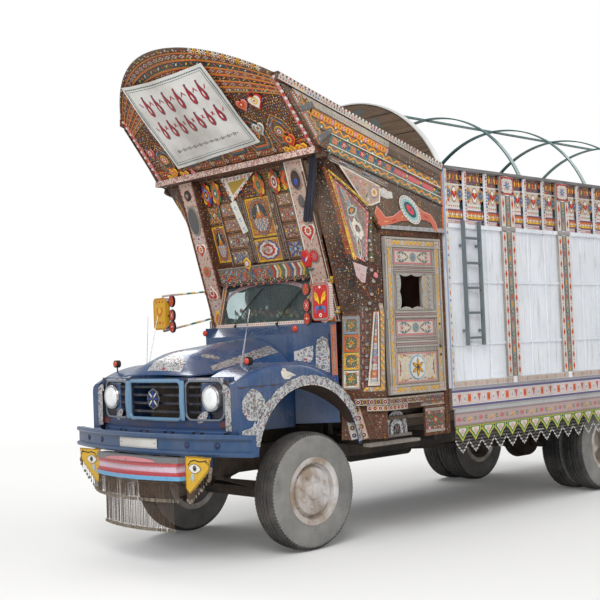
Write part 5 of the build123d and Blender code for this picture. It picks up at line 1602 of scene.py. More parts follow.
def teal_row(sheet, wide, tall):
    """Flowers by turns with small squares, and pink blocks at the rear."""
    for u, v, _, number in along([(0, tall / 2), (wide * 0.56, tall / 2)], 0.115):
        if number % 2:
            sheet.put(ring(12, 6, 0.2), u, v, tall * 0.38, RED, 1)
            flower(sheet, u, v, tall * 0.26, (WHITE, RED, WHITE), 5, 2)
        else:
            sheet.put(SQUARE, u, v, tall * 0.34, linear(0.80, 0.46, 0.30), 1)
            flower(sheet, u, v, tall * 0.30, (linear(0.92, 0.62, 0.42), TEAL, WHITE), 8, 2)
        sheet.put(DOT, u + 0.057, v, tall * 0.15, COBALT, 1)
        sheet.put(DOT, u + 0.057, v + tall * 0.30, tall * 0.09, YELLOW, 1)
    for number in range(3):
        u = wide * (0.63 + 0.135 * number)
        sheet.put(SQUARE, u, tall / 2, (wide * 0.056, tall * 0.36), linear(0.80, 0.36, 0.40), 1)
        for leaf in range(7):
            sheet.put(PETAL, u + (leaf - 3) * wide * 0.016, tall / 2, (tall * 0.26, tall * 0.08), PINK, 2, 0,
                      1.1)
        sheet.put(DOT, u + wide * 0.067, tall / 2, tall * 0.16, YELLOW, 1)


CHEEK_OUTLINE = [(0.030, 3.950), (0.425, 3.462), (0.515, 3.430), (0.590, 3.378), (1.140, 2.768),
                 (1.975, 2.768), (1.975, 3.345)]
cheeks = Inlay(0.0005, seed=31)
cheeks.shape(CHEEK_OUTLINE, WEATHERED, 0, 0.0130)
cheeks.level = 0.0140
# start and end as back along the cheek and height, width, ground, design, edge
CHEEK_BANDS = (
    ((0.150, 3.888), (1.280, 3.534), 0.056, LIMED,
     dotted_rows(((0.35, (RED, YELLOW, LIMED, GREEN)),), 0.03, 0.006), None),
    ((1.280, 3.534), (1.965, 3.322), 0.056, linear(0.44, 0.38, 0.34), None, None),
    ((0.345, 3.742), (1.250, 3.476), 0.074, linear(0.50, 0.30, 0.17),
     blocks_design(0.135, linear(0.86, 0.56, 0.20)), None),
    ((1.250, 3.476), (1.960, 3.268), 0.074, linear(0.33, 0.26, 0.22), None, None),
    ((0.400, 3.706), (1.900, 3.262), 0.014, linear(0.50, 0.16, 0.14), None, None),
    ((0.450, 3.651), (1.950, 3.204), 0.086, WAVE_GROUND, wave_design(0.105), None),
    ((0.565, 3.524), (1.905, 3.153), 0.088, TEAL_GROUND, teal_row, None),
    ((0.530, 3.446), (1.950, 3.058), 0.064, WAVE_GROUND,
     wave_design(0.095, linear(0.86, 0.48, 0.34), YELLOW), None),
    ((0.530, 3.372), (1.958, 2.984), 0.054, linear(0.36, 0.31, 0.29), None, None),
    ((0.560, 3.362), (1.250, 3.172), 0.036, LACE,
     dotted_rows(((0.3, (WHITE, COBALT, WHITE)), (0.7, (RED, WHITE, SKY))), 0.019, 0.0055), None),
)
for start, end, width, ground, design, edge in CHEEK_BANDS:
    strip(cheeks, start, end, width, ground, design, edge)
for start, end, width, tint in (
    ((0.560, 3.575), (1.945, 3.186), 0.011, WHITE), ((0.545, 3.480), (1.945, 3.096), 0.010, WHITE),
    ((0.450, 3.424), (1.958, 3.014), 0.018, linear(0.10, 0.07, 0.06)),
    ((0.545, 3.338), (1.220, 3.152), 0.009, LIMED),
    ((0.450, 3.604), (1.950, 3.158), 0.006, linear(0.33, 0.22, 0.17)),
    ((1.956, 3.315), (1.956, 2.800), 0.016, ORANGE),
):
    cheeks.ribbon([start, end], width, tint, 3, 0.004)
strip(cheeks, (0.150, 3.895), (0.452, 3.477), 0.046, LACE,
      dotted_rows(((0.5, (WHITE, RED, WHITE)),), 0.022, 0.007), ORANGE)
strip(cheeks, (0.235, 3.862), (0.468, 3.535), 0.052, WAVE_GROUND, wave_design(0.08), None)
strip(cheeks, (0.300, 3.840), (0.425, 3.665), 0.034, linear(0.55, 0.35, 0.20),
      dotted_rows(((0.5, (YELLOW, COBALT)),)), None)
for start, end in (((0.225, 3.745), (0.375, 3.800)), ((0.425, 3.500), (0.560, 3.592))):
    cheeks.ribbon([start, end], 0.055, linear(0.36, 0.38, 0.40), 5, 0.005)
    for spot in (start, end):
        cheeks.put(DISC, spot[0] * 0.97 + 0.014, spot[1], 0.007, LACE, 10, 0.003)

# Panel under the beam of the cheek: a thin white board nailed flat, with scrolls and a yellow boss
# painted on it, and a plain pale patch beside it.
cheeks.shape([(0.640, 3.314), (0.955, 2.965), (1.036, 2.972), (1.132, 3.006), (1.150, 3.140)],
             linear(0.72, 0.62, 0.56), 1, 0.003)
for path in ([(0.955, 2.972), (1.036, 2.978), (1.126, 3.010), (1.142, 3.136)],
             [(0.66, 3.300), (0.945, 2.985)], [(0.68, 3.296), (1.135, 3.146)]):
    cheeks.ribbon(path, 0.014, WHITE, 4, 0.002)
for u, v, size, tint in ((0.735, 3.238, 0.024, PINK), (0.792, 3.212, 0.020, TEAL),
                         (0.90, 3.178, 0.036, PINK),
                         (0.86, 3.115, 0.020, COBALT), (0.93, 3.085, 0.022, RED),
                         (0.985, 3.022, 0.024, WHITE)):
    flower(cheeks, u, v, size, (tint, WHITE, tint), 7, 5)
for u, v, turn in ((0.82, 3.165, 0.4), (0.845, 3.205, -0.5), (0.905, 3.130, -0.9), (0.96, 3.155, 0.3),
                   (0.97, 3.055, 1.1)):
    cheeks.put(PETAL, u, v, (0.026, 0.010), (ORANGE, GREEN, COBALT, OCHRE, PINK)[int(abs(turn) * 10) % 5], 5,
               0, turn)
medallion(cheeks, 1.058, 3.088, 0.050, (SKY, WHITE, YELLOW, OCHRE), 14, 6, 0.003)
cheeks.around(14, DOT, 1.058, 3.088, 0.044, 0.005, (RED,), 11)
cheeks.shape([(1.152, 3.132), (1.185, 3.140), (1.235, 3.112), (1.290, 3.108), (1.302, 3.050), (1.225, 3.040),
              (1.150, 3.062)],
             linear(0.84, 0.83, 0.81), 1, 0.003)
cheeks.lay_both("cheek_painting", cheek(0.028), "truck", "crown_board", painted_work)

# Scrolled arm of the cheek: a board sawn to a curl and painted a faded coral.
# An oval tin plate is nailed over it, and a flowered strip runs along its foot.
arms = Inlay(0.0150, seed=32)
CORAL = linear(0.80, 0.42, 0.33)
ARM_TOP = [(1.060, 2.900), (1.085, 2.965), (1.135, 2.925), (1.190, 2.870), (1.290, 2.885), (1.400, 2.950),
           (1.500, 3.015), (1.590, 3.000), (1.690, 2.945), (1.780, 2.925), (1.850, 2.850), (1.880, 2.772)]
ARM_LOW = [(1.835, 2.772), (1.795, 2.840), (1.725, 2.868), (1.600, 2.868), (1.480, 2.850), (1.400, 2.850),
           (1.260, 2.812), (1.130, 2.790), (1.090, 2.815), (1.105, 2.835)]
arms.shape(ARM_TOP + ARM_LOW, CORAL, 0, 0.006)
arms.ribbon(ARM_TOP, 0.010, linear(0.88, 0.60, 0.52), 6)
for u, v, turn in ((1.20, 2.835, 0.1), (1.30, 2.850, 0.4), (1.42, 2.895, 0.6), (1.62, 2.940, -0.3),
                   (1.72, 2.900, -0.4)):
    arms.put(PETAL, u, v, (0.036, 0.010), (linear(0.93, 0.62, 0.36), RED)[int(u * 10) % 2], 6, 0, turn)
strip(arms, (1.140, 2.787), (1.975, 2.779), 0.036, linear(0.66, 0.68, 0.68),
      flowers_design(0.085, ((RED, WHITE, COBALT),
      (COBALT, WHITE, RED), (TEAL, WHITE, RED)), ORANGE), None, 0.004)
OVAL_TURN = math.radians(-42)
for wide, tall, tint, step in ((0.165, 0.095, linear(0.86, 0.85, 0.82), 10),
                               (0.128, 0.068, linear(0.60, 0.75, 0.74), 11),
                               (0.100, 0.050, TEAL, 12), (0.062, 0.028, linear(0.86, 0.28, 0.30), 13)):
    arms.put(ring(28, 14, 0.10 if step == 12 else 0.0), 1.507, 2.955, (wide, tall), tint, step, 0, OVAL_TURN)
for dot in range(26):
    angle = 2 * math.pi * dot / 26
    x, y = math.cos(angle) * 0.147, math.sin(angle) * 0.081
    arms.put(DOT, 1.507 + x * math.cos(OVAL_TURN) - y * math.sin(OVAL_TURN),
             2.955 + x * math.sin(OVAL_TURN) + y * math.cos(OVAL_TURN), 0.006,
             (CRIMSON, COBALT, TEAL)[dot % 3], 12)
arms.put(DOT, 1.507, 2.955, 0.010, COBALT, 14)
arms.lay_both("arm_board", cheek(0.028), "truck", "crown_board", plain_work)

# Rail of the cheek: the limed top board, which covers the ends of the planks.
# Dots are brushed along it, and a ribbed tin edge is nailed over it.
rails = Inlay(0.0012, seed=33)
strip(rails, (0.006, 4.003), (1.975, 3.387), 0.060, linear(0.76, 0.74, 0.71),
      dotted_rows(((0.30, (RED, YELLOW, COBALT, ORANGE, GREEN)), (0.52, (LIMED, RED, LIMED))), 0.031, 0.008),
      None)
for u, v, turn, number in along([(0.004, 4.026), (1.976, 3.409)], 0.021):
    rails.put(SQUARE, u, v, (0.0075, 0.0085), (linear(0.22, 0.18, 0.18), WHITE, CRIMSON, WHITE)[number % 4],
              1, 0.002, turn)
rails.lay_both("cheek_rail", cheek(0.050), "truck", "crown_board", plain_work)

# Slanting sides of the cab: boards from the crown's side boards back to the doors.
# They are painted dark, with narrow columns, a leaf panel in a pink border and two bright battens.
# height, inner corner and outer corner as across and behind
SLANT_SECTIONS = ((0.900, (0.905, 0.415), (1.215, 0.690)), (2.020, (0.905, 0.480), (1.215, 0.690)),
                  (2.720, (0.905, 0.290), (1.215, 0.690)), (3.380, (0.905, 0.110), (1.150, 0.130)))


def slant_section(up):
    """The slanting side's inner and outer corners at one height."""
    for (low, *low_ends), (high, *high_ends) in zip(SLANT_SECTIONS, SLANT_SECTIONS[1:]):
        if up <= high or high == SLANT_SECTIONS[-1][0]:
            share = (up - low) / (high - low)
            return [Vector(a).lerp(Vector(b), share) for a, b in zip(low_ends, high_ends)]
    return None


def slant(u, v, height):
    """The slanting side as a surface: metres out from its inner edge, height, and depth off it."""
    inner, outer = slant_section(v)
    run = (outer - inner).normalized()
    spot = inner + run * u + Vector((run.y, -run.x)) * height
    return (spot.x, at(spot.y), v)


def slant_width(up):
    """How wide the slanting side is at one height."""
    inner, outer = slant_section(up)
    return (outer - inner).length


def curled_leaves(tints=(YELLOW, ORANGE), pitch=0.060, every=5):
    """Curled leaves in a row, with a white flower now and then."""
    def draw(sheet, wide, tall):
        for u, v, _, number in along(midline(wide, tall), pitch):
            if number % every == every // 2:
                flower(sheet, u, v, tall * 0.46, (WHITE, RED, WHITE), 5, 1)
            else:
                sheet.put(PETAL, u, v + tall * 0.05, (pitch * 0.62, tall * 0.34), tints[0], 1, 0, 0.5)
                sheet.put(PETAL, u, v - tall * 0.08, (pitch * 0.38, tall * 0.12), tints[1], 2, 0, -0.5)
                sheet.put(DOT, u + pitch * 0.34, v + tall * 0.26, tall * 0.08, RED, 1)
    return draw


slants = Inlay(0.0015, seed=41)
slants.parts = 8
field(slants, ((0.02, 2.72), (slant_width(2.72) - 0.01, 2.72), (slant_width(3.36) - 0.01, 3.37),
               (0.02, 3.37)), UMBER, None)
field(slants, ((0.02, 2.04), (slant_width(2.04) - 0.01, 2.04), (slant_width(2.72) - 0.01, 2.72),
               (0.02, 2.72)), UMBER, None)
# left and right foot, left and right head as out from the inner edge and height, ground, design, border
POST_FIELDS = (
    (((0.100, 2.59), (0.158, 2.59), (0.138, 3.30), (0.080, 3.30)), linear(0.14, 0.09, 0.07), None, None),
    (((0.158, 2.55), (0.205, 2.55), (0.176, 3.30), (0.138, 3.30)), linear(0.50, 0.25, 0.11), "dots", None),
    (((0.212, 2.50), (0.240, 2.50), (0.200, 3.24), (0.180, 3.24)), YELLOW, "beads", None),
    (((0.240, 2.52), (0.318, 2.47), (0.440, 2.905), (0.202, 3.20)), linear(0.56, 0.50, 0.50), "leaves",
     PINK),
    (((0.350, 2.47), (0.385, 2.47), (0.470, 2.90), (0.445, 2.90)), linear(0.30, 0.34, 0.20), "beads", None),
    (((0.205, 2.30), (0.270, 2.29), (0.318, 2.43), (0.204, 2.48)), linear(0.74, 0.66, 0.66), "roses", None),
    (((0.110, 2.30), (0.170, 2.24), (0.200, 2.46), (0.115, 2.57)), linear(0.14, 0.09, 0.07), None, None),
    (((0.250, 2.18), (0.300, 2.12), (0.250, 2.28), (0.175, 2.40)), linear(0.16, 0.10, 0.08), "dots", None),
)
for corners, ground, design, border in POST_FIELDS:
    def draw(sheet, wide, tall, kind=design):
        if kind == "dots":
            scatter(sheet, wide, tall, 0.020, (ORANGE, RED, OCHRE, BROWN), 1, 0.30)
        elif kind == "beads":
            for u, v, turn, number in along([(wide / 2, 0), (wide / 2, tall)], 0.030):
                sheet.put(DOT, u, v, wide * 0.28, (RED, WHITE, GREEN, COBALT)[number % 4], 1)
        elif kind == "roses":
            for u, v in ((0.35, 0.70), (0.65, 0.45), (0.50, 0.22)):
                flower(sheet, wide * u, tall * v, wide * 0.17, (RED, WHITE, RED), 6, 1)
        elif kind == "leaves":
            scatter(sheet, wide, tall, 0.026, (RED, YELLOW, GREEN, WHITE), 1, 0.22)
            for u, v, size, turn, tint in ((0.30, 0.88, 0.060, 1.9, WHITE), (0.42, 0.74, 0.070, 1.0, TEAL),
                                           (0.66, 0.60, 0.070, 2.1, TEAL), (0.34, 0.42, 0.070, 1.9, WHITE),
                                           (0.52, 0.20, 0.085, 1.5, TEAL)):
                sheet.put(PETAL, wide * u, tall * v, (size * 1.35, size * 0.62), linear(0.84, 0.85, 0.80), 2,
                          0.003, turn)
                sheet.put(PETAL, wide * u, tall * v, (size * 1.05, size * 0.40),
                          tint if tint != WHITE else SKY, 6, 0, turn)
                sheet.put(PETAL, wide * u, tall * v, (size * 0.60, size * 0.22), linear(0.90, 0.58, 0.28), 7,
                          0, turn)
            sheet.put(ring(24, 6, 0.25), wide * 0.58, tall * 0.50, (wide * 0.30, tall * 0.16), WHITE, 8,
                      0.004)
            sheet.put(ROUND, wide * 0.58, tall * 0.50, (wide * 0.12, tall * 0.07), linear(0.40, 0.24, 0.26),
                      13)
            sheet.put(ROUND, wide * 0.58, tall * 0.50, (wide * 0.07, tall * 0.045), LACE, 14)
    field(slants, corners, ground, draw, border, 0.003)
PINK_LINE = [(0.205, 3.190), (0.300, 3.070), (0.430, 2.900), (0.325, 2.490)]
slants.ribbon(PINK_LINE, 0.018, PINK, 6, 0.003)
for u, v, _, number in along(PINK_LINE, 0.024):
    slants.put(DOT, u, v, 0.005, (CRIMSON, WHITE)[number % 2], 10)
for start, end, tint in (((0.190, 3.270), (0.450, 2.960), YELLOW),
                         ((0.200, 3.238), (0.440, 2.925), linear(0.30, 0.17, 0.13))):
    slants.ribbon([start, end], 0.020, tint, 5, 0.003)
    for u, v, turn, number in along([start, end], 0.035):
        slants.put(PETAL, u, v, (0.012, 0.005), (RED, WHITE, GREEN)[number % 3], 9, 0, turn)

# Lower boards of the slanting side: flowers on green, a row of small mirror discs whose glass is a painted
# reflection in pale grey, and a framed column, each on a thin board of its own, nailed beside the last.
field(slants, ((0.004, 1.345), (0.165, 1.345), (0.165, 2.000), (0.004, 2.000)), linear(0.40, 0.40, 0.30),
      None, LACE)
for row in range(4):
    field(slants, oblong(0.016, 1.360 + row * 0.160, 0.153, 1.512 + row * 0.160), linear(0.20, 0.36, 0.28),
          spray_design(((YELLOW, RED, ORANGE), (RED, YELLOW, WHITE), (ORANGE, RED, YELLOW)),
                       linear(0.25, 0.52, 0.34), BRIGHTS, 0.030), (WHITE, YELLOW, ORANGE, SKY)[row])
strip(slants, (0.197, 1.330), (0.197, 2.080), 0.056, linear(0.34, 0.30, 0.28), None, None)
# Each small mirror disc is a dark rim round pale grey paint, a painted reflection.
for number in range(7):
    v = 1.385 + number * 0.103
    slants.put(ROUND, 0.190, v, (0.021, 0.046), linear(0.42, 0.08, 0.12), 3, 0.006)
    slants.put(PETAL, 0.190, v, (0.032, 0.008), LACE, 10, 0, math.pi / 2)
    slants.put(ROUND, 0.222 + 0.010 * number / 7, v + 0.048, 0.023, linear(0.24, 0.21, 0.20), 3, 0.008)
    slants.put(ROUND, 0.222 + 0.010 * number / 7, v + 0.048, 0.014, linear(0.55, 0.54, 0.52), 12)
# More mirror discs higher up: dark rims round pale grey paint as painted reflection.
for u, v in ((0.350, 2.40), (0.345, 2.300), (0.305, 2.185), (0.330, 2.50), (0.270, 2.105), (0.395, 2.66),
             (0.385, 2.58)):
    slants.put(ROUND, u, v, 0.025, linear(0.26, 0.22, 0.21), 4, 0.007)
    slants.put(ROUND, u, v, 0.015, linear(0.58, 0.55, 0.52), 12)
slants.put(ROUND, 0.378, 2.352, (0.020, 0.026), PINK, 5, 0.010)
FRAMED = ((0.232, 1.370), (0.340, 1.370), (0.336, 2.030), (0.292, 2.030))
field(slants, FRAMED, linear(0.78, 0.52, 0.46), None, None, 0.003)
wide, tall = slants.within(FRAMED)
for number in range(10):
    v = tall * (0.07 + 0.093 * number)
    tint, ground = ((COBALT, WHITE), (YELLOW, ORANGE), (RED, WHITE), (TEAL, PINK), (RED, SKY))[number % 5]
    slants.put(SQUARE, wide / 2, v, (wide * 0.34, tall * 0.038), ground, 4)
    flower(slants, wide / 2, v, wide * 0.24, (tint, WHITE, tint), 6, 5)
slants.warp = None
for path in ([(0.240, 1.378), (0.296, 2.026)], [(0.332, 1.378), (0.330, 2.026)],
             [(0.236, 1.380), (0.336, 1.380)]):
    slants.ribbon(path, 0.014, WHITE, 4, 0.004)
for path in ([(0.262, 1.40), (0.304, 2.00)], [(0.315, 1.40), (0.322, 2.00)]):
    slants.ribbon(path, 0.008, (TEAL, COBALT)[path[0][0] > 0.3], 6)
strip(slants, (0.366, 1.335), (0.366, 2.100), 0.036, linear(0.60, 0.55, 0.48), curled_leaves(), None, 0.002)
strip(slants, (0.195, 1.342), (0.380, 1.342), 0.040, linear(0.60, 0.55, 0.48),
      curled_leaves((YELLOW, ORANGE), 0.05, 3), None, 0.003)
slants.lay_both("slant_painting", slant, "truck", "cab_wood", painted_work)

# Doors: framed and panelled in limed wood, with ribbed rails between the panels.
# Painted strips are nailed along the frame, and the panels are carved and painted.


def build_wood_group():
    """Long grain and a few splits in plain or limed wood, as a colour and a height."""
    group, given, made = group_sockets(
        "wood_grain",
        [("Vector", "Vector", (0, 0, 0)), ("Dark", "Color", (0.2, 0.2, 0.2, 1)),
         ("Pale", "Color", (0.5, 0.5, 0.5, 1)), ("Fineness", "Float", 60.0)],
        [("Color", "Color"), ("Height", "Float")],
    )
    bend = add_node(group, "TexNoise", Vector=given.outputs["Vector"], Scale=3.0, Detail=2.0)
    mixed = add_node(group, "Mix", {"data_type": "VECTOR"}, i0=0.06, i4=given.outputs["Vector"],
                     i5=bend.outputs["Color"])
    grain = add_node(group, "TexNoise", Vector=mixed.outputs[1], Scale=given.outputs["Fineness"],
                     Detail=5.0, Roughness=0.62)
    patches = add_node(group, "TexNoise", Vector=given.outputs["Vector"], Scale=1.7, Detail=3.0)
    both = add_node(group, "Mix", {"data_type": "FLOAT"}, i0=0.35, i2=grain.outputs[0],
                    i3=patches.outputs[0])
    span = add_node(group, "MapRange", Value=both.outputs[0], From_Min=0.36, From_Max=0.64)
    tone = mix_node(group, span.outputs[0], given.outputs["Dark"], given.outputs["Pale"])
    group.links.new(tone.outputs[2], made.inputs["Color"])
    group.links.new(grain.outputs[0], made.inputs["Height"])
    return group


WOOD_GRAIN = build_wood_group()


def build_wood(name, dark, pale, stretch=(1.0, 1.0, 0.07), dust=0.35, gloss=0.78, fineness=60.0):
    """Wood whose grain runs along the axis that is stretched."""
    made, tree, shader = new_material(name, Specular_IOR_Level=0.25)
    where = add_node(tree, "TexCoord").outputs["Object"]
    space = add_node(tree, "Mapping", Vector=where, Scale=stretch)
    grain = add_node(tree, "Group", {"node_tree": WOOD_GRAIN}, Vector=space.outputs[0], Fineness=fineness,
                     Dark=(*dark, 1), Pale=(*pale, 1))
    worn(tree, shader, grain.outputs["Color"], dust, 0.08, gloss, 0.0016, linear(0.50, 0.45, 0.40),
         linear(0.24, 0.19, 0.16))
    return made


door_wood = build_wood("door_wood", linear(0.43, 0.40, 0.38), linear(0.68, 0.66, 0.63))
finish_nodes(("left_door", "right_door"), door_wood)
DOOR_FACE = 1.245
DOOR_PANEL = 1.235


def outward(across):
    """An upright surface on the left side: behind the axle, height, and depth off it."""
    def surface(u, v, height):
        return (across + height, at(u), v)
    return surface


def door_ribs(sheet, low, high, left, right):
    """Rounded ribs along a rail of the door."""
    count = 3
    for rib in range(count):
        v = low + (high - low) * (rib + 0.5) / count
        sheet.ribbon([(left, v), (right, v)], (high - low) / count * 0.9,
                     (LIMED, linear(0.62, 0.52, 0.52))[rib % 2], 0, 0.006)


door_frame = Inlay(0.0012, seed=51)
STRIP_GROUND = linear(0.72, 0.66, 0.58)
for start, end, width, design in (
    ((0.762, 1.340), (0.762, 2.668), 0.046, curled_leaves()),
    ((1.425, 1.340), (1.425, 2.668), 0.046, curled_leaves()),
    ((0.800, 2.646), (1.388, 2.646), 0.044, curled_leaves()),
    ((0.800, 1.322), (1.388, 1.322), 0.046, curled_leaves()),
):
    strip(door_frame, start, end, width, STRIP_GROUND, design)
for low, high in ((0.712, 0.730), (1.466, 1.482), (0.790, 0.800), (1.392, 1.402)):
    door_frame.ribbon([((low + high) / 2, 1.285), ((low + high) / 2, 2.695)], high - low - 0.002, LIMED, 0,
                      0.005)
for v in (2.686, 2.612, 1.292, 1.356):
    door_frame.ribbon([(0.714, v), (1.480, v)], 0.016, LIMED, 0, 0.006)
for low, high in ((1.966, 2.030), (1.700, 1.758), (2.365, 2.398)):
    door_ribs(door_frame, low, high, 0.805, 1.388)
for u in (0.762, 1.425):
    for v in (2.646, 1.322):
        door_frame.put(SQUARE, u, v, 0.028, linear(0.80, 0.76, 0.72), 2)
        flower(door_frame, u, v, 0.022, (RED, WHITE, RED), 4, 3)

# Surround of the door's window: silvered sheet, cut in curves round an opening of its own
# and pinned to the frame, with a strip of leaves and a folded strip beside it.
WINDOW_BOX = (0.845, 1.345, 2.036, 2.372)


def cusped(box, depth, count=64):
    """A closed outline near a box, which swings in and out in cusps."""
    left, right, low, high = box
    spots = []
    for step in range(count):
        share = step / count * 4
        side, along_side = int(share), share % 1
        swing = depth * abs(math.sin(2 * math.pi * along_side)) ** 0.7
        if side == 0:
            spots.append((left + (right - left) * along_side, low + swing))
        elif side == 1:
            spots.append((right - swing, low + (high - low) * along_side))
        elif side == 2:
            spots.append((right - (right - left) * along_side, high - swing))
        else:
            spots.append((left + swing, high - (high - low) * along_side))
    return spots


def boxed(box, count=64):
    """The same box as a plain outline, with as many points."""
    return cusped(box, 0.0, count)


def surround(sheet, outer, inner, tint, step, rise):
    """A flat ring between two outlines, with a bevelled inner edge."""
    base = sheet.level + step * LAYER
    start, count = len(sheet.spots), len(outer)
    middle = [(a[0] + (b[0] - a[0]) * 0.12, a[1] + (b[1] - a[1]) * 0.12) for a, b in zip(inner, outer)]
    for row, height in ((outer, base), (outer, base + rise), (middle, base + rise), (inner, base)):
        sheet.add_row(row, height)
    for layer_row in range(3):
        for corner in range(count):
            after = (corner + 1) % count
            low, high = start + layer_row * count, start + (layer_row + 1) * count
            sheet.faces.append((low + corner, low + after, high + after, high + corner))
            sheet.tints.append(tint)


SILVER = linear(0.66, 0.65, 0.63)
surround(door_frame, boxed(WINDOW_BOX), cusped((0.886, 1.214, 2.046, 2.364), 0.022), SILVER, 0, 0.004)
for u, v, _, number in along([(0.860, 2.370), (0.860, 2.045), (1.300, 2.045), (1.300, 2.370),
                              (0.860, 2.370)], 0.020):
    door_frame.put(DOT, u, v, 0.005, (linear(0.40, 0.36, 0.32), WHITE)[number % 2], 5)
strip(door_frame, (1.236, 2.050), (1.236, 2.360), 0.028, STRIP_GROUND, curled_leaves((YELLOW, ORANGE), 0.05),
      None, 0.003)
for number in range(9):
    door_frame.put(PETAL, 1.285, 2.070 + 0.033 * number, (0.020, 0.010), (LACE, LIMED)[number % 2], 5, 0.002,
                   0.8 if number % 2 else -0.8)
for v, size in ((1.700, 0.016), (1.620, 0.012), (1.905, 0.010)):
    door_frame.put(ROUND, 1.425, v, size, linear(0.16, 0.13, 0.12), 3, 0.010)


def carved_panel(sheet, corners, middle=LACE):
    """A white panel in a pink border, with sprays to both sides of a silvery boss."""
    def draw(inner, wide, tall):
        inner.put(ROUND, wide / 2, tall / 2, tall * 0.30, middle, 2, 0.003)
        flower(inner, wide / 2, tall / 2, tall * 0.24, (SKY, LACE, GREEN), 8, 6)
        for side in (-1, 1):
            for up in (-1, 1):
                stem = [(wide / 2 + side * wide * (0.12 + 0.30 * t),
                         tall / 2 + up * tall * 0.34 * math.sin(2.6 * t)) for t in
                        (0, 0.25, 0.5, 0.75, 1.0)]
                inner.ribbon(stem, 0.006, GREEN, 2)
                for t in (0.25, 0.5, 0.75):
                    inner.put(PETAL, wide / 2 + side * wide * (0.12 + 0.30 * t),
                              tall / 2 + up * tall * (0.10 + 0.22 * t),
                              (0.018, 0.008), (RED, GREEN, COBALT)[int(t * 4) - 1], 3, 0, side * up * 0.8)
            flower(inner, wide / 2 + side * wide * 0.36, tall / 2, tall * 0.20, (PINK, RED, WHITE), 5, 3)
        for u, v, _, number in along([(0.02, tall * 0.09), (wide - 0.02, tall * 0.09)], 0.032):
            inner.put(DOT, u, v, 0.005, (RED, PINK)[number % 2], 2)
            inner.put(DOT, u, tall - v, 0.005, (PINK, RED)[number % 2], 2)
    field(sheet, corners, linear(0.80, 0.77, 0.72), draw, linear(0.78, 0.50, 0.52))


door_panels = Inlay(0.0012, seed=52)
carved_panel(door_panels, oblong(0.832, 2.452, 1.358, 2.590))
carved_panel(door_panels, oblong(0.832, 1.806, 1.358, 1.950))
door_ribs(door_panels, 2.402, 2.446, 0.806, 1.384)
door_ribs(door_panels, 1.762, 1.800, 0.806, 1.384)
for path in ([(0.806, 2.596), (0.806, 2.405)], [(1.384, 2.405), (1.384, 2.596)],
             [(1.384, 2.594), (0.806, 2.594)],
             [(0.806, 1.956), (0.806, 1.765)], [(1.384, 1.765), (1.384, 1.956)]):
    door_panels.ribbon(path, 0.010, LIMED, 1, 0.004)


def gold_star(sheet, wide, tall):
    """A six-petalled gold flower in a pale ring, with a spray in each corner."""
    scatter(sheet, wide, tall, 0.050, (PINK, WHITE, LACE), 1, 0.12)
    least = min(wide, tall)
    sheet.put(ring(36), wide / 2, tall / 2, least * 0.40, SKY, 2, 0.003)
    sheet.put(ring(36), wide / 2, tall / 2, least * 0.36, linear(0.86, 0.85, 0.82), 6)
    for petal in range(6):
        angle = math.pi * (petal / 3 + 1 / 6)
        for share, tint, step in ((1.0, UMBER, 7), (0.78, linear(0.86, 0.62, 0.16), 8)):
            sheet.put(PETAL, wide / 2 + math.cos(angle) * least * 0.165,
                      tall / 2 + math.sin(angle) * least * 0.165,
                      (least * 0.150 * share, least * 0.085 * share), tint, step, 0.002, angle)
    sheet.put(DISC, wide / 2, tall / 2, least * 0.045, UMBER, 9)
    for side in (-1, 1):
        for up in (-1, 1):
            u, v = wide / 2 + side * wide * 0.38, tall / 2 + up * tall * 0.38
            sheet.put(PETAL, u, v, (least * 0.095, least * 0.045), linear(0.86, 0.62, 0.16), 2, 0.002,
                      side * up * 0.8)
            sheet.put(PETAL, u - side * 0.03, v + up * 0.004, (least * 0.045, least * 0.022), UMBER, 5, 0,
                      side * up * 1.3)
            for t in range(5):
                sheet.put(PETAL, u - side * (0.055 + 0.030 * t),
                          tall / 2 + up * tall * (0.40 - 0.012 * t * t),
                          (0.016, 0.007), (RED, PINK, CRIMSON)[t % 3], 2, 0, side * up * (0.3 - 0.3 * t))
                sheet.put(PETAL, wide / 2 + side * wide * (0.42 - 0.004 * t), v - up * (0.05 + 0.020 * t),
                          (0.013, 0.007), (CRIMSON, RED)[t % 2], 2, 0, side * up * (1.3 + 0.2 * t))
    frame_lines(sheet, wide, tall, 0.010, 0.008, PINK, 2)


field(door_panels, oblong(0.812, 1.376, 1.378, 1.654), linear(0.82, 0.78, 0.70), gold_star, LIMED, 0.002)
for mirrored, hand in HANDS:
    door_frame.lay(f"{hand}_door_frame", outward(DOOR_FACE), f"{hand}_door", "door_board", plain_work,
                   mirrored)
    door_panels.lay(f"{hand}_door_panels", outward(DOOR_PANEL), f"{hand}_door", "door_board", plain_work,
                    mirrored)

# Load body, sides: folded steel sheet, painted white and streaked with rust, riveted between posts.
# A grey wooden cap lies along the top, and painted niches stand under it between short stakes.

SHEET_FACE = 1.222
STAKE_FACE = 1.245
POST_FACE = 1.250
CAP_FOOT_UP = 3.380


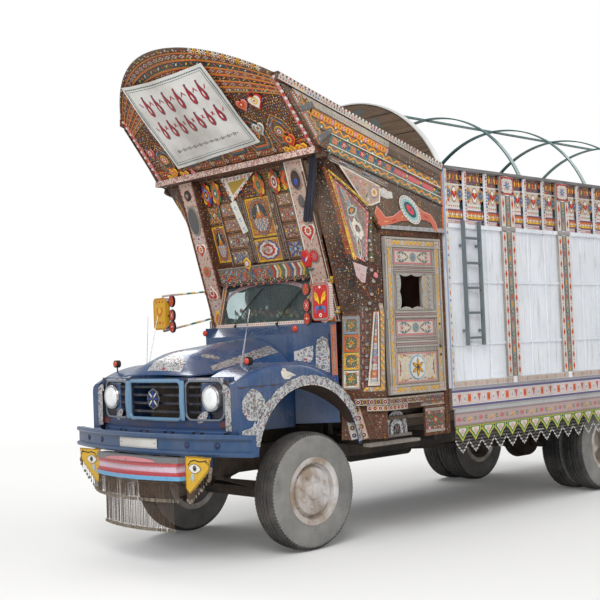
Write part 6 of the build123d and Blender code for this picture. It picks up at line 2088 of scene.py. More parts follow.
def build_sheet_steel(name):
    """White painted sheet with rust runs and grey patches; the cap along its top is bare wood."""
    made, tree, shader = new_material(name, Specular_IOR_Level=0.35)
    where = add_node(tree, "TexCoord").outputs["Object"]
    up = add_node(tree, "SeparateXYZ", Vector=where)
    runs = add_node(tree, "Mapping", Vector=where, Scale=(1.0, 6.0, 0.35))
    streak = add_node(tree, "TexNoise", Vector=runs.outputs[0], Scale=5.0, Detail=6.0, Roughness=0.7)
    streak_share = add_node(tree, "MapRange", Value=streak.outputs[0], From_Min=0.54, From_Max=0.72)
    patch = add_node(tree, "TexNoise", Vector=where, Scale=2.6, Detail=4.0)
    tone = mix_node(tree, patch.outputs[0], opaque(0.84, 0.86, 0.89), opaque(0.97, 0.98, 1.00))
    run_tone = mix_node(tree, streak_share.outputs[0], tone.outputs[2], opaque(0.74, 0.73, 0.73))
    spots = add_node(tree, "TexNoise", Vector=where, Scale=23.0, Detail=5.0, Roughness=0.75)
    spot_share = add_node(tree, "MapRange", Value=spots.outputs[0], From_Min=0.67, From_Max=0.71)
    rusty = mix_node(tree, spot_share.outputs[0], run_tone.outputs[2], opaque(0.40, 0.26, 0.19))
    space = add_node(tree, "Mapping", Vector=where, Scale=(1.0, 0.07, 1.0))
    grain = add_node(tree, "Group", {"node_tree": WOOD_GRAIN}, Vector=space.outputs[0], Fineness=70.0,
                     Dark=opaque(0.32, 0.31, 0.32), Pale=opaque(0.55, 0.53, 0.53))
    is_cap = math_node(tree, "GREATER_THAN", up.outputs[2], CAP_FOOT_UP - 0.001)
    both = mix_node(tree, is_cap.outputs[0], rusty.outputs[2], grain.outputs["Color"])
    worn(tree, shader, both.outputs[2], 0.08, 0.05, 0.50, 0.0012, linear(0.62, 0.59, 0.55),
         linear(0.36, 0.27, 0.22))
    return made


sheet_steel = build_sheet_steel("sheet_steel")
finish_nodes(("body_left_side", "body_right_side"), sheet_steel)


def box_mesh(spots, faces, low, high, bevel=0.003):
    """A box with its edges broken, given by two corners as across, behind and up."""
    middle = [(low[k] + high[k]) / 2 for k in range(3)]
    half = [(high[k] - low[k]) / 2 for k in range(3)]
    bevel = min(bevel, min(half) * 0.45)
    keys = {}
    for sx in (-1, 1):
        for sy in (-1, 1):
            for sz in (-1, 1):
                for axis in range(3):
                    out = [half[k] if k == axis else half[k] - bevel for k in range(3)]
                    keys[sx, sy, sz, axis] = len(spots)
                    spots.append((middle[0] + sx * out[0], at(middle[1] + sy * out[1]),
                                  middle[2] + sz * out[2]))
    signs = (-1, 1)
    for axis in range(3):
        other, third = [k for k in range(3) if k != axis]
        for side in signs:
            loop = []
            for a, b in ((-1, -1), (1, -1), (1, 1), (-1, 1)):
                sign = [0, 0, 0]
                sign[axis], sign[other], sign[third] = side, a, b
                loop.append(keys[(*sign, axis)])
            faces.append(loop)
        for a in signs:
            for b in signs:
                near, far = [0, 0, 0], [0, 0, 0]
                near[other] = far[other] = a
                near[third] = far[third] = b
                near[axis], far[axis] = -1, 1
                faces.append([keys[(*near, other)], keys[(*far, other)], keys[(*far, third)],
                              keys[(*near, third)]])
    for sx in signs:
        for sy in signs:
            for sz in signs:
                faces.append([keys[sx, sy, sz, axis] for axis in range(3)])


def planks(name, boxes, body, material, mirrored=False, bevel=0.003):
    """Boards or bars as one mesh, with all faces turned outwards."""
    spots, faces = [], []
    for low, high in boxes:
        box_mesh(spots, faces, low, high, bevel)
    if mirrored:
        spots = [(-x, y, z) for x, y, z in spots]
    made = plain_mesh(name, spots, faces)
    shape = bmesh.new()
    shape.from_mesh(made.data)
    bmesh.ops.recalc_face_normals(shape, faces=shape.faces)
    shape.to_mesh(made.data)
    shape.free()
    made.data.materials.append(material)
    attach(made, body)
    return made


BODY_POSTS = (1.560, 2.560, 3.560, 4.560, 5.560, 6.380)
WIDE_POSTS = BODY_POSTS[1:5]
post_wood = build_wood("post_wood", linear(0.46, 0.44, 0.42), linear(0.72, 0.70, 0.68))


def body_stakes():
    """Places of the short stakes, as their front edges."""
    places = []
    for start, end in zip(BODY_POSTS, BODY_POSTS[1:]):
        places += [start + (end - start) * count / 3 for count in (1, 2)]
    return places


post_boards = []
for place in WIDE_POSTS:
    for left, right in ((place - 0.082, place), (place + 0.060, place + 0.142)):
        post_boards.append(((SHEET_FACE + 0.0005, left, 1.362), (POST_FACE - 0.0005, right, 3.378)))
fold_bars = []
for start, end in zip(BODY_POSTS, BODY_POSTS[1:]):
    for share in (0.34, 0.66):
        place = start + 0.06 + (end - start - 0.06) * share
        for low, high in ((1.361, 1.689), (1.716, 2.289), (2.316, 2.819)):
            fold_bars.append(((SHEET_FACE, place - 0.012, low), (SHEET_FACE + 0.011, place + 0.012, high)))


def niche(sheet, left, right):
    """A niche at the top of the side: a soffit with drapes, a white panel and a band of knots below it."""
    wide = right - left

    def soffit(inner, broad, tall):
        scatter(inner, broad, tall, 0.030, (ORANGE, YELLOW, GREEN, COBALT, LACE), 1, 0.28)
        for number in range(5):
            inner.put(PETAL, broad * (number + 0.5) / 5, tall * 0.55, (tall * 0.26, 0.018),
                      (ORANGE, YELLOW)[number % 2], 2, 0, math.pi / 2 + (number - 2) * 0.18)

    def panel(inner, broad, tall):
        for side in (-1, 1):
            u = broad / 2 + side * broad * 0.33
            inner.put(ring(28), u, tall * 0.52, tall * 0.34, linear(0.84, 0.68, 0.30), 1)
            inner.put(ring(28), u, tall * 0.52, tall * 0.27, LACE, 2)
            flower(inner, u, tall * 0.52, tall * 0.22, (COBALT, SKY, WHITE), 6, 3)
            for up in (0.14, 0.86):
                inner.put(DIAMOND, u, tall * up, (tall * 0.10, tall * 0.08), (RED, ORANGE)[up > 0.5], 2)
        inner.put(ring(32), broad / 2, tall * 0.5, (broad * 0.150, tall * 0.44), CRIMSON, 2)
        inner.put(ring(32), broad / 2, tall * 0.5, (broad * 0.125, tall * 0.39), linear(0.93, 0.92, 0.90), 3)
        inner.put(HEART, broad / 2, tall * 0.50, tall * 0.24, RED, 4)
        flower(inner, broad / 2, tall * 0.56, tall * 0.09, (YELLOW, ORANGE, WHITE), 5, 5)

    def knots(inner, broad, tall):
        count = max(3, int(broad / 0.055))
        for number in range(count):
            u = broad * (number + 0.5) / count
            for shift in (-0.22, 0.22):
                inner.put(HEART, u, tall * (0.5 + shift * 0.9), tall * 0.26, (YELLOW, ORANGE)[shift > 0], 1,
                          0, math.pi if shift < 0 else 0)
            inner.put(DIAMOND, u, tall * 0.5, tall * 0.16, WHITE, 2)
            inner.put(DOT, u + broad / count / 2, tall * 0.5, tall * 0.10, linear(0.86, 0.80, 0.66), 2)

    field(sheet, oblong(left, 3.245, right, 3.376), linear(0.46, 0.28, 0.30), soffit)
    sheet.ribbon([(left, 3.242), (right, 3.242)], 0.012, WHITE, 2)
    field(sheet, oblong(left, 3.062, right, 3.236), linear(0.82, 0.77, 0.70), panel)
    strip(sheet, (left, 3.034), (right, 3.034), 0.046, linear(0.88, 0.84, 0.80),
          dotted_rows(((0.5, (RED, GREEN)),), 0.030, 0.009))
    field(sheet, oblong(left, 2.902, right, 3.004), linear(0.80, 0.52, 0.30), knots,
          linear(0.50, 0.34, 0.44))
    strip(sheet, (left, 2.880), (right, 2.880), 0.034, linear(0.80, 0.68, 0.68),
          dotted_rows(((0.5, (WHITE, RED)),), 0.026, 0.007))
    reveal = min(0.050, wide * 0.20)
    # The blue reveal is painted flat on the sheet; the darker line along its inner edge is painted shade in
    # that corner.
    field(sheet, oblong(right - reveal, 2.863, right, 3.378), linear(0.25, 0.42, 0.58))
    sheet.ribbon([(right - reveal, 2.866), (right - reveal, 3.376)], 0.004, linear(0.14, 0.24, 0.36), 5)


def diamond_rows(first=ORANGE, second=RED, pitch=0.115):
    """Upright orange lozenges in one row, each with a red heart and a dot above it."""
    def draw(sheet, wide, tall):
        count = max(1, int(wide / pitch))
        for number in range(count):
            u = wide * (number + 0.5) / count
            sheet.put(DIAMOND, u, tall / 2, (wide / count * 0.38, tall * 0.30), first, 1)
            sheet.put(DIAMOND, u, tall / 2, (wide / count * 0.20, tall * 0.16), second, 2)
            sheet.put(DOT, u + wide / count / 2, tall / 2, tall * 0.12, linear(0.20, 0.17, 0.16), 1)
    return draw


def leaf_run(tints=(YELLOW, GREEN, RED), pitch=0.075):
    """Leaves and rings in turn along the middle of a strip."""
    def draw(sheet, wide, tall):
        count = max(1, int(wide / pitch))
        for number in range(count):
            u = wide * (number + 0.5) / count
            if number % 3 == 2:
                sheet.put(ring(16), u, tall / 2, tall * 0.34, tints[1], 1)
                sheet.put(ring(16), u, tall / 2, tall * 0.22, linear(0.70, 0.68, 0.65), 2)
            else:
                sheet.put(PETAL, u, tall / 2, (pitch * 0.40, tall * 0.26), tints[number % 3 * 2 % 3], 1)
                sheet.put(PETAL, u, tall / 2, (pitch * 0.22, tall * 0.12), ORANGE, 2)
    return draw


niches = Inlay(0.0010, seed=61)
stake_paint = Inlay(0.0010, seed=62)
post_paint = Inlay(0.0010, seed=63)
POST_WIDTH, STAKE_WIDTH = 0.060, 0.036
edges = sorted([(place, place + POST_WIDTH) for place in BODY_POSTS]
               + [(place, place + STAKE_WIDTH) for place in body_stakes()])
for (before, left), (right, _) in zip(edges, edges[1:]):
    niche(niches, left + (0.084 if before in WIDE_POSTS else 0.002),
          right - (0.084 if right in WIDE_POSTS else 0.002))
for place in body_stakes():
    strip(stake_paint, (place + 0.018, 2.864), (place + 0.018, 3.376), 0.033, linear(0.86, 0.84, 0.82),
          dotted_rows(((0.5, (RED, COBALT, ORANGE)),), 0.030, 0.010))
    for v in (3.33, 3.19, 3.05, 2.92):
        stake_paint.put(ROUND, place + 0.018, v, 0.009, linear(0.13, 0.11, 0.11), 3, 0.004)

# Front post and wide posts: pale boards bolted over the joints of the sheets,
# painted in lozenges and runs of leaves, with a flowered square at the top.
strip(post_paint, (1.572, 1.300), (1.572, 3.376), 0.022, linear(0.58, 0.67, 0.80))
strip(post_paint, (1.602, 1.300), (1.602, 3.376), 0.034, linear(0.86, 0.84, 0.81),
      leaf_run((RED, COBALT, YELLOW), 0.070))
strip(post_paint, (6.410, 1.362), (6.410, 3.376), 0.056, linear(0.84, 0.82, 0.80), diamond_rows())
for place in WIDE_POSTS:
    left, right, middle = place - 0.080, place + 0.140, place + 0.030
    for low, high in ((1.362, 2.812), (2.866, 3.180)):
        for u in (left + 0.032, right - 0.032):
            strip(post_paint, (u, low), (u, high), 0.062, linear(0.88, 0.86, 0.84), diamond_rows())
        strip(post_paint, (middle, low), (middle, high), 0.070, linear(0.58, 0.57, 0.56), leaf_run(),
              linear(0.36, 0.34, 0.33))
    post_paint.ribbon([(left, 2.839), (right, 2.839)], 0.040, linear(0.62, 0.60, 0.59), 1, 0.003)

    def post_square(inner, wide, tall):
        """A blue flower in a pale square with a bolt in each corner."""
        scatter(inner, wide, tall, 0.036, (RED, PINK, ORANGE), 1, 0.20)
        flower(inner, wide / 2, tall / 2, tall * 0.28, (COBALT, SKY, WHITE), 8, 2)
        for a in (0.12, 0.88):
            for b in (0.12, 0.88):
                inner.put(ROUND, wide * a, tall * b, 0.010, linear(0.13, 0.11, 0.11), 2, 0.005)

    field(post_paint, oblong(left, 3.190, right, 3.374), linear(0.88, 0.85, 0.82), post_square, RED)

# Lower bands: the ledge under the sheets, the sill and the skirt board, all nailed wood painted in rows.
# Cut points hang along the skirt, with a netting of beaded wire under them.
ledge_paint = Inlay(0.0010, seed=64)
strip(ledge_paint, (1.565, 1.328), (6.435, 1.328), 0.058, linear(0.80, 0.77, 0.73),
      flowers_design(0.085, ((RED, WHITE, RED), (PINK, WHITE, RED)), GREEN))


def sill_design(sheet, wide, tall):
    """Orange squares, pale arches and red wedges in turn."""
    count = int(wide / 0.150)
    for number in range(count):
        u, pitch = wide * (number + 0.5) / count, wide / count
        sheet.put(ARCH, u - pitch * 0.27, tall * 0.50, (pitch * 0.15, tall * 0.30), WHITE, 1)
        sheet.put(ARCH, u - pitch * 0.27, tall * 0.46, (pitch * 0.08, tall * 0.17), linear(0.62, 0.60, 0.66),
                  2)
        if number % 2:
            sheet.put(SQUARE, u + pitch * 0.20, tall * 0.5, (pitch * 0.16, tall * 0.34), ORANGE, 1)
            flower(sheet, u + pitch * 0.20, tall * 0.5, tall * 0.18, (RED, LACE, RED), 4, 2)
        else:
            wedge = [(u + pitch * 0.03, tall * 0.86), (u + pitch * 0.37, tall * 0.86),
                     (u + pitch * 0.20, tall * 0.12)]
            sheet.shape(wedge, linear(0.80, 0.32, 0.16), 1)
            sheet.put(PETAL, u + pitch * 0.20, tall * 0.62, (tall * 0.18, 0.010), LACE, 2, 0, math.pi / 2)


sill_paint = Inlay(0.0010, seed=65)
PURPLE = linear(0.36, 0.34, 0.56)
strip(sill_paint, (1.565, 1.190), (6.435, 1.190), 0.104, linear(0.84, 0.78, 0.78), sill_design)
for v, width, tint in ((1.282, 0.024, linear(0.62, 0.62, 0.66)), (1.258, 0.016, PURPLE),
                       (1.246, 0.006, WHITE),
                       (1.133, 0.008, WHITE), (1.119, 0.016, PURPLE),
                       (1.102, 0.014, linear(0.66, 0.64, 0.64))):
    sill_paint.ribbon([(1.562, v), (6.438, v)], width, tint, 1)


def skirt_design(sheet, wide, tall):
    """Pink ovals, green rings and yellow strokes in turn on a greyish pink board."""
    count = int(wide / 0.085)
    for number in range(count):
        u = wide * (number + 0.5) / count
        if number % 4 == 0:
            sheet.put(ring(20), u, tall / 2, (0.034, tall * 0.17), linear(0.84, 0.42, 0.46), 1)
            sheet.put(ring(20), u, tall / 2, (0.018, tall * 0.07), LACE, 2)
        elif number % 2:
            sheet.put(ring(18), u, tall / 2, tall * 0.15, GREEN, 1)
            sheet.put(ring(18), u, tall / 2, tall * 0.09, linear(0.74, 0.66, 0.65), 2)
            sheet.put(DOT, u, tall / 2, tall * 0.04, YELLOW, 3)
        else:
            sheet.put(PETAL, u, tall / 2, (0.036, 0.012), YELLOW, 1, 0, 0.5)
            sheet.put(PETAL, u - 0.006, tall / 2 - 0.016, (0.026, 0.008), ORANGE, 1, 0, 0.5)


strip(sill_paint, (1.605, 1.075), (6.395, 1.075), 0.030, linear(0.72, 0.72, 0.73))
strip(sill_paint, (1.605, 0.994), (6.395, 0.994), 0.126, linear(0.72, 0.63, 0.62), skirt_design,
      linear(0.60, 0.52, 0.52))
SKIRT_PITCH = 0.200
POINT_FACE = 1.246
point_paint = Inlay(0.0008, seed=66)
for number in range(24):
    start = 1.600 + SKIRT_PITCH * number
    middle = start + SKIRT_PITCH / 2
    shield = ((0.02, 0.926), (0.98, 0.926), (0.98, 0.880), (0.78, 0.850), (0.5, 0.784), (0.22, 0.850),
              (0.02, 0.880))
    for share, tint, step in ((1.0, linear(0.78, 0.76, 0.30), 0), (0.80, linear(0.24, 0.52, 0.30), 1),
                              (0.58, (0.72, 0.66, 0.56), 2)):
        point_paint.shape([(middle + (a - 0.5) * SKIRT_PITCH * share,
                            0.890 + (v - 0.890) * share) for a, v in shield], tint, step)
    flower(point_paint, middle, 0.876, 0.030, (linear(0.86, 0.46, 0.50), WHITE, RED), 6, 3)
    point_paint.put(ROUND, start, 0.905, 0.010, linear(0.13, 0.11, 0.11), 3, 0.004)

netting = []
for number in range(24):
    start = 1.600 + SKIRT_PITCH * number
    for row in range(6):
        count = 15
        for bead in range(count):
            share = bead / (count - 1)
            edge = 0.778 + 0.104 * abs(2 * share - 1) ** 1.3
            v = edge - 0.012 - 0.016 * row + (0.004 if (bead + row) % 2 else -0.004)
            netting.append((start + SKIRT_PITCH * share, v, row == 5))


def beads(name, places, across, size, material, body, mirrored=False, tints=None):
    """Small eight-sided beads as one mesh, for chains and nets of wire."""
    spots, faces, colours = [], [], []
    for place in places:
        start = len(spots)
        u, v = place[0], place[1]
        wide = size * (1.5 if len(place) > 2 and place[2] else 1.0)
        for x, d, z in ((1, 0, 0), (-1, 0, 0), (0, 1, 0), (0, -1, 0), (0, 0, 1.5), (0, 0, -1.5)):
            spots.append(((across + x * wide * 0.7) * (-1 if mirrored else 1), at(u + d * wide),
                          v + z * wide))
        for a, b in ((2, 4), (4, 3), (3, 5), (5, 2)):
            faces += [(start, start + a, start + b), (start + 1, start + b, start + a)]
        if tints:
            colours += [tints[1] if len(place) > 2 and place[2] else tints[0]] * 8
    if mirrored:
        faces = [face[::-1] for face in faces]
    made = plain_mesh(name, spots, faces)
    if tints:
        paint_faces(made, colours)
    made.data.materials.append(material)
    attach(made, body)
    return made


for mirrored, hand in HANDS:
    planks(f"{hand}_post_boards", post_boards, "truck", post_wood, mirrored)
    planks(f"{hand}_sheet_folds", fold_bars, "truck", sheet_steel, mirrored, 0.005)
    niches.lay(f"{hand}_niche_painting", outward(SHEET_FACE), "truck", "white_panel", plain_work, mirrored)
    stake_paint.lay(f"{hand}_stake_painting", outward(STAKE_FACE), "truck", "white_panel", plain_work,
                    mirrored)
    post_paint.lay(f"{hand}_post_painting", outward(POST_FACE), "truck", "white_panel", plain_work, mirrored)
    ledge_paint.lay(f"{hand}_ledge_painting", outward(STAKE_FACE), "truck", "white_panel", plain_work,
                    mirrored)
    sill_paint.lay(f"{hand}_sill_painting", outward(POST_FACE), "truck", "skirt_board", plain_work, mirrored)
    point_paint.lay(f"{hand}_point_painting", outward(POINT_FACE), "truck", "skirt_board", plain_work,
                    mirrored)
    beads(f"{hand}_skirt_netting", netting, 1.243, 0.0058, plain_work, "truck", mirrored,
          (linear(0.42, 0.41, 0.41), linear(0.84, 0.83, 0.81)))

# Chased tin: thin bright sheet, cut in scrolls, pricked with pattern and touched with lacquer.
# It is nailed on the blue steel and follows its curve.


def build_chased_tin(name, scale=34.0):
    """Bright metal under dense scrolls in relief, with grime in its hollows and touches of lacquer."""
    made, tree, shader = new_material(name, Metallic=0.55, Specular_IOR_Level=0.55)
    where = add_node(tree, "TexCoord").outputs["Object"]
    bend = add_node(tree, "TexNoise", Vector=where, Scale=17.0, Detail=2.0)
    swirl = add_node(tree, "Mix", {"data_type": "VECTOR"}, i0=0.05, i4=where, i5=bend.outputs["Color"])
    cells = add_node(tree, "TexVoronoi", {"feature": "SMOOTH_F1"}, Vector=swirl.outputs[1], Scale=scale)
    fine = add_node(tree, "TexVoronoi", Vector=where, Scale=scale * 2.6)
    relief = math_node(tree, "SINE", math_node(tree, "MULTIPLY", cells.outputs["Distance"], 17.0).outputs[0])
    height = add_node(tree, "MapRange", Value=relief.outputs[0], From_Min=-0.9, From_Max=0.4)
    paint = add_node(tree, "Attribute", {"attribute_name": "paint"})
    tone = mix_node(tree, height.outputs[0], opaque(0.50, 0.50, 0.51), paint.outputs["Color"])
    lacquer = math_node(tree, "LESS_THAN",
                        add_node(tree, "SeparateColor", Color=fine.outputs["Color"]).outputs[0], 0.030)
    dotted = mix_node(tree, lacquer.outputs[0], tone.outputs[2], opaque(0.62, 0.24, 0.22))
    worn(tree, shader, dotted.outputs[2], 0.10, 0.04, 0.34, 0.0010, linear(0.50, 0.46, 0.42),
         linear(0.30, 0.26, 0.24))
    rise = add_node(tree, "Bump", Strength=0.6, Distance=0.0022, Height=height.outputs[0])
    held = shader.inputs["Normal"].links[0].from_socket if shader.inputs["Normal"].links else None
    if held:
        tree.links.new(held, rise.inputs["Normal"])
    tree.links.new(rise.outputs[0], shader.inputs["Normal"])
    return made


chased_tin = build_chased_tin("chased_tin")
TIN = linear(0.80, 0.80, 0.81)


def settled(tree_of, start, direction, height):
    """The point on a surface under a start, lifted off it along its own normal."""
    place, normal, _, _ = tree_of.ray_cast(Vector(start), Vector(direction))
    if place is None:
        return tuple(start)
    if normal.dot(Vector(direction)) > 0:
        normal = -normal
    return tuple(place + normal * height)


bonnet_tree = BVHTree.FromPolygons([tuple(v.co) for v in bonnet.data.vertices],
                                   [tuple(f.vertices) for f in bonnet.data.polygons])


def bonnet_surface(u, v, height):
    """The bonnet from above: across, and behind the axle."""
    return settled(bonnet_tree, (u, at(v), 2.5), (0, 0, -1), height)


def scalloped(path, width, lobes, depth):
    """A closed band along a path, with one edge plain and the other swinging in lobes."""
    plain, cut = [], []
    for number in range(len(path) * 4 - 3):
        share = number / 4
        a, b = path[int(share)], path[min(int(share) + 1, len(path) - 1)]
        t = share % 1
        wide = width[0] + (width[1] - width[0]) * number / (len(path) * 4 - 4)
        spot = (a[0] + (b[0] - a[0]) * t, a[1] + (b[1] - a[1]) * t)
        before, after = (a, b) if a != b else path[-2:]
        along_x, along_y = after[0] - before[0], after[1] - before[1]
        size = math.hypot(along_x, along_y) or 1
        swing = wide + depth * abs(math.sin(math.pi * lobes * number / (len(path) * 4 - 4)))
        plain.append(spot)
        cut.append((spot[0] - along_y / size * swing, spot[1] + along_x / size * swing))
    return plain, cut


def band_between(sheet, first, second, tint, step=0, rise=0.0, parts=3):
    """A band laid between two lines of points, in rows that follow the surface."""
    start, count = len(sheet.spots), len(first)
    base = sheet.level + step * LAYER + rise
    for row in range(parts + 1):
        share = row / parts
        sheet.add_row([(a[0] + (b[0] - a[0]) * share,
                        a[1] + (b[1] - a[1]) * share) for a, b in zip(first, second)], base)
    for row in range(parts):
        for corner in range(count - 1):
            low = start + row * count + corner
            sheet.faces.append((low, low + 1, low + count + 1, low + count))
            sheet.tints.append(tint)


def leaf_plate(sheet, u, v, size, turn, tint=TIN):
    """A cut leaf with a serrated edge and a raised rib."""
    outline = []
    for step in range(28):
        angle = 2 * math.pi * step / 28
        reach = 0.5 + 0.08 * (step % 2)
        outline.append((math.cos(angle) * reach * (1.3 if math.cos(angle) > 0 else 0.9),
                        math.sin(angle) * reach * 0.55))
    sheet.put(outline, u, v, size, tint, 0, 0, turn)
    sheet.put(PETAL, u, v, (size * 0.42, size * 0.06), WHITE, 1, 0, turn)


# Tin on the bonnet: an arched plate on its nose, a leaf beside it and a scalloped strip along each edge,
# pinned to the steel, so that they lift with it.
nose_tin = Inlay(0.002, seed=71)
nose_arch, nose_foot = [], []
for step in range(25):
    share = step / 24
    nose_arch.append((0.335 - 0.47 * share,
                      -0.900 + 0.145 * math.sin(math.pi * share) ** 0.7 + 0.006 * (step % 2)))
    nose_foot.append((0.335 - 0.47 * share, -0.918))
band_between(nose_tin, nose_foot, nose_arch, TIN, 0, 0.0, 6)
for step in range(9):
    share = (step + 0.5) / 9
    nose_tin.put(PETAL, 0.30 - 0.40 * share, -0.865 + 0.055 * math.sin(math.pi * share), (0.050, 0.011),
                 WHITE, 2, 0, math.pi / 2 + (share - 0.5) * 1.6)
nose_tin.put(PETAL, 0.09, -0.905, (0.030, 0.010), RED, 2)
leaf_plate(nose_tin, 0.330, -0.600, 0.135, 0.9)
for side in (-1, 1):
    line = [(side * (0.515 - 0.06 * k / 6), -0.700 + 0.80 * k / 6) for k in range(7)]
    first, second = scalloped(line, (0.045, 0.105), 15, 0.012)
    if side < 0:
        second = [(a[0] * 2 - b[0], b[1]) for a, b in zip(first, second)]
    band_between(nose_tin, first, second, TIN, 0)
nose_tin.lay("bonnet_tin", bonnet_surface, "bonnet", "embossed_steel", chased_tin)


# Tin on the wings: a band round each arch and a lobed medallion, pinned to the pressed steel,
# with a bird and a seam painted above the arch.
WING_FACE = 1.050
ARCH_D, ARCH_Z, ARCH_R = -0.105, 0.830, 0.590


def wing_rear_edge(up):
    """Where the wing's side ends towards the door, behind the axle."""
    return 0.560 + (0.430 - 0.560) * max(0.0, min(1.0, (up - 0.870) / 0.390)) - 0.006


wing_tin = Inlay(0.0015, seed=72)
inner_line, outer_line = [], []
for step in range(73):
    angle = math.radians(168 - 162 * step / 72)
    reach = 0.668 + 0.010 * abs(math.sin(step * 0.55)) - 0.012 * step / 72
    inner_line.append((ARCH_D + (ARCH_R + 0.003) * math.cos(angle),
                       ARCH_Z + (ARCH_R + 0.003) * math.sin(angle)))
    u, v = ARCH_D + reach * math.cos(angle), ARCH_Z + reach * math.sin(angle)
    outer_line.append((min(u, wing_rear_edge(v)), v))
band_between(wing_tin, inner_line, outer_line, TIN)
wing_tin.shape([(-0.690, 0.952), (-0.760, 0.966), (-0.800, 1.016), (-0.866, 1.052), (-0.862, 1.094),
                (-0.800, 1.104), (-0.752, 1.118), (-0.726, 1.160), (-0.686, 1.100)], TIN, 1)
for line, width in ((inner_line, 0.010), (outer_line, 0.007)):
    wing_tin.ribbon(line, width, WHITE, 2)
onion = []
for step in range(56):
    angle = 2 * math.pi * step / 56
    lobe = 1 + 0.055 * abs(math.sin(angle * 4 + 0.4))
    point = 0.14 * max(0.0, math.sin(angle)) ** 18
    onion.append((math.cos(angle) * 0.96 * lobe, math.sin(angle) * lobe + point))
for size, tint, step in ((1.0, WHITE, 0), (0.94, TIN, 1), (0.60, WHITE, 2), (0.56, TIN, 3)):
    wing_tin.put(onion, -0.732, 1.285, (0.124 * size, 0.118 * size), tint, step)
wing_tin.around(8, PETAL, -0.732, 1.285, 0.036, (0.028, 0.011), (WHITE,), 5, 0, 0)
seam = [(-0.893, 1.438), (-0.600, 1.442), (-0.420, 1.444)]
wing_paint = Inlay(0.0008, seed=73)
wing_paint.ribbon(seam, 0.005, linear(0.10, 0.12, 0.20))
for u in (-0.845, -0.640, -0.500):
    wing_paint.put(ring(14), u, 1.436, (0.022, 0.007), linear(0.32, 0.20, 0.14), 1)
bird = [(-0.080, 0.030), (-0.058, 0.062), (-0.030, 0.060), (-0.012, 0.036), (0.030, 0.024), (0.092, -0.004),
        (0.040, -0.010), (0.016, -0.030), (-0.040, -0.030), (-0.066, -0.008)]
wing_paint.shape([(-0.342 + u, 1.512 + v) for u, v in bird], WHITE, 1)
wing_paint.put(DOT, -0.388, 1.552, 0.005, RED, 2)
wing_paint.ribbon([(-0.352, 1.500), (-0.318, 1.512), (-0.280, 1.512)], 0.004, linear(0.60, 0.60, 0.62), 2)
for mirrored, hand in HANDS:
    wing_tin.lay(f"{hand}_wing_tin", outward(WING_FACE), "truck", "embossed_steel", chased_tin, mirrored)
    wing_paint.lay(f"{hand}_wing_paint", outward(WING_FACE), "truck", "body_blue", plain_work, mirrored)


# Grille: a pressed steel panel with dark bars in its mouth, enamelled deep blue and rusting in patches; the
# mouth is painted near black, for its bars and for the shade behind them.
# Pale blue bars and grey lamp frames are bolted to it, with tin bands and a cut tin star.
PANEL_HALF = 0.945
PANEL_BOW = 0.100
PANEL_FRONT = -0.950
PANEL_RADIUS = (PANEL_HALF ** 2 + PANEL_BOW ** 2) / (2 * PANEL_BOW)
MOUTH_LOW, MOUTH_HIGH = 1.172, 1.498


def panel_front(across):
    """How far behind the axle the bowed front panel stands."""
    return PANEL_FRONT + PANEL_RADIUS - math.sqrt(PANEL_RADIUS ** 2 - across ** 2)


def panel_surface(u, v, height):
    """A place on the front panel: across, height, and off it."""
    return (u, at(panel_front(u) - height), v)


def tube(path, radius, sides=8, closed=False):
    """A round tube along a path of points in space, closed at its ends."""
    points, faces = [], []
    count = len(path)
    rows = [Vector(spot) for spot in path]
    across = None
    for number, spot in enumerate(rows):
        before = rows[number - 1] if number or closed else spot
        after = rows[(number + 1) % count] if number < count - 1 or closed else spot
        ahead = (after - before).normalized()
        if across is None:
            across = ahead.orthogonal().normalized()
        across = (across - ahead * across.dot(ahead)).normalized()
        other = ahead.cross(across)
        for side in range(sides):
            angle = 2 * math.pi * side / sides
            points.append(tuple(spot + (across * math.cos(angle) + other * math.sin(angle)) * radius))
    for number in range(count if closed else count - 1):
        start, after = number * sides, (number + 1) % count * sides
        for side in range(sides):
            faces.append((start + side, start + (side + 1) % sides, after + (side + 1) % sides,
                          after + side))
    if not closed:
        faces.append(tuple(range(sides))[::-1])
        faces.append(tuple(range((count - 1) * sides, count * sides)))
    return points, faces


def framed_loop(left, right, low, high, corner, surface, height=0.0):
    """A rounded rectangle of points on a surface."""
    spots = []
    for centre_u, centre_v, turn in ((right - corner, high - corner, 0), (left + corner, high - corner, 90),
                                     (left + corner, low + corner, 180),
                                     (right - corner, low + corner, 270)):
        for step in range(6):
            angle = math.radians(turn + 18 * step)
            spots.append((centre_u + corner * math.cos(angle), centre_v + corner * math.sin(angle)))
    path = []
    for a, b in zip(spots, spots[1:] + spots[:1]):
        parts = max(1, int(math.hypot(b[0] - a[0], b[1] - a[1]) / 0.08))
        path += [surface(a[0] + (b[0] - a[0]) * k / parts, a[1] + (b[1] - a[1]) * k / parts,
                         height) for k in range(parts)]
    return path


SHARP_FROM = math.radians(38)


def ride_mesh(name, shape, material, body="truck", smooth=True):
    """A shape as a piece that rides a body, smooth but for its sharp edges."""
    made = plain_mesh(name, *shape)
    made.data.materials.append(material)
    if smooth:
        made.data.shade_smooth()
        made.data.set_sharp_from_angle(angle=SHARP_FROM)
    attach(made, body)
    return made


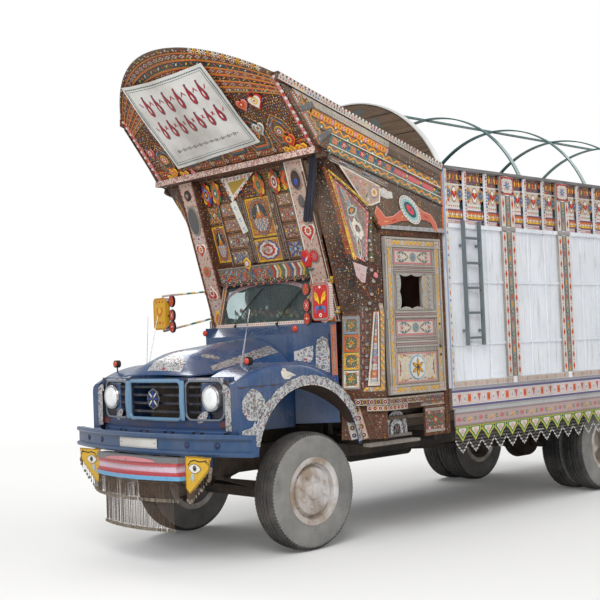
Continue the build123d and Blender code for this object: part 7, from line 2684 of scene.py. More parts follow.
def build_grille_paint(name):
    """Deep blue panel, near black inside the mouth, with rust in patches."""
    made, tree, shader = new_material(name, Specular_IOR_Level=0.5)
    where = add_node(tree, "TexCoord").outputs["Object"]
    split = add_node(tree, "SeparateXYZ", Vector=where)
    far = math_node(tree, "ABSOLUTE", split.outputs[0])
    inside = math_node(tree, "LESS_THAN", far.outputs[0], 0.895)
    above = math_node(tree, "GREATER_THAN", split.outputs[2], MOUTH_LOW)
    below = math_node(tree, "LESS_THAN", split.outputs[2], MOUTH_HIGH)
    mouth = math_node(tree, "MULTIPLY", inside.outputs[0],
                      math_node(tree, "MULTIPLY", above.outputs[0], below.outputs[0]).outputs[0])
    noise = add_node(tree, "TexNoise", Vector=where, Scale=14.0, Detail=5.0)
    rust_share = add_node(tree, "MapRange", Value=noise.outputs[0], From_Min=0.54, From_Max=0.64)
    # Inside the mouth the panel is painted near black: partly its dark bars, partly painted shade of the
    # recess behind them.
    body = mix_node(tree, mouth.outputs[0], opaque(0.13, 0.24, 0.42), opaque(0.06, 0.09, 0.17))
    rusty = mix_node(tree, rust_share.outputs[0], body.outputs[2], opaque(0.30, 0.25, 0.23))
    worn(tree, shader, rusty.outputs[2], 0.22, 0.16, 0.36, 0.0008, linear(0.46, 0.42, 0.40),
         linear(0.28, 0.18, 0.13))
    return made


grille_paint = build_grille_paint("grille_paint")
finish_nodes(("grille_panel",), grille_paint)
frames = joined(
    tube(framed_loop(-0.372, 0.372, MOUTH_LOW, MOUTH_HIGH, 0.045, panel_surface, 0.008), 0.017, 8, True),
    tube([panel_surface(-0.394, 1.172 + 0.326 * k / 8,
                        0.004 + 0.014 * math.sin(math.pi * k / 8)) for k in range(9)], 0.027, 12),
    tube([panel_surface(0.394, 1.172 + 0.326 * k / 8,
                        0.004 + 0.014 * math.sin(math.pi * k / 8)) for k in range(9)], 0.027, 12),
)
lamp_frames = joined(
    tube(framed_loop(0.418, 0.852, 1.172, 1.496, 0.070, panel_surface, 0.004), 0.010, 8, True),
    tube(framed_loop(-0.852, -0.418, 1.172, 1.496, 0.070, panel_surface, 0.004), 0.010, 8, True),
)
ride_mesh("grille_frames", frames, build_enamel("frame_blue", linear(0.38, 0.56, 0.70), 0.30, 0.34))
ride_mesh("lamp_frames", lamp_frames, build_enamel("frame_grey", linear(0.42, 0.46, 0.52), 0.40, 0.40))
nose_band = Inlay(0.0012, seed=79)
band_outer, band_inner = [], []
for step in range(15):
    angle = math.radians(6 * step)
    band_outer.append((0.958 - 0.095 * (1 - math.cos(angle)), 1.395 + 0.072 * math.sin(angle)))
    band_inner.append((0.892 - 0.040 * (1 - math.cos(angle)), 1.395 + 0.014 * math.sin(angle)))
band_between(nose_band, [(0.892, 1.090)] + band_inner, [(0.958, 1.090)] + band_outer, TIN)
nose_band.ribbon([(0.892, 1.090)] + band_inner, 0.006, WHITE, 1)
nose_band.ribbon([(0.958, 1.090)] + band_outer, 0.006, WHITE, 1)
for mirrored, hand in HANDS:
    nose_band.lay(f"{hand}_nose_tin", lambda u, v, h: (u, at(-0.895 - h), v), "truck", "embossed_steel",
                  chased_tin, mirrored)
grille_tin = Inlay(0.002, seed=74)
for side in (-1, 1):
    outer = [(side * 0.455, 1.517), (side * 0.700, 1.519), (side * 0.850, 1.516), (side * 0.915, 1.490),
             (side * 0.940, 1.420), (side * 0.941, 1.300), (side * 0.938, 1.120)]
    inner = [(side * 0.455, 1.500), (side * 0.700, 1.500), (side * 0.780, 1.498), (side * 0.845, 1.468),
             (side * 0.862, 1.410), (side * 0.864, 1.300), (side * 0.864, 1.180)]
    first, second = (outer, inner) if side < 0 else (inner, outer)
    band_between(grille_tin, first, second, TIN)
    leaf_plate(grille_tin, side * 0.60, 1.190, 0.120, 0.6)
grille_tin.lay("grille_tin", panel_surface, "truck", "embossed_steel", chased_tin)
star = Inlay(0.012, seed=75)
star.put(ring(32, 8, 0.12), 0.0, 1.345, 0.092, linear(0.42, 0.42, 0.44), 0, 0.002)
star.put(ring(32, 8, 0.12), 0.0, 1.345, 0.080, linear(0.10, 0.12, 0.18), 3)
star.around(8, PETAL, 0.0, 1.345, 0.046, (0.036, 0.013), (COBALT, TIN), 4, 0.002, 0)
star.put(ROUND, 0.0, 1.345, 0.022, linear(0.30, 0.28, 0.24), 5, 0.006)
star.lay("grille_star", panel_surface, "truck", "embossed_steel", plain_work)


# Lamps: chromed headlamps with fluted glass, amber lamps on stalks and dark red side lamps.
# Each glass is clipped in a turned rim, and a pair of thin steel aerials stands beside the bonnet.
def faced(profile, across, up, sides=36):
    """A profile of (radius, behind the axle) turned about an axis that points forward."""
    points, faces = [], []
    columns = len(profile)
    for step in range(sides):
        angle = 2 * math.pi * step / sides
        for radius, behind in profile:
            points.append((across + radius * math.cos(angle), at(behind), up + radius * math.sin(angle)))
    for step in range(sides):
        start, after = step * columns, (step + 1) % sides * columns
        for column in range(columns - 1):
            faces.append((start + column, after + column, after + column + 1, start + column + 1))
    return points, faces


chrome, tree, shader = new_material("lamp_chrome", Metallic=0.9)
where = add_node(tree, "TexCoord").outputs["Object"]
cloud = add_node(tree, "TexNoise", Vector=where, Scale=9.0, Detail=4.0)
chrome_tone = mix_node(tree, cloud.outputs[0], opaque(0.55, 0.55, 0.56), opaque(0.90, 0.90, 0.91))
worn(tree, shader, chrome_tone.outputs[2], 0.08, 0.02, 0.20, 0.0003)
finish_nodes(("headlamps",), chrome)


def build_lens(name, pale, dark, flutes=90.0, painted_glow=0.0):
    """Moulded glass: fine flutes in two tones, with a painted glow for the light the glass catches."""
    made, tree, shader = new_material(name, Specular_IOR_Level=0.6, Roughness=0.12, Coat_Weight=0.6)
    where = add_node(tree, "TexCoord").outputs["Object"]
    wave_lines = add_node(tree, "TexWave", {"bands_direction": "X"}, Vector=where, Scale=flutes)
    cloud = add_node(tree, "TexNoise", Vector=where, Scale=11.0, Detail=2.0)
    both = add_node(tree, "Mix", {"data_type": "FLOAT"}, i0=0.6, i2=wave_lines.outputs["Fac"],
                    i3=cloud.outputs[0])
    tone = mix_node(tree, both.outputs[0], (*dark, 1), (*pale, 1))
    tree.links.new(tone.outputs[2], shader.inputs["Base Color"])
    if painted_glow:
        tree.links.new(tone.outputs[2], shader.inputs["Emission Color"])
        shader.inputs["Emission Strength"].default_value = painted_glow
    rise = add_node(tree, "Bump", Strength=0.4, Distance=0.001, Height=wave_lines.outputs["Fac"])
    tree.links.new(rise.outputs[0], shader.inputs["Normal"])
    return made


# Clear and amber lenses get a faint painted glow, for light caught in the glass; the red side lamps have
# none.
clear_lens = build_lens("clear_lens", linear(0.97, 0.97, 0.96), linear(0.72, 0.74, 0.76), 90.0, 0.25)
amber_lens = build_lens("amber_lens", linear(0.90, 0.26, 0.08), linear(0.62, 0.12, 0.05), 160.0, 0.10)
red_lens = build_lens("red_lens", linear(0.46, 0.09, 0.08), linear(0.24, 0.05, 0.05), 160.0)
HEADLAMP_X, HEADLAMP_UP = 0.720, 1.350
STALK_X, STALK_UP = 0.950, 1.645
glass_profile = [(0.0, -0.9395), (0.030, -0.9385), (0.060, -0.9335), (0.082, -0.9235), (0.090, -0.912)]
glasses = joined(*(faced(glass_profile, side * HEADLAMP_X, HEADLAMP_UP) for side in (-1, 1)))
ride_mesh("headlamp_lenses", glasses, clear_lens)
stalk_glass = [(0.0, -0.7170), (0.014, -0.7155), (0.0245, -0.7090), (0.0275, -0.7045)]
stalk_rim = [(0.0275, -0.7050), (0.0345, -0.7040), (0.0350, -0.6600), (0.0260, -0.6540), (0.0, -0.6510)]
ride_mesh("stalk_lenses", joined(*(faced(stalk_glass, side * STALK_X, STALK_UP, 28) for side in (-1, 1))),
          amber_lens)
lamp_case = build_wood("lamp_case", linear(0.05, 0.05, 0.06), linear(0.13, 0.13, 0.14), (1.0, 1.0, 1.0), 0.3,
                       0.45, 9.0)
ride_mesh("stalk_cases", joined(*(faced(stalk_rim, side * STALK_X, STALK_UP, 28) for side in (-1, 1))),
          lamp_case)
side_glass = [((left, -0.884, 1.112), (left + 0.130, -0.868, 1.160)) for left in (-0.930, 0.800)]
planks("side_lamps", side_glass, "truck", red_lens, False, 0.006)
aerials = []
for side in (-1, 1):
    for shift in (0.0, 0.022):
        foot = Vector((side * (0.665 + shift), at(-0.530), 1.590))
        tip = Vector((side * (0.665 + shift * 3), at(-0.400 - shift * 3), 2.080))
        aerials.append(tube([foot, foot.lerp(tip, 0.5), tip], 0.0028, 6))
    aerials.append(tube([(side * 0.675, at(-0.530), 1.582), (side * 0.675, at(-0.527), 1.628)], 0.010, 10))
ride_mesh("aerials", joined(*aerials), chrome)


# Bumper: rolled blue steel with a rib along each edge, bolt heads and a bare white plate.
# A slotted blue sheet closes the space between it and the grille; its slots are near-black strips of painted
# shade.
BUMPER_HALF = 1.250
BUMPER_BOW = 0.210
BUMPER_FRONT = -1.140
BUMPER_RADIUS = (BUMPER_HALF ** 2 + BUMPER_BOW ** 2) / (2 * BUMPER_BOW)


def bumper_surface(u, v, height):
    """A place on the bowed bumper: across, height, and off it."""
    bow = BUMPER_RADIUS - math.sqrt(BUMPER_RADIUS ** 2 - u ** 2)
    return (u, at(BUMPER_FRONT + bow - height), v)


plate = Inlay(0.0015, seed=76)
plate.parts = 8
plate.ribbon([(-0.270, 0.985), (0.270, 0.985)], 0.084, linear(0.86, 0.85, 0.83), 0, 0.004)
for u in (-0.245, 0.245):
    plate.put(ROUND, u, 0.988, 0.006, linear(0.45, 0.44, 0.43), 4, 0.004)
for u in (-0.93, -0.62, 0.62, 0.93):
    plate.put(ring(18), u, 0.985, 0.030, linear(0.09, 0.17, 0.36), 0)
    plate.put(ROUND, u, 0.985, 0.017, linear(0.16, 0.22, 0.34), 1, 0.008)
ribs = []
for up in (0.918, 1.052):
    ribs.append(tube([bumper_surface(1.249 * k / 16, up, 0.004) for k in range(-16, 17)], 0.0215, 10))
ride_mesh("bumper_ribs", joined(*ribs), bumper_enamel)
valance_sheet = Inlay(-0.006, seed=77)
band_between(valance_sheet, [(0.93 * k / 12, 0.985) for k in range(-12, 13)],
             [(0.93 * k / 12, 1.104) for k in range(-12, 13)], linear(0.20, 0.33, 0.52))
for number in range(5):
    u = -0.72 + 0.36 * number
    # Each slot is a near-black strip: painted shade of the opening.
    valance_sheet.ribbon([(u - 0.150, 1.062), (u + 0.150, 1.062)], 0.018, linear(0.05, 0.06, 0.09), 1)
    valance_sheet.ribbon([(u - 0.150, 1.074), (u + 0.150, 1.074)], 0.006, linear(0.34, 0.46, 0.62), 1, 0.003)
valance_sheet.lay("bumper_valance", panel_surface, "truck", "body_blue", plain_work)
plate.lay("bumper_plate", bumper_surface, "truck", "bumper_blue", plain_work)

# Tray and eye boards: tin tiers painted in pink and pale blue, and yellow boards with an almond eye.
# Steel chains are hooked along them, each with a coin at its foot.


def build_banded(name, axis, bands, dust=0.14, gloss=0.42):
    """Enamel in bands of colour along one axis, each band given by where it starts."""
    made, tree, shader = new_material(name, Specular_IOR_Level=0.45)
    where = add_node(tree, "TexCoord").outputs["Object"]
    split = add_node(tree, "SeparateXYZ", Vector=where)
    noise = add_node(tree, "TexNoise", Vector=where, Scale=60.0, Detail=3.0)
    tone = None
    for start, colour in bands:
        if tone is None:
            tone = (*colour, 1)
            continue
        over = math_node(tree, "GREATER_THAN", split.outputs[axis], start)
        tone = mix_node(tree, over.outputs[0], tone, (*colour, 1)).outputs[2]
    grit = mix_node(tree, 0.35, tone, noise.outputs[0], blend_type="OVERLAY")
    worn(tree, shader, grit.outputs[2], dust, 0.06, gloss, 0.0006)
    return made


tray_paint = build_banded("tray_paint", 2, (
    (0, linear(0.42, 0.66, 0.82)), (0.7345, linear(0.74, 0.30, 0.33)), (0.7625, linear(0.84, 0.74, 0.80)),
    (0.8115, linear(0.76, 0.34, 0.36)), (0.8405, linear(0.46, 0.46, 0.47))))
finish_nodes(("bumper_tray",), tray_paint)
hump = Inlay(0.001, seed=80)
hump_foot = [(0.37 * (1 - k / 14), 0.845) for k in range(29)]
hump_arch = [(u, 0.845 + 0.038 * math.sqrt(1 - (u / 0.37) ** 2)) for u, v in hump_foot]
band_between(hump, hump_arch, hump_foot, linear(0.84, 0.55, 0.58), 0, 0.003)
board_yellow = build_banded("board_yellow", 2, ((0, linear(0.86, 0.68, 0.14)),), 0.16, 0.34)
finish_nodes(("eye_boards",), board_yellow)
EYE_FACE = -1.118


def forward(behind):
    """An upright surface that faces forward: across, height, and depth off it."""
    def surface(u, v, height):
        return (u, at(behind - height), v)
    return surface


eye = Inlay(0.001, seed=81)
rim = [(0.630, 0.895), (0.940, 0.895), (0.921, 0.803), (0.729, 0.645), (0.670, 0.606), (0.630, 0.642)]
eye.ribbon(rim, 0.007, linear(0.62, 0.44, 0.08), 0, 0, True)
almond = []
for step in range(32):
    angle = 2 * math.pi * step / 32
    almond.append((math.cos(angle), math.sin(angle) * (1 - 0.55 * math.cos(angle) ** 2)))
for size, tint, step in ((1.10, UMBER, 1), (1.0, linear(0.92, 0.90, 0.88), 2)):
    eye.put(almond, 0.748, 0.805, (0.078 * size, 0.036 * size), tint, step)
eye.put(ring(24), 0.752, 0.808, 0.023, linear(0.30, 0.36, 0.20), 3)
eye.put(ring(24), 0.752, 0.808, 0.012, linear(0.03, 0.03, 0.03), 4)
eye.put(DOT, 0.758, 0.815, 0.004, WHITE, 5)
eye.ribbon([(0.664, 0.828), (0.700, 0.862), (0.750, 0.872), (0.810, 0.862), (0.890, 0.872)], 0.009, UMBER, 1)
for reach in range(3):
    eye.ribbon([(0.885, 0.868), (0.905 + 0.012 * reach, 0.885 - 0.020 * reach)], 0.006, UMBER, 1)
eye.put(DROP, 0.722, 0.738, (0.022, 0.028), linear(0.72, 0.80, 0.84), 2)
eye.put(DOT, 0.700, 0.722, 0.010, linear(0.72, 0.80, 0.84), 2)
for mirrored, hand in HANDS:
    eye.lay(f"{hand}_eye_painting", forward(EYE_FACE), "truck", "board_yellow", plain_work, mirrored)


def link(points, faces, spot, long, wide, turn):
    """One slim link of chain, hanging, turned a quarter from the one above."""
    start = len(points)
    x, d, z = spot
    for a, b, c in ((wide, 0.3 * wide, 0), (-wide, -0.3 * wide, 0), (0.3 * wide, -wide, 0),
                    (-0.3 * wide, wide, 0), (0, 0, long), (0, 0, -long)):
        if turn:
            a, b = -b, a
        points.append((x + a * 0.7, at(d + b * 0.7), z + c))
    for a, b in ((0, 2), (2, 1), (1, 3), (3, 0)):
        faces += [(start + a, start + b, start + 4), (start + b, start + a, start + 5)]


def coin(points, faces, spot, radius, turn):
    """A thin round coin that hangs from its upper edge."""
    start = len(points)
    x, d, z = spot
    for side in (-1, 1):
        for step in range(10):
            angle = 2 * math.pi * step / 10
            a, c = radius * math.cos(angle), radius * math.sin(angle)
            points.append((x + a * math.cos(turn) - side * 0.0012 * math.sin(turn),
                           at(d + a * math.sin(turn) + side * 0.0012 * math.cos(turn)), z + c))
    faces.append(tuple(range(start, start + 10)))
    faces.append(tuple(range(start + 10, start + 20))[::-1])
    for step in range(10):
        after = (step + 1) % 10
        faces.append((start + step, start + 10 + step, start + 10 + after, start + after))


def tray_bow(across, half, front, end):
    """How far behind the axle a tier of the tray stands, on its arc."""
    depth = end - front
    radius = (half * half + depth * depth) / (2 * depth)
    return front + radius - math.sqrt(max(radius * radius - across * across, 0))


TRAY_HALF, TRAY_FRONT, TRAY_END = 0.590, -1.254, -1.160
# for each tier: its half width, where its front and its ends stand, how low its chains hang
FRINGE_TIERS = ((TRAY_HALF, TRAY_FRONT, TRAY_END, 0.520), (0.500, -1.236, -1.150, 0.275))
sway = random.Random(82)
chain_points, chain_faces, coin_points, coin_faces = [], [], [], []
for half, front, end, foot in FRINGE_TIERS:
    strands = int(2 * (half - 0.014) / 0.0140)
    for strand in range(strands + 1):
        across = (strand / strands * 2 - 1) * (half - 0.014)
        depth = tray_bow(across, half, front, end) + 0.005
        up = 0.694
        long = foot + 0.026 + sway.uniform(-0.006, 0.010)
        count = int((up - long) / 0.0125)
        lean = sway.uniform(-0.006, 0.006)
        for number in range(count):
            share = number / count
            spot = (across + lean * share, depth + sway.uniform(-0.0006, 0.0006), up - (up - long) * share)
            link(chain_points, chain_faces, spot, 0.0088, 0.0068, number % 2)
        coin(coin_points, coin_faces, (across + lean, depth, foot + 0.016), 0.0155, sway.uniform(-0.8, 0.8))
for side in (-1, 1):
    edge = [(0.945, 0.885), (0.925, 0.800), (0.730, 0.640), (0.670, 0.600), (0.632, 0.620)]
    for number in range(24):
        share = number / 23 * (len(edge) - 1)
        a, b = edge[min(int(share), len(edge) - 2)], edge[min(int(share), len(edge) - 2) + 1]
        t = share - min(int(share), len(edge) - 2)
        x, z = a[0] + (b[0] - a[0]) * t, a[1] + (b[1] - a[1]) * t
        for step in range(4):
            link(chain_points, chain_faces, (side * x, -1.111, z - 0.008 - 0.013 * step), 0.0088, 0.0068,
                 step % 2)
        coin(coin_points, coin_faces, (side * x, -1.111, z - 0.072), 0.0150, sway.uniform(-0.8, 0.8))
chain_steel = build_wood("chain_steel", linear(0.24, 0.19, 0.15), linear(0.44, 0.36, 0.30), (1.0, 1.0, 1.0),
                         0.35, 0.55, 45.0)
coin_steel = build_wood("coin_steel", linear(0.34, 0.30, 0.26), linear(0.60, 0.56, 0.50), (1.0, 1.0, 1.0),
                        0.30, 0.42, 60.0)
strip_points = []
for k in range(-20, 21):
    across = TRAY_HALF * k / 20
    strip_points.append((across, at(tray_bow(across, TRAY_HALF, TRAY_FRONT, TRAY_END) + 0.004)))
strip_shape = joined(*(tube([(x, y, up) for x, y in strip_points], 0.0045, 6) for up in (0.696, 0.683)))
chains = ride_mesh("fringe_chains", joined((chain_points, chain_faces), strip_shape), chain_steel)
ride_mesh("fringe_coins", (coin_points, coin_faces), coin_steel, "truck", False)
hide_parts("tray_fringe")
hump.lay("tray_hump", lambda u, v, h: (u, at(tray_bow(u, 0.590, -1.256, -1.165) - h), v), "truck",
         "tray_paint", plain_work)

# Windscreen: one pane in a painted wooden frame, with dotted strips and an arched band on the glass.
# Wipers are screwed to its foot, and cloth flowers stand on the dashboard behind it.
window_glass, tree, shader = new_material("window_glass", Transmission_Weight=0.92, IOR=1.12, Roughness=0.03,
                                          Specular_IOR_Level=0.8)
where = add_node(tree, "TexCoord").outputs["Object"]
smear = add_node(tree, "TexNoise", Vector=where, Scale=3.5, Detail=5.0)
glass_tone = mix_node(tree, smear.outputs[0], opaque(0.62, 0.70, 0.70), opaque(0.80, 0.86, 0.86))
tree.links.new(glass_tone.outputs[2], shader.inputs["Base Color"])
dust_share = add_node(tree, "MapRange", Value=smear.outputs[0], From_Min=0.35, From_Max=0.85, To_Min=0.02,
                      To_Max=0.22)
tree.links.new(dust_share.outputs[0], shader.inputs["Roughness"])
finish_nodes(("windscreen_glass",), window_glass)
frame_wood = build_wood("frame_wood", linear(0.34, 0.24, 0.19), linear(0.50, 0.38, 0.30), (0.07, 1.0, 1.0),
                        0.3, 0.6)
finish_nodes(("windscreen_frame",), frame_wood)


SCREEN_BACK = 0.300
SCREEN_FOOT = 1.950
SCREEN_LEAN = 0.2607


def screen_surface(u, v, height):
    """The front of the windscreen's frame, which leans back."""
    return (u, at(SCREEN_BACK + SCREEN_LEAN * (v - SCREEN_FOOT) - height), v)


screen = Inlay(0.001, seed=85)
strip(screen, (-0.652, 1.967), (0.652, 1.967), 0.030, WHITE,
      dotted_rows(((0.5, (RED, RED, COBALT)),), 0.030, 0.008))
strip(screen, (-0.652, 2.401), (0.652, 2.401), 0.028, linear(0.80, 0.62, 0.30),
      dotted_rows(((0.5, (RED, WHITE, GREEN)),), 0.026, 0.007))
for side in (-1, 1):
    strip(screen, (side * 0.622, 1.985), (side * 0.622, 2.385), 0.050, linear(0.62, 0.42, 0.22),
          flowers_design(0.070, ((RED, YELLOW, RED), (COBALT, WHITE, RED)), GREEN), WHITE)
screen.lay("windscreen_painting", screen_surface, "truck", "crown_board", plain_work)
pane = Inlay(-0.013, seed=86)
pane.parts = 4
arch_line = [(0.575 * math.cos(math.pi * k / 24),
              2.215 + 0.150 * math.sin(math.pi * k / 24)) for k in range(25)]
pane.ribbon(arch_line, 0.034, linear(0.58, 0.50, 0.54), 0)
for u, v, _, number in along(arch_line, 0.034):
    pane.put(DOT, u, v, 0.008, (CRIMSON, LACE, BROWN)[number % 3], 1)
    pane.put(PETAL, u, v + (0.010 if number % 2 else -0.010), (0.009, 0.004), (LACE, RED)[number % 2], 1)
pane.lay("windscreen_arch", screen_surface, "truck", "crown_board", plain_work)
wipers = []
for x in (-0.36, 0.24):
    pivot, joint, tip = (x, 1.962), (x + 0.11, 2.100), (x + 0.23, 2.245)
    wipers.append(tube([screen_surface(*pivot, 0.002), screen_surface(*pivot, 0.020)], 0.011, 10))
    wipers.append(tube([screen_surface(*pivot, 0.018), screen_surface(*joint, 0.020),
                        screen_surface(*tip, 0.006)], 0.0042, 6))
    wipers.append(tube([screen_surface(tip[0] - 0.165, tip[1] - 0.150, 0.000),
                        screen_surface(tip[0] + 0.075, tip[1] + 0.068, 0.000)],
                       0.0050, 6))
ride_mesh("wipers", joined(*wipers), lamp_case)


def blossom(points, faces, tints, spot, size, tint):
    """A small cloth flower: a cup of petals round a pale eye."""
    petals = 7
    start = len(points)
    x, d, z = spot
    points.append((x, at(d - size * 0.35), z))
    tints_before = len(faces)
    for petal in range(petals):
        for share, reach, lift in ((0.0, 0.55, 0.30), (0.5, 1.0, 0.05)):
            angle = 2 * math.pi * (petal + share) / petals
            points.append((x + size * reach * math.cos(angle), at(d - size * lift),
                           z + size * reach * math.sin(angle)))
    for petal in range(petals):
        near, tip = start + 1 + petal * 2, start + 2 + petal * 2
        after = start + 1 + (petal * 2 + 2) % (petals * 2)
        faces += [(start, near, tip), (start, tip, after)]
    tints += [tint] * (len(faces) - tints_before)


posy = random.Random(87)
posy_points, posy_faces, posy_tints = [], [], []
for number in range(46):
    x = -0.50 + 1.0 * number / 45 + posy.uniform(-0.012, 0.012)
    z = 2.000 + 0.075 * abs(math.sin(number * 0.75)) + posy.uniform(-0.03, 0.05)
    size = posy.uniform(0.016, 0.030)
    blossom(posy_points, posy_faces, posy_tints, (x, 0.392, z), size,
            posy.choice((WHITE, YELLOW, RED, PINK, CORAL, LACE)))
    stem_points, stem_faces = tube([(x * 0.96, at(0.388), 1.828), (x, at(0.396), z)], 0.003, 5)
    shift = len(posy_points)
    posy_points += stem_points
    posy_faces += [tuple(corner + shift for corner in face) for face in stem_faces]
    posy_tints += [GREEN] * len(stem_faces)
    for leaf in range(3):
        u, v = x + posy.uniform(-0.03, 0.03), posy.uniform(1.85, z)
        start = len(posy_points)
        posy_points += [(u, at(0.392), v), (u + 0.020, at(0.386), v + 0.016),
                        (u + 0.006, at(0.390), v + 0.044), (u - 0.012, at(0.394), v + 0.022)]
        posy_faces.append((start, start + 1, start + 2, start + 3))
        posy_tints.append((GREEN, DARK_TEAL, linear(0.30, 0.44, 0.16))[leaf])
posy_mesh = plain_mesh("dashboard_flowers", posy_points, posy_faces)
paint_faces(posy_mesh, posy_tints)
posy_mesh.data.materials.append(plain_work)
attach(posy_mesh, "truck")

# Mirrors: a red and a yellow case of pressed tin, each with a painted back and silvered glass,
# held by clamps on tubes striped in enamel.
MIRROR_BACK = -0.025
MIRROR_X = 1.145
stripes, tree, shader = new_material("mirror_paint", Specular_IOR_Level=0.45)
where = add_node(tree, "TexCoord").outputs["Object"]
split = add_node(tree, "SeparateXYZ", Vector=where)
far = math_node(tree, "ABSOLUTE", split.outputs[0])
turn_share = math_node(tree, "FRACT", math_node(tree, "MULTIPLY", far.outputs[0], 14.0).outputs[0])
tone = opaque(0.90, 0.88, 0.84)
for start, colour in ((0.33, linear(0.86, 0.66, 0.14)), (0.66, linear(0.14, 0.46, 0.44))):
    over = math_node(tree, "GREATER_THAN", turn_share.outputs[0], start)
    tone = mix_node(tree, over.outputs[0], tone, (*colour, 1)).outputs[2]
is_case = math_node(tree, "GREATER_THAN", far.outputs[0], 1.040)
grooves = add_node(tree, "TexWave", {"bands_direction": "Z"}, Vector=where, Scale=22.0)
is_side = math_node(tree, "GREATER_THAN", split.outputs[1], at(MIRROR_BACK) + 0.003)
side_tone = mix_node(tree, grooves.outputs["Fac"], opaque(0.62, 0.44, 0.42), opaque(0.86, 0.82, 0.78))
is_right = math_node(tree, "LESS_THAN", split.outputs[0], 0.0)
back_tone = mix_node(tree, is_right.outputs[0], opaque(0.76, 0.12, 0.12), opaque(0.84, 0.64, 0.12))
case_tone = mix_node(tree, is_side.outputs[0], back_tone.outputs[2], side_tone.outputs[2])
all_tones = mix_node(tree, is_case.outputs[0], tone, case_tone.outputs[2])
worn(tree, shader, all_tones.outputs[2], 0.12, 0.04, 0.38, 0.0006)
finish_nodes(("mirrors",), stripes)
mirror_back = Inlay(0.001, seed=88)
corner_loop = framed_loop(1.050, 1.240, 1.972, 2.268, 0.035, lambda u, v, h: (u, v))
mirror_back.ribbon(corner_loop, 0.014, LACE, 0, 0, True)
WING = [(0.004, -0.014), (0.018, 0.030), (0.034, 0.062), (0.060, 0.082), (0.072, 0.074), (0.066, 0.056),
        (0.074, 0.044), (0.062, 0.030), (0.066, 0.016), (0.050, 0.006), (0.030, -0.006), (0.014, -0.030)]
LOBE = [(0.010, -0.050), (0.034, -0.036), (0.060, -0.046), (0.070, -0.072), (0.058, -0.098), (0.040, -0.104),
        (0.050, -0.082), (0.042, -0.066), (0.024, -0.066), (0.018, -0.084)]
for side in (-1, 1):
    for outline, tint, step in ((WING, YELLOW, 1), (LOBE, linear(0.34, 0.44, 0.70), 1)):
        mirror_back.shape([(MIRROR_X + side * u,
                            2.125 + v) for u, v in (outline if side > 0 else outline[::-1])], tint, step)
    mirror_back.put(PETAL, MIRROR_X + side * 0.044, 2.174, (0.024, 0.007), ORANGE, 3, 0,
                    math.pi / 2 - side * 0.6)
    for spoke in range(5):
        angle = math.radians(90 - side * (16 + 17 * spoke))
        mirror_back.put(PETAL, MIRROR_X + math.cos(angle) * (0.088 - 0.004 * spoke),
                        2.165 + math.sin(angle) * 0.074, (0.014, 0.004), LACE, 1, 0, angle)
mirror_back.put(PETAL, MIRROR_X, 2.128, (0.030, 0.007), BROWN, 4, 0.002, math.pi / 2)
mirror_back.put(ring(18), MIRROR_X, 2.068, 0.020, TEAL, 2)
mirror_back.put(ring(18), MIRROR_X, 2.006, 0.017, WHITE, 1)
mirror_back.put(DOT, MIRROR_X, 2.006, 0.008, BROWN, 2)
mirror_back.put(ring(18), MIRROR_X, 2.244, 0.012, WHITE, 1)
plain_back = Inlay(0.001, seed=90)
plain_back.ribbon(corner_loop, 0.010, OCHRE, 0, 0, True)
plain_back.put(HEART, MIRROR_X, 2.140, (0.052, 0.060), (0.70, 0.16, 0.03), 1)
plain_back.put(ring(18), MIRROR_X, 2.150, (0.026, 0.030), YELLOW, 2)
for up in (2.030, 2.240):
    for side in (-1, 0, 1):
        plain_back.put(DISC, MIRROR_X + side * 0.050, up, 0.012, (ORANGE, RED, ORANGE)[side + 1], 1)
mirror_glass = Inlay(0.001, seed=89)
mirror_glass.shape([(u, v) for u, v in framed_loop(1.058, 1.232, 1.980, 2.260, 0.030,
                                                   lambda u, v, h: (u, v))], SKY)


def backward(behind):
    """An upright surface that faces the rear."""
    def surface(u, v, height):
        return (u, at(behind + height), v)
    return surface


silvered, tree, shader = new_material("mirror_silver", Metallic=1.0)
where = add_node(tree, "TexCoord").outputs["Object"]
haze = add_node(tree, "TexNoise", Vector=where, Scale=8.0, Detail=4.0)
haze_tone = mix_node(tree, haze.outputs[0], opaque(0.80, 0.82, 0.83), opaque(0.93, 0.94, 0.95))
worn(tree, shader, haze_tone.outputs[2], 0.05, 0.01, 0.06, 0.0001)
for mirrored, hand in HANDS:
    (plain_back if mirrored else mirror_back).lay(f"{hand}_mirror_painting", forward(MIRROR_BACK), "truck",
                                                  "mirror_case", plain_work, mirrored)
    mirror_glass.lay(f"{hand}_mirror_glass", backward(0.025), "truck", "mirror_case", silvered, mirrored)

# Reflectors: three oval red discs, each painted with a flower and pressed into a dark cup,
# on short arms from the inner edge of each mirror's case.
REFLECTOR_X = 0.962
REFLECTOR_UPS = (2.238, 2.098, 1.985)
cups, arms = [], []
for up in REFLECTOR_UPS:
    cup = []
    for reach, depth in ((0.55, 0.012), (1.0, 0.006), (1.06, -0.006), (1.0, -0.016), (0.90, -0.018),
                         (0.86, -0.012)):
        cup.append([(REFLECTOR_X + 0.042 * reach * math.cos(math.pi * k / 14), at(depth),
                     up + 0.058 * reach * math.sin(math.pi * k / 14))
                    for k in range(28)])
    cup_faces = [(row * 28 + k, row * 28 + (k + 1) % 28, (row + 1) * 28 + (k + 1) % 28, (row + 1) * 28 + k)
                 for row in range(5) for k in range(28)]
    cups.append((sum(cup, []), cup_faces + [tuple(range(28))[::-1], tuple(range(140, 168))]))
    arms.append(tube([(1.000, at(0.0), up), (1.044, at(0.0), min(up, 2.235))], 0.007, 8))
disc_paint = Inlay(0.0006, seed=92)
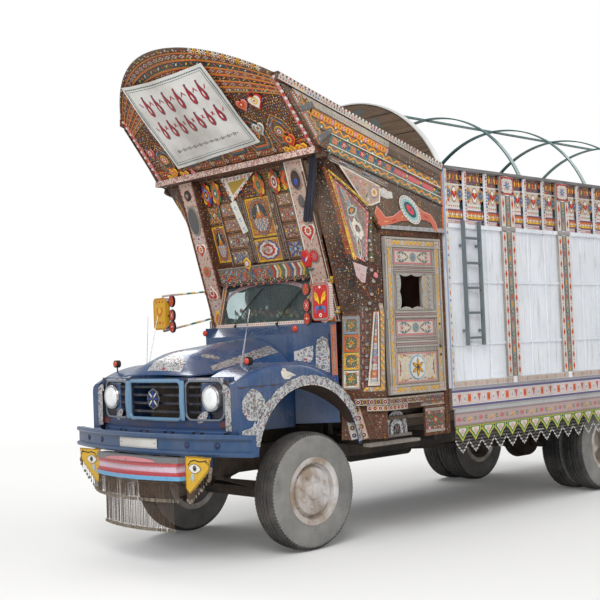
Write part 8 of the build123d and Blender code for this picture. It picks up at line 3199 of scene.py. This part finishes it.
for number, up in enumerate(REFLECTOR_UPS):
    disc_paint.put(ring(28), REFLECTOR_X, up, (0.036, 0.050), linear(0.78, 0.12, 0.12), 0)
    disc_paint.ribbon([(REFLECTOR_X + 0.035 * math.cos(k * math.pi / 14),
                        up + 0.049 * math.sin(k * math.pi / 14)) for k in range(28)],
                      0.005, PINK, 1, 0, True)
    disc_paint.around(8, PETAL, REFLECTOR_X, up, (0.019, 0.027), (0.013, 0.0035),
                      ((YELLOW, ORANGE), (PINK, WHITE), (YELLOW, RED))[number], 1, 0, 0)
    disc_paint.put(DISC, REFLECTOR_X, up, (0.008, 0.011), (GREEN, WHITE, WHITE)[number], 2)
for mirrored, hand in HANDS:
    carrier = joined(*cups, *arms)
    ride_mesh(f"{hand}_reflectors", flipped(carrier) if mirrored else carrier, lamp_case)
    disc_paint.lay(f"{hand}_reflector_painting", forward(-0.0122), "truck", "mirror_case", plain_work,
                   mirrored)

# Scuttle: tin plates and painted strips pinned to its slanting steel sides, between bonnet and door,
# with a small amber lamp on each side.
def between(first, second):
    """An upright surface from one (across, behind) point to another, facing forward and outward."""
    long = math.hypot(second[0] - first[0], second[1] - first[1])
    over, back = (second[0] - first[0]) / long, (second[1] - first[1]) / long

    def surface(u, v, height):
        return (first[0] + over * u + back * height, at(first[1] + back * u - over * height), v)
    return surface


cowl_side = between((0.620, 0.135), (0.905, 0.400))
cowl_tin = Inlay(0.0015, seed=91)
cowl_tin.parts = 3
cowl_tin.shape([(0.004, 1.625), (0.150, 1.600), (0.176, 1.640), (0.176, 1.748), (0.120, 1.738),
                (0.060, 1.716), (0.004, 1.702)], TIN)
cowl_tin.shape([(0.196, 1.560), (0.318, 1.500), (0.322, 1.690), (0.306, 1.800), (0.262, 1.828),
                (0.214, 1.800), (0.198, 1.700)], TIN)
cowl_tin.ribbon([(0.020, 1.672), (0.130, 1.672)], 0.016, WHITE, 2)
cowl_tin.put(ring(24), 0.262, 1.752, 0.036, WHITE, 1)
cowl_tin.put(ring(24), 0.262, 1.752, 0.027, TIN, 2)
cowl_paint = Inlay(0.0010, seed=92)
cowl_paint.ribbon([(0.328, 1.500), (0.330, 1.700), (0.322, 1.850)], 0.010, linear(0.06, 0.08, 0.16), 0,
                  0.002)


def garden(sheet, wide, tall):
    """Yellow and red flowers up a stem, with teal leaves, on pale ground."""
    sheet.ribbon([(wide / 2, 0.0), (wide / 2, tall)], 0.004, GREEN)
    count = max(2, int(tall / 0.085))
    for number in range(count):
        v = tall * (number + 0.5) / count
        flower(sheet, wide / 2, v, wide * 0.26,
               ((RED, YELLOW, RED), (YELLOW, RED, WHITE), (COBALT, WHITE, RED))[number % 3], 6, 2)
        for side in (-1, 1):
            sheet.put(PETAL, wide / 2 + side * wide * 0.24, v + tall / count * 0.48,
                      (wide * 0.20, wide * 0.09),
                      (TEAL, GREEN, ORANGE)[(number + (side > 0)) % 3], 1, 0, side * 0.7)


field(cowl_paint, oblong(0.339, 1.480, 0.386, 1.930), linear(0.80, 0.74, 0.66), garden,
      linear(0.82, 0.42, 0.30))
field(cowl_paint, oblong(0.339, 1.200, 0.386, 1.470), linear(0.62, 0.50, 0.34), garden, COBALT)
for mirrored, hand in HANDS:
    cowl_tin.lay(f"{hand}_cowl_tin", cowl_side, "truck", "embossed_steel", chased_tin, mirrored)
    cowl_paint.lay(f"{hand}_cowl_painting", cowl_side, "truck", "crown_board", plain_work, mirrored)
marker = faced([(0.0, 0.125), (0.016, 0.126), (0.027, 0.134), (0.030, 0.146)], 0.640, 1.905, 20)
ride_mesh("cowl_lamps", joined(marker, flipped(marker)), amber_lens)

# Arch linings: a thin curved sheet over each front wheel, screwed inside the wing.
# It is painted in bright blots at the front and muddied behind.
lining, tree, shader = new_material("arch_lining", Specular_IOR_Level=0.25)
where = add_node(tree, "TexCoord").outputs["Object"]
split = add_node(tree, "SeparateXYZ", Vector=where)
blots = add_node(tree, "TexVoronoi", Vector=where, Scale=17.0, Randomness=0.9)
vivid = add_node(tree, "HueSaturation", Hue=0.52, Saturation=1.3, Value=0.34, Color=blots.outputs["Color"])
edge_share = add_node(tree, "MapRange", Value=blots.outputs["Distance"], From_Min=0.36, From_Max=0.50)
green = mix_node(tree, edge_share.outputs[0], vivid.outputs[0], opaque(0.16, 0.24, 0.14))
mud_noise = add_node(tree, "TexNoise", Vector=where, Scale=5.0, Detail=5.0)
mud_place = add_node(tree, "MapRange", Value=split.outputs[1], From_Min=at(-0.35), From_Max=at(0.10))
mud_both = math_node(tree, "ADD", mud_place.outputs[0],
                     math_node(tree, "SUBTRACT", mud_noise.outputs[0], 0.42).outputs[0], use_clamp=True)
muddy = mix_node(tree, mud_both.outputs[0], green.outputs[2], opaque(0.27, 0.22, 0.19))
worn(tree, shader, muddy.outputs[2], 0.30, 0.10, 0.85, 0.0020, linear(0.36, 0.30, 0.26))
lining_points, lining_faces = [], []
LINING_STEPS = 30
for step in range(LINING_STEPS + 1):
    angle = math.radians(22 + 136 * step / LINING_STEPS)
    for reach in (0.604, 0.607):
        for across in (0.612, 1.036):
            lining_points.append((across, at(ARCH_D + reach * math.cos(angle)),
                                  ARCH_Z + reach * math.sin(angle)))
for step in range(LINING_STEPS):
    a, b = step * 4, step * 4 + 4
    lining_faces += [(a, b, b + 1, a + 1), (a + 2, a + 3, b + 3, b + 2), (a, a + 2, b + 2, b),
                     (a + 1, b + 1, b + 3, a + 3)]
for hand, shape in (("left", (lining_points, lining_faces)),
                    ("right", flipped((lining_points, lining_faces)))):
    ride_mesh(f"{hand}_arch_lining", shape, lining)

# Steps and brackets: grey planks on painted wooden brackets, between the shelf and the sill.
# A tin arch cut in rings is nailed between them, with the gaps between its rings painted near black as
# shade, and two painted columns stand in front.
step_wood = build_wood("step_wood", linear(0.40, 0.37, 0.34), linear(0.60, 0.57, 0.54))
finish_nodes(("side_steps",), step_wood)
PINKISH = linear(0.78, 0.62, 0.58)


def roundels(tints=((RED, WHITE, RED), (COBALT, LACE, RED)), pitch=0.055):
    """Ringed flowers in a row."""
    def draw(sheet, wide, tall):
        count = max(1, int(wide / pitch))
        for number in range(count):
            u = wide * (number + 0.5) / count
            sheet.put(ring(18), u, tall / 2, min(tall, pitch) * 0.40, (WHITE, YELLOW)[number % 2], 1)
            sheet.put(ring(18), u, tall / 2, min(tall, pitch) * 0.33, UMBER, 2)
            flower(sheet, u, tall / 2, min(tall, pitch) * 0.30, tints[number % len(tints)], 6, 3)
    return draw


step_bands = (
    ("bracket", (1.255, 0.672), (1.255, 1.140),
     ((0.002, 1.231, 0.466, 0.058, linear(0.42, 0.28, 0.26), roundels()),)),
    ("bracket_nose", (1.027, 0.469), (1.255, 0.672),
     ((0.002, 1.231, 0.303, 0.058, linear(0.42, 0.28, 0.26), roundels()),)),
    ("lower_bracket", (1.245, 0.678), (1.245, 0.935),
     ((0.002, 1.174, 0.255, 0.048, PINKISH, roundels(((RED, WHITE, RED),), 0.045)),)),
    ("lower_nose", (1.100, 0.548), (1.245, 0.678),
     ((0.002, 1.174, 0.192, 0.048, PINKISH, roundels(((RED, WHITE, RED),), 0.045)),)),
    ("sill", (1.2155, 1.142), (1.2155, 1.488),
     ((0.002, 1.210, 0.344, 0.104, linear(0.46, 0.32, 0.28), spray_design()),
                                              (0.062, 1.020, 0.280, 0.220, linear(0.44, 0.33, 0.30),
                                               spray_design()))),
)
for name, first, second, bands in step_bands:
    band_paint = Inlay(0.0010, seed=93)
    for start, middle, long, wide, ground, design in bands:
        strip(band_paint, (start, middle), (start + long - 0.004, middle), wide, ground, design, LIMED)
    for mirrored, hand in HANDS:
        band_paint.lay(f"{hand}_{name}_painting", between(first, second), "truck", "crown_board", plain_work,
                       mirrored)
filigree = Inlay(0.0, seed=94)
# Tin rings alternate with near-black ones, which are painted shade for the cut gaps.
for share, tint, step in ((1.0, TIN, 0), (0.74, linear(0.20, 0.18, 0.18), 1), (0.58, TIN, 2),
                          (0.34, linear(0.14, 0.12, 0.12), 3)):
    arch = [(0.877 + 0.145 * share * math.cos(math.pi * k / 24),
             0.960 + 0.172 * share * math.sin(math.pi * k / 24) ** 0.8) for k in range(25)]
    filigree.shape([(0.877 + 0.145 * share, 0.926), *arch, (0.877 - 0.145 * share, 0.926)], tint, step)
for number in range(9):
    angle = math.pi * (number + 0.5) / 9
    filigree.put(DOT, 0.877 + 0.125 * math.cos(angle), 0.962 + 0.150 * math.sin(angle), 0.007,
                 (RED, WHITE, COBALT)[number % 3], 2)
foot_columns = Inlay(0.0012, seed=95)
foot_columns.parts = 4
for low, high, tint, design in (((0.118, 0.905), (0.032, 1.236), linear(0.74, 0.74, 0.76),
                                 roundels(((COBALT, WHITE, RED),), 0.062)),
                                ((0.206, 0.905), (0.120, 1.200), PINKISH,
                                 roundels(((RED, WHITE, YELLOW),), 0.062))):
    strip(foot_columns, low, high, 0.066, tint, design, LIMED)
for mirrored, hand in HANDS:
    filigree.lay(f"{hand}_step_arch", outward(1.1485), "truck", "embossed_steel", chased_tin, mirrored)
    foot_columns.lay(f"{hand}_foot_columns", slant, "truck", "crown_board", plain_work, mirrored)

# Inside the cab: a padded bench in red cloth, sewn in channels and piped, over a wooden box.
# Dashboard, floor and back wall are plain or painted boards.
finish_nodes(("cab_floor",), build_wood("floor_wood", linear(0.20, 0.16, 0.13), linear(0.36, 0.31, 0.27),
                                        (1.0, 0.07, 1.0), 0.5, 0.8))
finish_nodes(("cab_back",), build_wood("back_wood", linear(0.36, 0.22, 0.15), linear(0.56, 0.38, 0.27)))
finish_nodes(("dashboard",), build_wood("dash_wood", linear(0.32, 0.16, 0.10), linear(0.52, 0.30, 0.20),
                                        (0.07, 1.0, 1.0), 0.3, 0.4))
finish_nodes(("steering_wheel",), lamp_case)
finish_nodes(("cab_roof",), crown_wood)


def pillow(low, high, across=56, deep=16, channels=0, upright_pad=False):
    """A stuffed form: domed faces that meet at a seam, drawn in along sewn channels."""
    middle = [(a + b) / 2 for a, b in zip(low, high)]
    half = [(b - a) / 2 for a, b in zip(low, high)]
    points, faces = [], []
    grid = {}
    for face in (1, -1):
        for row in range(deep + 1):
            for column in range(across + 1):
                a, b = 2 * column / across - 1, 2 * row / deep - 1
                on_rim = abs(a) == 1 or abs(b) == 1
                if on_rim and face < 0:
                    grid[face, row, column] = grid[1, row, column]
                    continue
                full = max(0.0, (1 - a ** 10) * (1 - b ** 6)) ** 0.30
                if channels and not on_rim:
                    full *= 1 - 0.16 * abs(math.cos(math.pi * channels * (a + 1) / 2)) ** 12
                x = middle[0] + half[0] * a * (1 - 0.012 * (1 - b * b))
                flat = half[2 if upright_pad else 1] * b * (1 - 0.05 * (1 - a ** 4))
                lift = face * full * half[1 if upright_pad else 2]
                back, up = (lift, flat) if upright_pad else (flat, lift)
                grid[face, row, column] = len(points)
                points.append((x, at(middle[1] + back), middle[2] + up))
        for row in range(deep):
            for column in range(across):
                quad = [grid[face, row, column], grid[face, row, column + 1],
                        grid[face, row + 1, column + 1], grid[face, row + 1, column]]
                faces.append(quad if (face > 0) != upright_pad else quad[::-1])
    rim = [grid[1, 0, k] for k in range(across)] + [grid[1, k, across] for k in range(deep)]
    rim += [grid[1, deep, k] for k in range(across, 0, -1)] + [grid[1, k, 0] for k in range(deep, 0, -1)]
    return (points, faces), [points[k] for k in rim]


seat_cloth, tree, shader = new_material("seat_cloth", Sheen_Weight=0.35, Specular_IOR_Level=0.2)
where = add_node(tree, "TexCoord").outputs["Object"]
weave = add_node(tree, "TexChecker", Vector=where, Scale=70.0, Color1=opaque(0.52, 0.12, 0.12),
                 Color2=opaque(0.40, 0.09, 0.10))
motif = add_node(tree, "TexVoronoi", {"distance": "MINKOWSKI"}, Vector=where, Scale=9.0, Randomness=0.0)
is_motif = math_node(tree, "LESS_THAN", motif.outputs["Distance"], 0.20)
seat_tone = mix_node(tree, is_motif.outputs[0], weave.outputs[0], opaque(0.78, 0.60, 0.24))
worn(tree, shader, seat_tone.outputs[2], 0.35, 0.02, 0.92, 0.0008)
(cushion_shape, cushion_rim), (back_shape, back_rim) = (
    pillow((-1.058, 0.984, 1.330), (1.058, 1.372, 1.498), 72, 16, 12),
    pillow((-1.058, 1.374, 1.500), (1.058, 1.488, 2.018), 72, 18, 12, True),
)
seat_base = planks("seat_base", [((-1.055, 0.990, 1.092), (1.055, 1.465, 1.334)),
                                 ((-1.055, 1.385, 1.334), (1.055, 1.470, 1.505))],
                   "truck", step_wood)
for name, shape, rim in (("seat_cushion", cushion_shape, cushion_rim), ("seat_back", back_shape, back_rim)):
    pad = ride_mesh(name, shape, seat_cloth)
    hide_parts("seats")
    ride_mesh(name + "_piping", tube(rim, 0.0055, 6, True), lamp_case)
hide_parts("seats")
dash_paint = Inlay(0.0010, seed=96)
strip(dash_paint, (-0.580, 1.700), (0.580, 1.700), 0.090, linear(0.60, 0.20, 0.16), flowers_design(0.110),
      LIMED)
for u in (-0.46, -0.40, 0.36, 0.44):
    dash_paint.put(ring(24), u, 1.782, 0.030, linear(0.70, 0.69, 0.67), 0, 0.004)
    dash_paint.put(ring(24), u, 1.782, 0.024, linear(0.05, 0.05, 0.06), 4)
    dash_paint.put(PETAL, u + 0.006, 1.786, (0.012, 0.002), RED, 5, 0, 0.7)
dash_paint.lay("dashboard_painting", backward(0.400), "truck", "cab_wood", plain_work)

# Rear: gate and upper board of planks, painted in squares, and red lamps screwed to the bumper.
# Roof hoops and ladder are bent and welded steel in enamel, and the load floor is bare planks.
gate_wood = build_wood("gate_wood", linear(0.30, 0.17, 0.12), linear(0.48, 0.30, 0.22), (0.07, 1.0, 1.0))
finish_nodes(("tailgate", "rear_board"), gate_wood)


def rear_panel(tints):
    """A wheel of petals in a laced square, with sprays into the corners."""
    def draw(sheet, wide, tall):
        scatter(sheet, wide, tall, 0.070, (PINK, WHITE, YELLOW), 1, 0.12)
        least = min(wide, tall)
        medallion(sheet, wide / 2, tall / 2, least * 0.34, tints, 16, 2)
        for side in (-1, 1):
            for up in (-1, 1):
                for k in range(3):
                    turn = math.atan2(up, side) + (k - 1) * 0.5
                    sheet.put(PETAL, wide / 2 + side * wide * 0.36 + math.cos(turn) * 0.02,
                              tall / 2 + up * tall * 0.36 + math.sin(turn) * 0.02, (0.060, 0.022),
                              (RED, GREEN, ORANGE)[k], 2, 0, turn)
        frame_lines(sheet, wide, tall, 0.022, 0.008, COBALT, 2)
    return draw


gate_paint = Inlay(0.0012, seed=97)
rear_paint = Inlay(0.0012, seed=98)
GATE_TINTS = ((WHITE, RED, YELLOW, COBALT), (YELLOW, COBALT, WHITE, RED), (LACE, GREEN, YELLOW, RED))
for number in range(4):
    left = -1.150 + 0.580 * number
    ground = (linear(0.78, 0.72, 0.64), linear(0.66, 0.30, 0.20))[number % 2]
    field(gate_paint, oblong(left, 1.470, left + 0.555, 2.240), ground, rear_panel(GATE_TINTS[number % 3]),
          (ORANGE, YELLOW)[number % 2])
for v, ground, design in ((1.385, linear(0.16, 0.30, 0.32), eyes_design()),
                          (2.330, linear(0.62, 0.40, 0.20), flowers_design(0.120))):
    strip(gate_paint, (-1.175, v), (1.175, v), 0.110, ground, design, WHITE)
for number in range(3):
    left = -1.170 + 0.785 * number
    field(rear_paint, oblong(left, 2.620, left + 0.770, 3.230), linear(0.74, 0.66, 0.56),
          rear_panel(GATE_TINTS[(number + 1) % 3]), (RED, TEAL, RED)[number])
for v, ground, design in ((2.540, linear(0.40, 0.22, 0.18), wave_design()),
                          (3.310, linear(0.20, 0.34, 0.36), blocks_design())):
    strip(rear_paint, (-1.180, v), (1.180, v), 0.100, ground, design, WHITE)
gate_paint.lay("tailgate_painting", backward(6.495), "tailgate", "crown_board", plain_work)
rear_paint.lay("rear_board_painting", backward(6.425), "truck", "crown_board", plain_work)
planks("rear_lamps", [((left, 6.538, 0.806), (left + 0.178, 6.5485, 0.894)) for left in (-1.114, 0.936)],
       "truck", red_lens, False, 0.004)
hoop_enamel = build_enamel("hoop_enamel", linear(0.10, 0.37, 0.36), 0.25, 0.42)
finish_nodes(("roof_hoops",), hoop_enamel)
finish_nodes(("ladder",), build_enamel("ladder_enamel", (0.10, 0.13, 0.14), 0.35, 0.50))
finish_nodes(("body_headboard",),
             build_wood("head_wood", linear(0.30, 0.24, 0.19), linear(0.48, 0.40, 0.33), (0.07, 1.0, 1.0)))
finish_nodes(("body_floor",), build_wood("load_wood", linear(0.34, 0.29, 0.25), linear(0.52, 0.46, 0.41),
                                         (1.0, 0.07, 1.0), 0.5, 0.85))
finish_nodes(("side_skirts",), build_banded("skirt_enamel", 2, (
    (0, linear(0.42, 0.50, 0.24)), (0.931, linear(0.64, 0.55, 0.54)), (1.060, linear(0.66, 0.66, 0.68)))))

# Front board of the load body: weathered boards with open joints and faded blots of paint.
# A white iron band is bent round the arched edge and nailed on.
head_paint = Inlay(0.0012, seed=99)
HEAD_HALF, HEAD_FOOT, HEAD_PEAK = 1.200, 3.410, 4.200
HEAD_RADIUS = (HEAD_HALF ** 2 + (HEAD_PEAK - HEAD_FOOT) ** 2) / (2 * (HEAD_PEAK - HEAD_FOOT))


def head_arc(drop, parts=72):
    """Points along the arched edge of the front board, drawn in by a drop."""
    radius, centre = HEAD_RADIUS - drop, HEAD_PEAK - HEAD_RADIUS
    spread = math.acos(max(-1, min(1, (HEAD_FOOT - centre) / radius)))
    return [(radius * math.sin(spread * (k / parts * 2 - 1)),
             centre + radius * math.cos(spread * (k / parts * 2 - 1)))
            for k in range(parts + 1)]


for up in (3.560, 3.790, 4.020):
    reach = math.sqrt(HEAD_RADIUS ** 2 - (up - HEAD_PEAK + HEAD_RADIUS) ** 2) - 0.020
    head_paint.ribbon([(-reach, up), (0.0, up + 0.004), (reach, up)], 0.009, linear(0.13, 0.11, 0.10))
for u, v, size, tint in ((0.36, 3.93, (0.15, 0.09), linear(0.34, 0.40, 0.38)),
                         (0.74, 3.68, (0.10, 0.06), linear(0.42, 0.42, 0.39)),
                         (-0.42, 3.88, (0.18, 0.08), linear(0.38, 0.36, 0.33)),
                         (0.18, 4.10, (0.12, 0.04), linear(0.33, 0.38, 0.37))):
    blot = [(math.cos(k * 0.35) * (0.8 + 0.2 * math.sin(k * 2.3)),
             math.sin(k * 0.35) * (0.8 + 0.2 * math.cos(k * 1.9))) for k in range(18)]
    head_paint.put(blot, u, v, size, tint, 0)
head_paint.lay("headboard_painting", forward(1.570), "truck", "crown_board", plain_work)
band_points, band_faces = [], []
for (x0, z0), (x1, z1) in zip(head_arc(-0.0008), head_arc(-0.0138)):
    band_points += [(x0, at(1.556), z0), (x1, at(1.556), z1), (x1, at(1.620), z1), (x0, at(1.620), z0)]
for corner in range(0, len(band_points) - 4, 4):
    for edge in range(4):
        low, high = corner + edge, corner + (edge + 1) % 4
        band_faces.append((low, low + 4, high + 4, high))
band_faces += [(0, 1, 2, 3), tuple(len(band_points) - k for k in (1, 2, 3, 4))]
ride_mesh("headboard_band", (band_points, band_faces),
          build_enamel("band_white", linear(0.86, 0.87, 0.86), 0.30, 0.45))

# Rolled edge of each wing: the pressed sheet turns over here from the wing's side to its top,
# in one long curve from the door to the nose, under the same blue enamel.
def through(first, second, third, parts):
    """Points on the arc through three places, from the first to the third."""
    (ax, ay), (bx, by), (cx, cy) = first, second, third
    scale = 2 * (ax * (by - cy) + bx * (cy - ay) + cx * (ay - by))
    middle_x = ((ax ** 2 + ay ** 2) * (by - cy) + (bx ** 2 + by ** 2) * (cy - ay) + (cx ** 2 + cy ** 2)
                * (ay - by)) / scale
    middle_y = ((ax ** 2 + ay ** 2) * (cx - bx) + (bx ** 2 + by ** 2) * (ax - cx) + (cx ** 2 + cy ** 2)
                * (bx - ax)) / scale
    radius = math.hypot(ax - middle_x, ay - middle_y)
    start = math.atan2(ay - middle_y, ax - middle_x)
    end = math.atan2(cy - middle_y, cx - middle_x)
    if end < start:
        end += 2 * math.pi
    if end - start > math.pi:
        end -= 2 * math.pi
    return [(middle_x + radius * math.cos(start + (end - start) * k / parts),
             middle_y + radius * math.sin(start + (end - start) * k / parts)) for k in range(parts + 1)]


EDGE_ROLL = 0.070
edge_line = through((0.430, 1.260), (0.180, 1.500), (-0.250, 1.620), 30)
edge_line += through((-0.250, 1.620), (-0.600, 1.590), (-0.895, 1.470), 26)[1:]
edge_points, edge_faces = [], []
for number, (d, z) in enumerate(edge_line):
    before, after = edge_line[max(number - 1, 0)], edge_line[min(number + 1, len(edge_line) - 1)]
    run_d, run_z = after[0] - before[0], after[1] - before[1]
    size = math.hypot(run_d, run_z)
    in_d, in_z = -run_z / size, run_d / size
    for step in range(13):
        angle = math.radians(-4 + 98 * step / 12)
        drop = EDGE_ROLL - (EDGE_ROLL + 0.0006) * math.sin(angle)
        edge_points.append((WING_FACE - EDGE_ROLL + (EDGE_ROLL + 0.0006) * math.cos(angle),
                            at(d + in_d * drop), z + in_z * drop))
for number in range(len(edge_line) - 1):
    for step in range(12):
        low = number * 13 + step
        edge_faces.append((low, low + 1, low + 14, low + 13))
for hand, shape in (("left", (edge_points, edge_faces)), ("right", flipped((edge_points, edge_faces)))):
    ride_mesh(f"{hand}_wing_edge", shape, blue_enamel)

# Black cloth: a strip of cotton knotted to the end of the cornice.
# It hangs in gathered folds beside the side board, a little ragged along its foot.
CLOTH_FALL = ((1.090, 0.030, 3.412), (1.050, 0.048, 3.350), (0.985, 0.092, 3.215), (0.925, 0.122, 3.085),
              (0.865, 0.158, 2.960), (0.812, 0.190, 2.846))
cloth_points, cloth_faces = [], []
for row in range(41):
    share = row / 40 * (len(CLOTH_FALL) - 1)
    number = min(int(share), len(CLOTH_FALL) - 2)
    place = Vector(CLOTH_FALL[number]).lerp(Vector(CLOTH_FALL[number + 1]), share - number)
    spread = 0.012 + 0.040 * min(1.0, row / 9) + 0.006 * row / 40
    for column in range(49):
        across = column / 48 * 2 - 1
        fold = (0.011 * math.cos(across * 10.5 + 0.5 * math.sin(row * 0.16))
                + 0.003 * math.sin(across * 23 + row * 0.11))
        x = place.x + across * spread + 0.004 * math.sin(row * 0.21 + across * 3)
        depth = place.y - 0.006 - fold * min(1.0, 0.35 + row / 16)
        ragged = 0.006 * math.sin(across * 17) * (row == 40)
        cloth_points.append((x, at(depth), place.z + ragged - 0.010 * across * (row > 30) * (row - 30) / 10))
for row in range(40):
    for column in range(48):
        low = row * 49 + column
        cloth_faces.append((low, low + 49, low + 50, low + 1))
black_cotton, tree, shader = new_material("black_cotton", Sheen_Weight=0.25, Sheen_Roughness=0.5)
where = add_node(tree, "TexCoord").outputs["Object"]
thread = add_node(tree, "TexNoise", Vector=where, Scale=380.0, Detail=2.0)
fade = add_node(tree, "TexNoise", Vector=where, Scale=9.0, Detail=4.0)
black_tone = mix_node(tree, fade.outputs[0], opaque(0.09, 0.09, 0.13), opaque(0.20, 0.19, 0.25))
tree.links.new(add_node(tree, "Bump", Strength=0.4, Distance=0.001, Height=thread.outputs[0]).outputs[0],
               shader.inputs["Normal"])
tree.links.new(black_tone.outputs[2], shader.inputs["Base Color"])
shader.inputs["Roughness"].default_value = 0.88
black_cloth = ride_mesh("black_cloth", (cloth_points, cloth_faces), black_cotton)
black_cloth.data.shade_smooth()
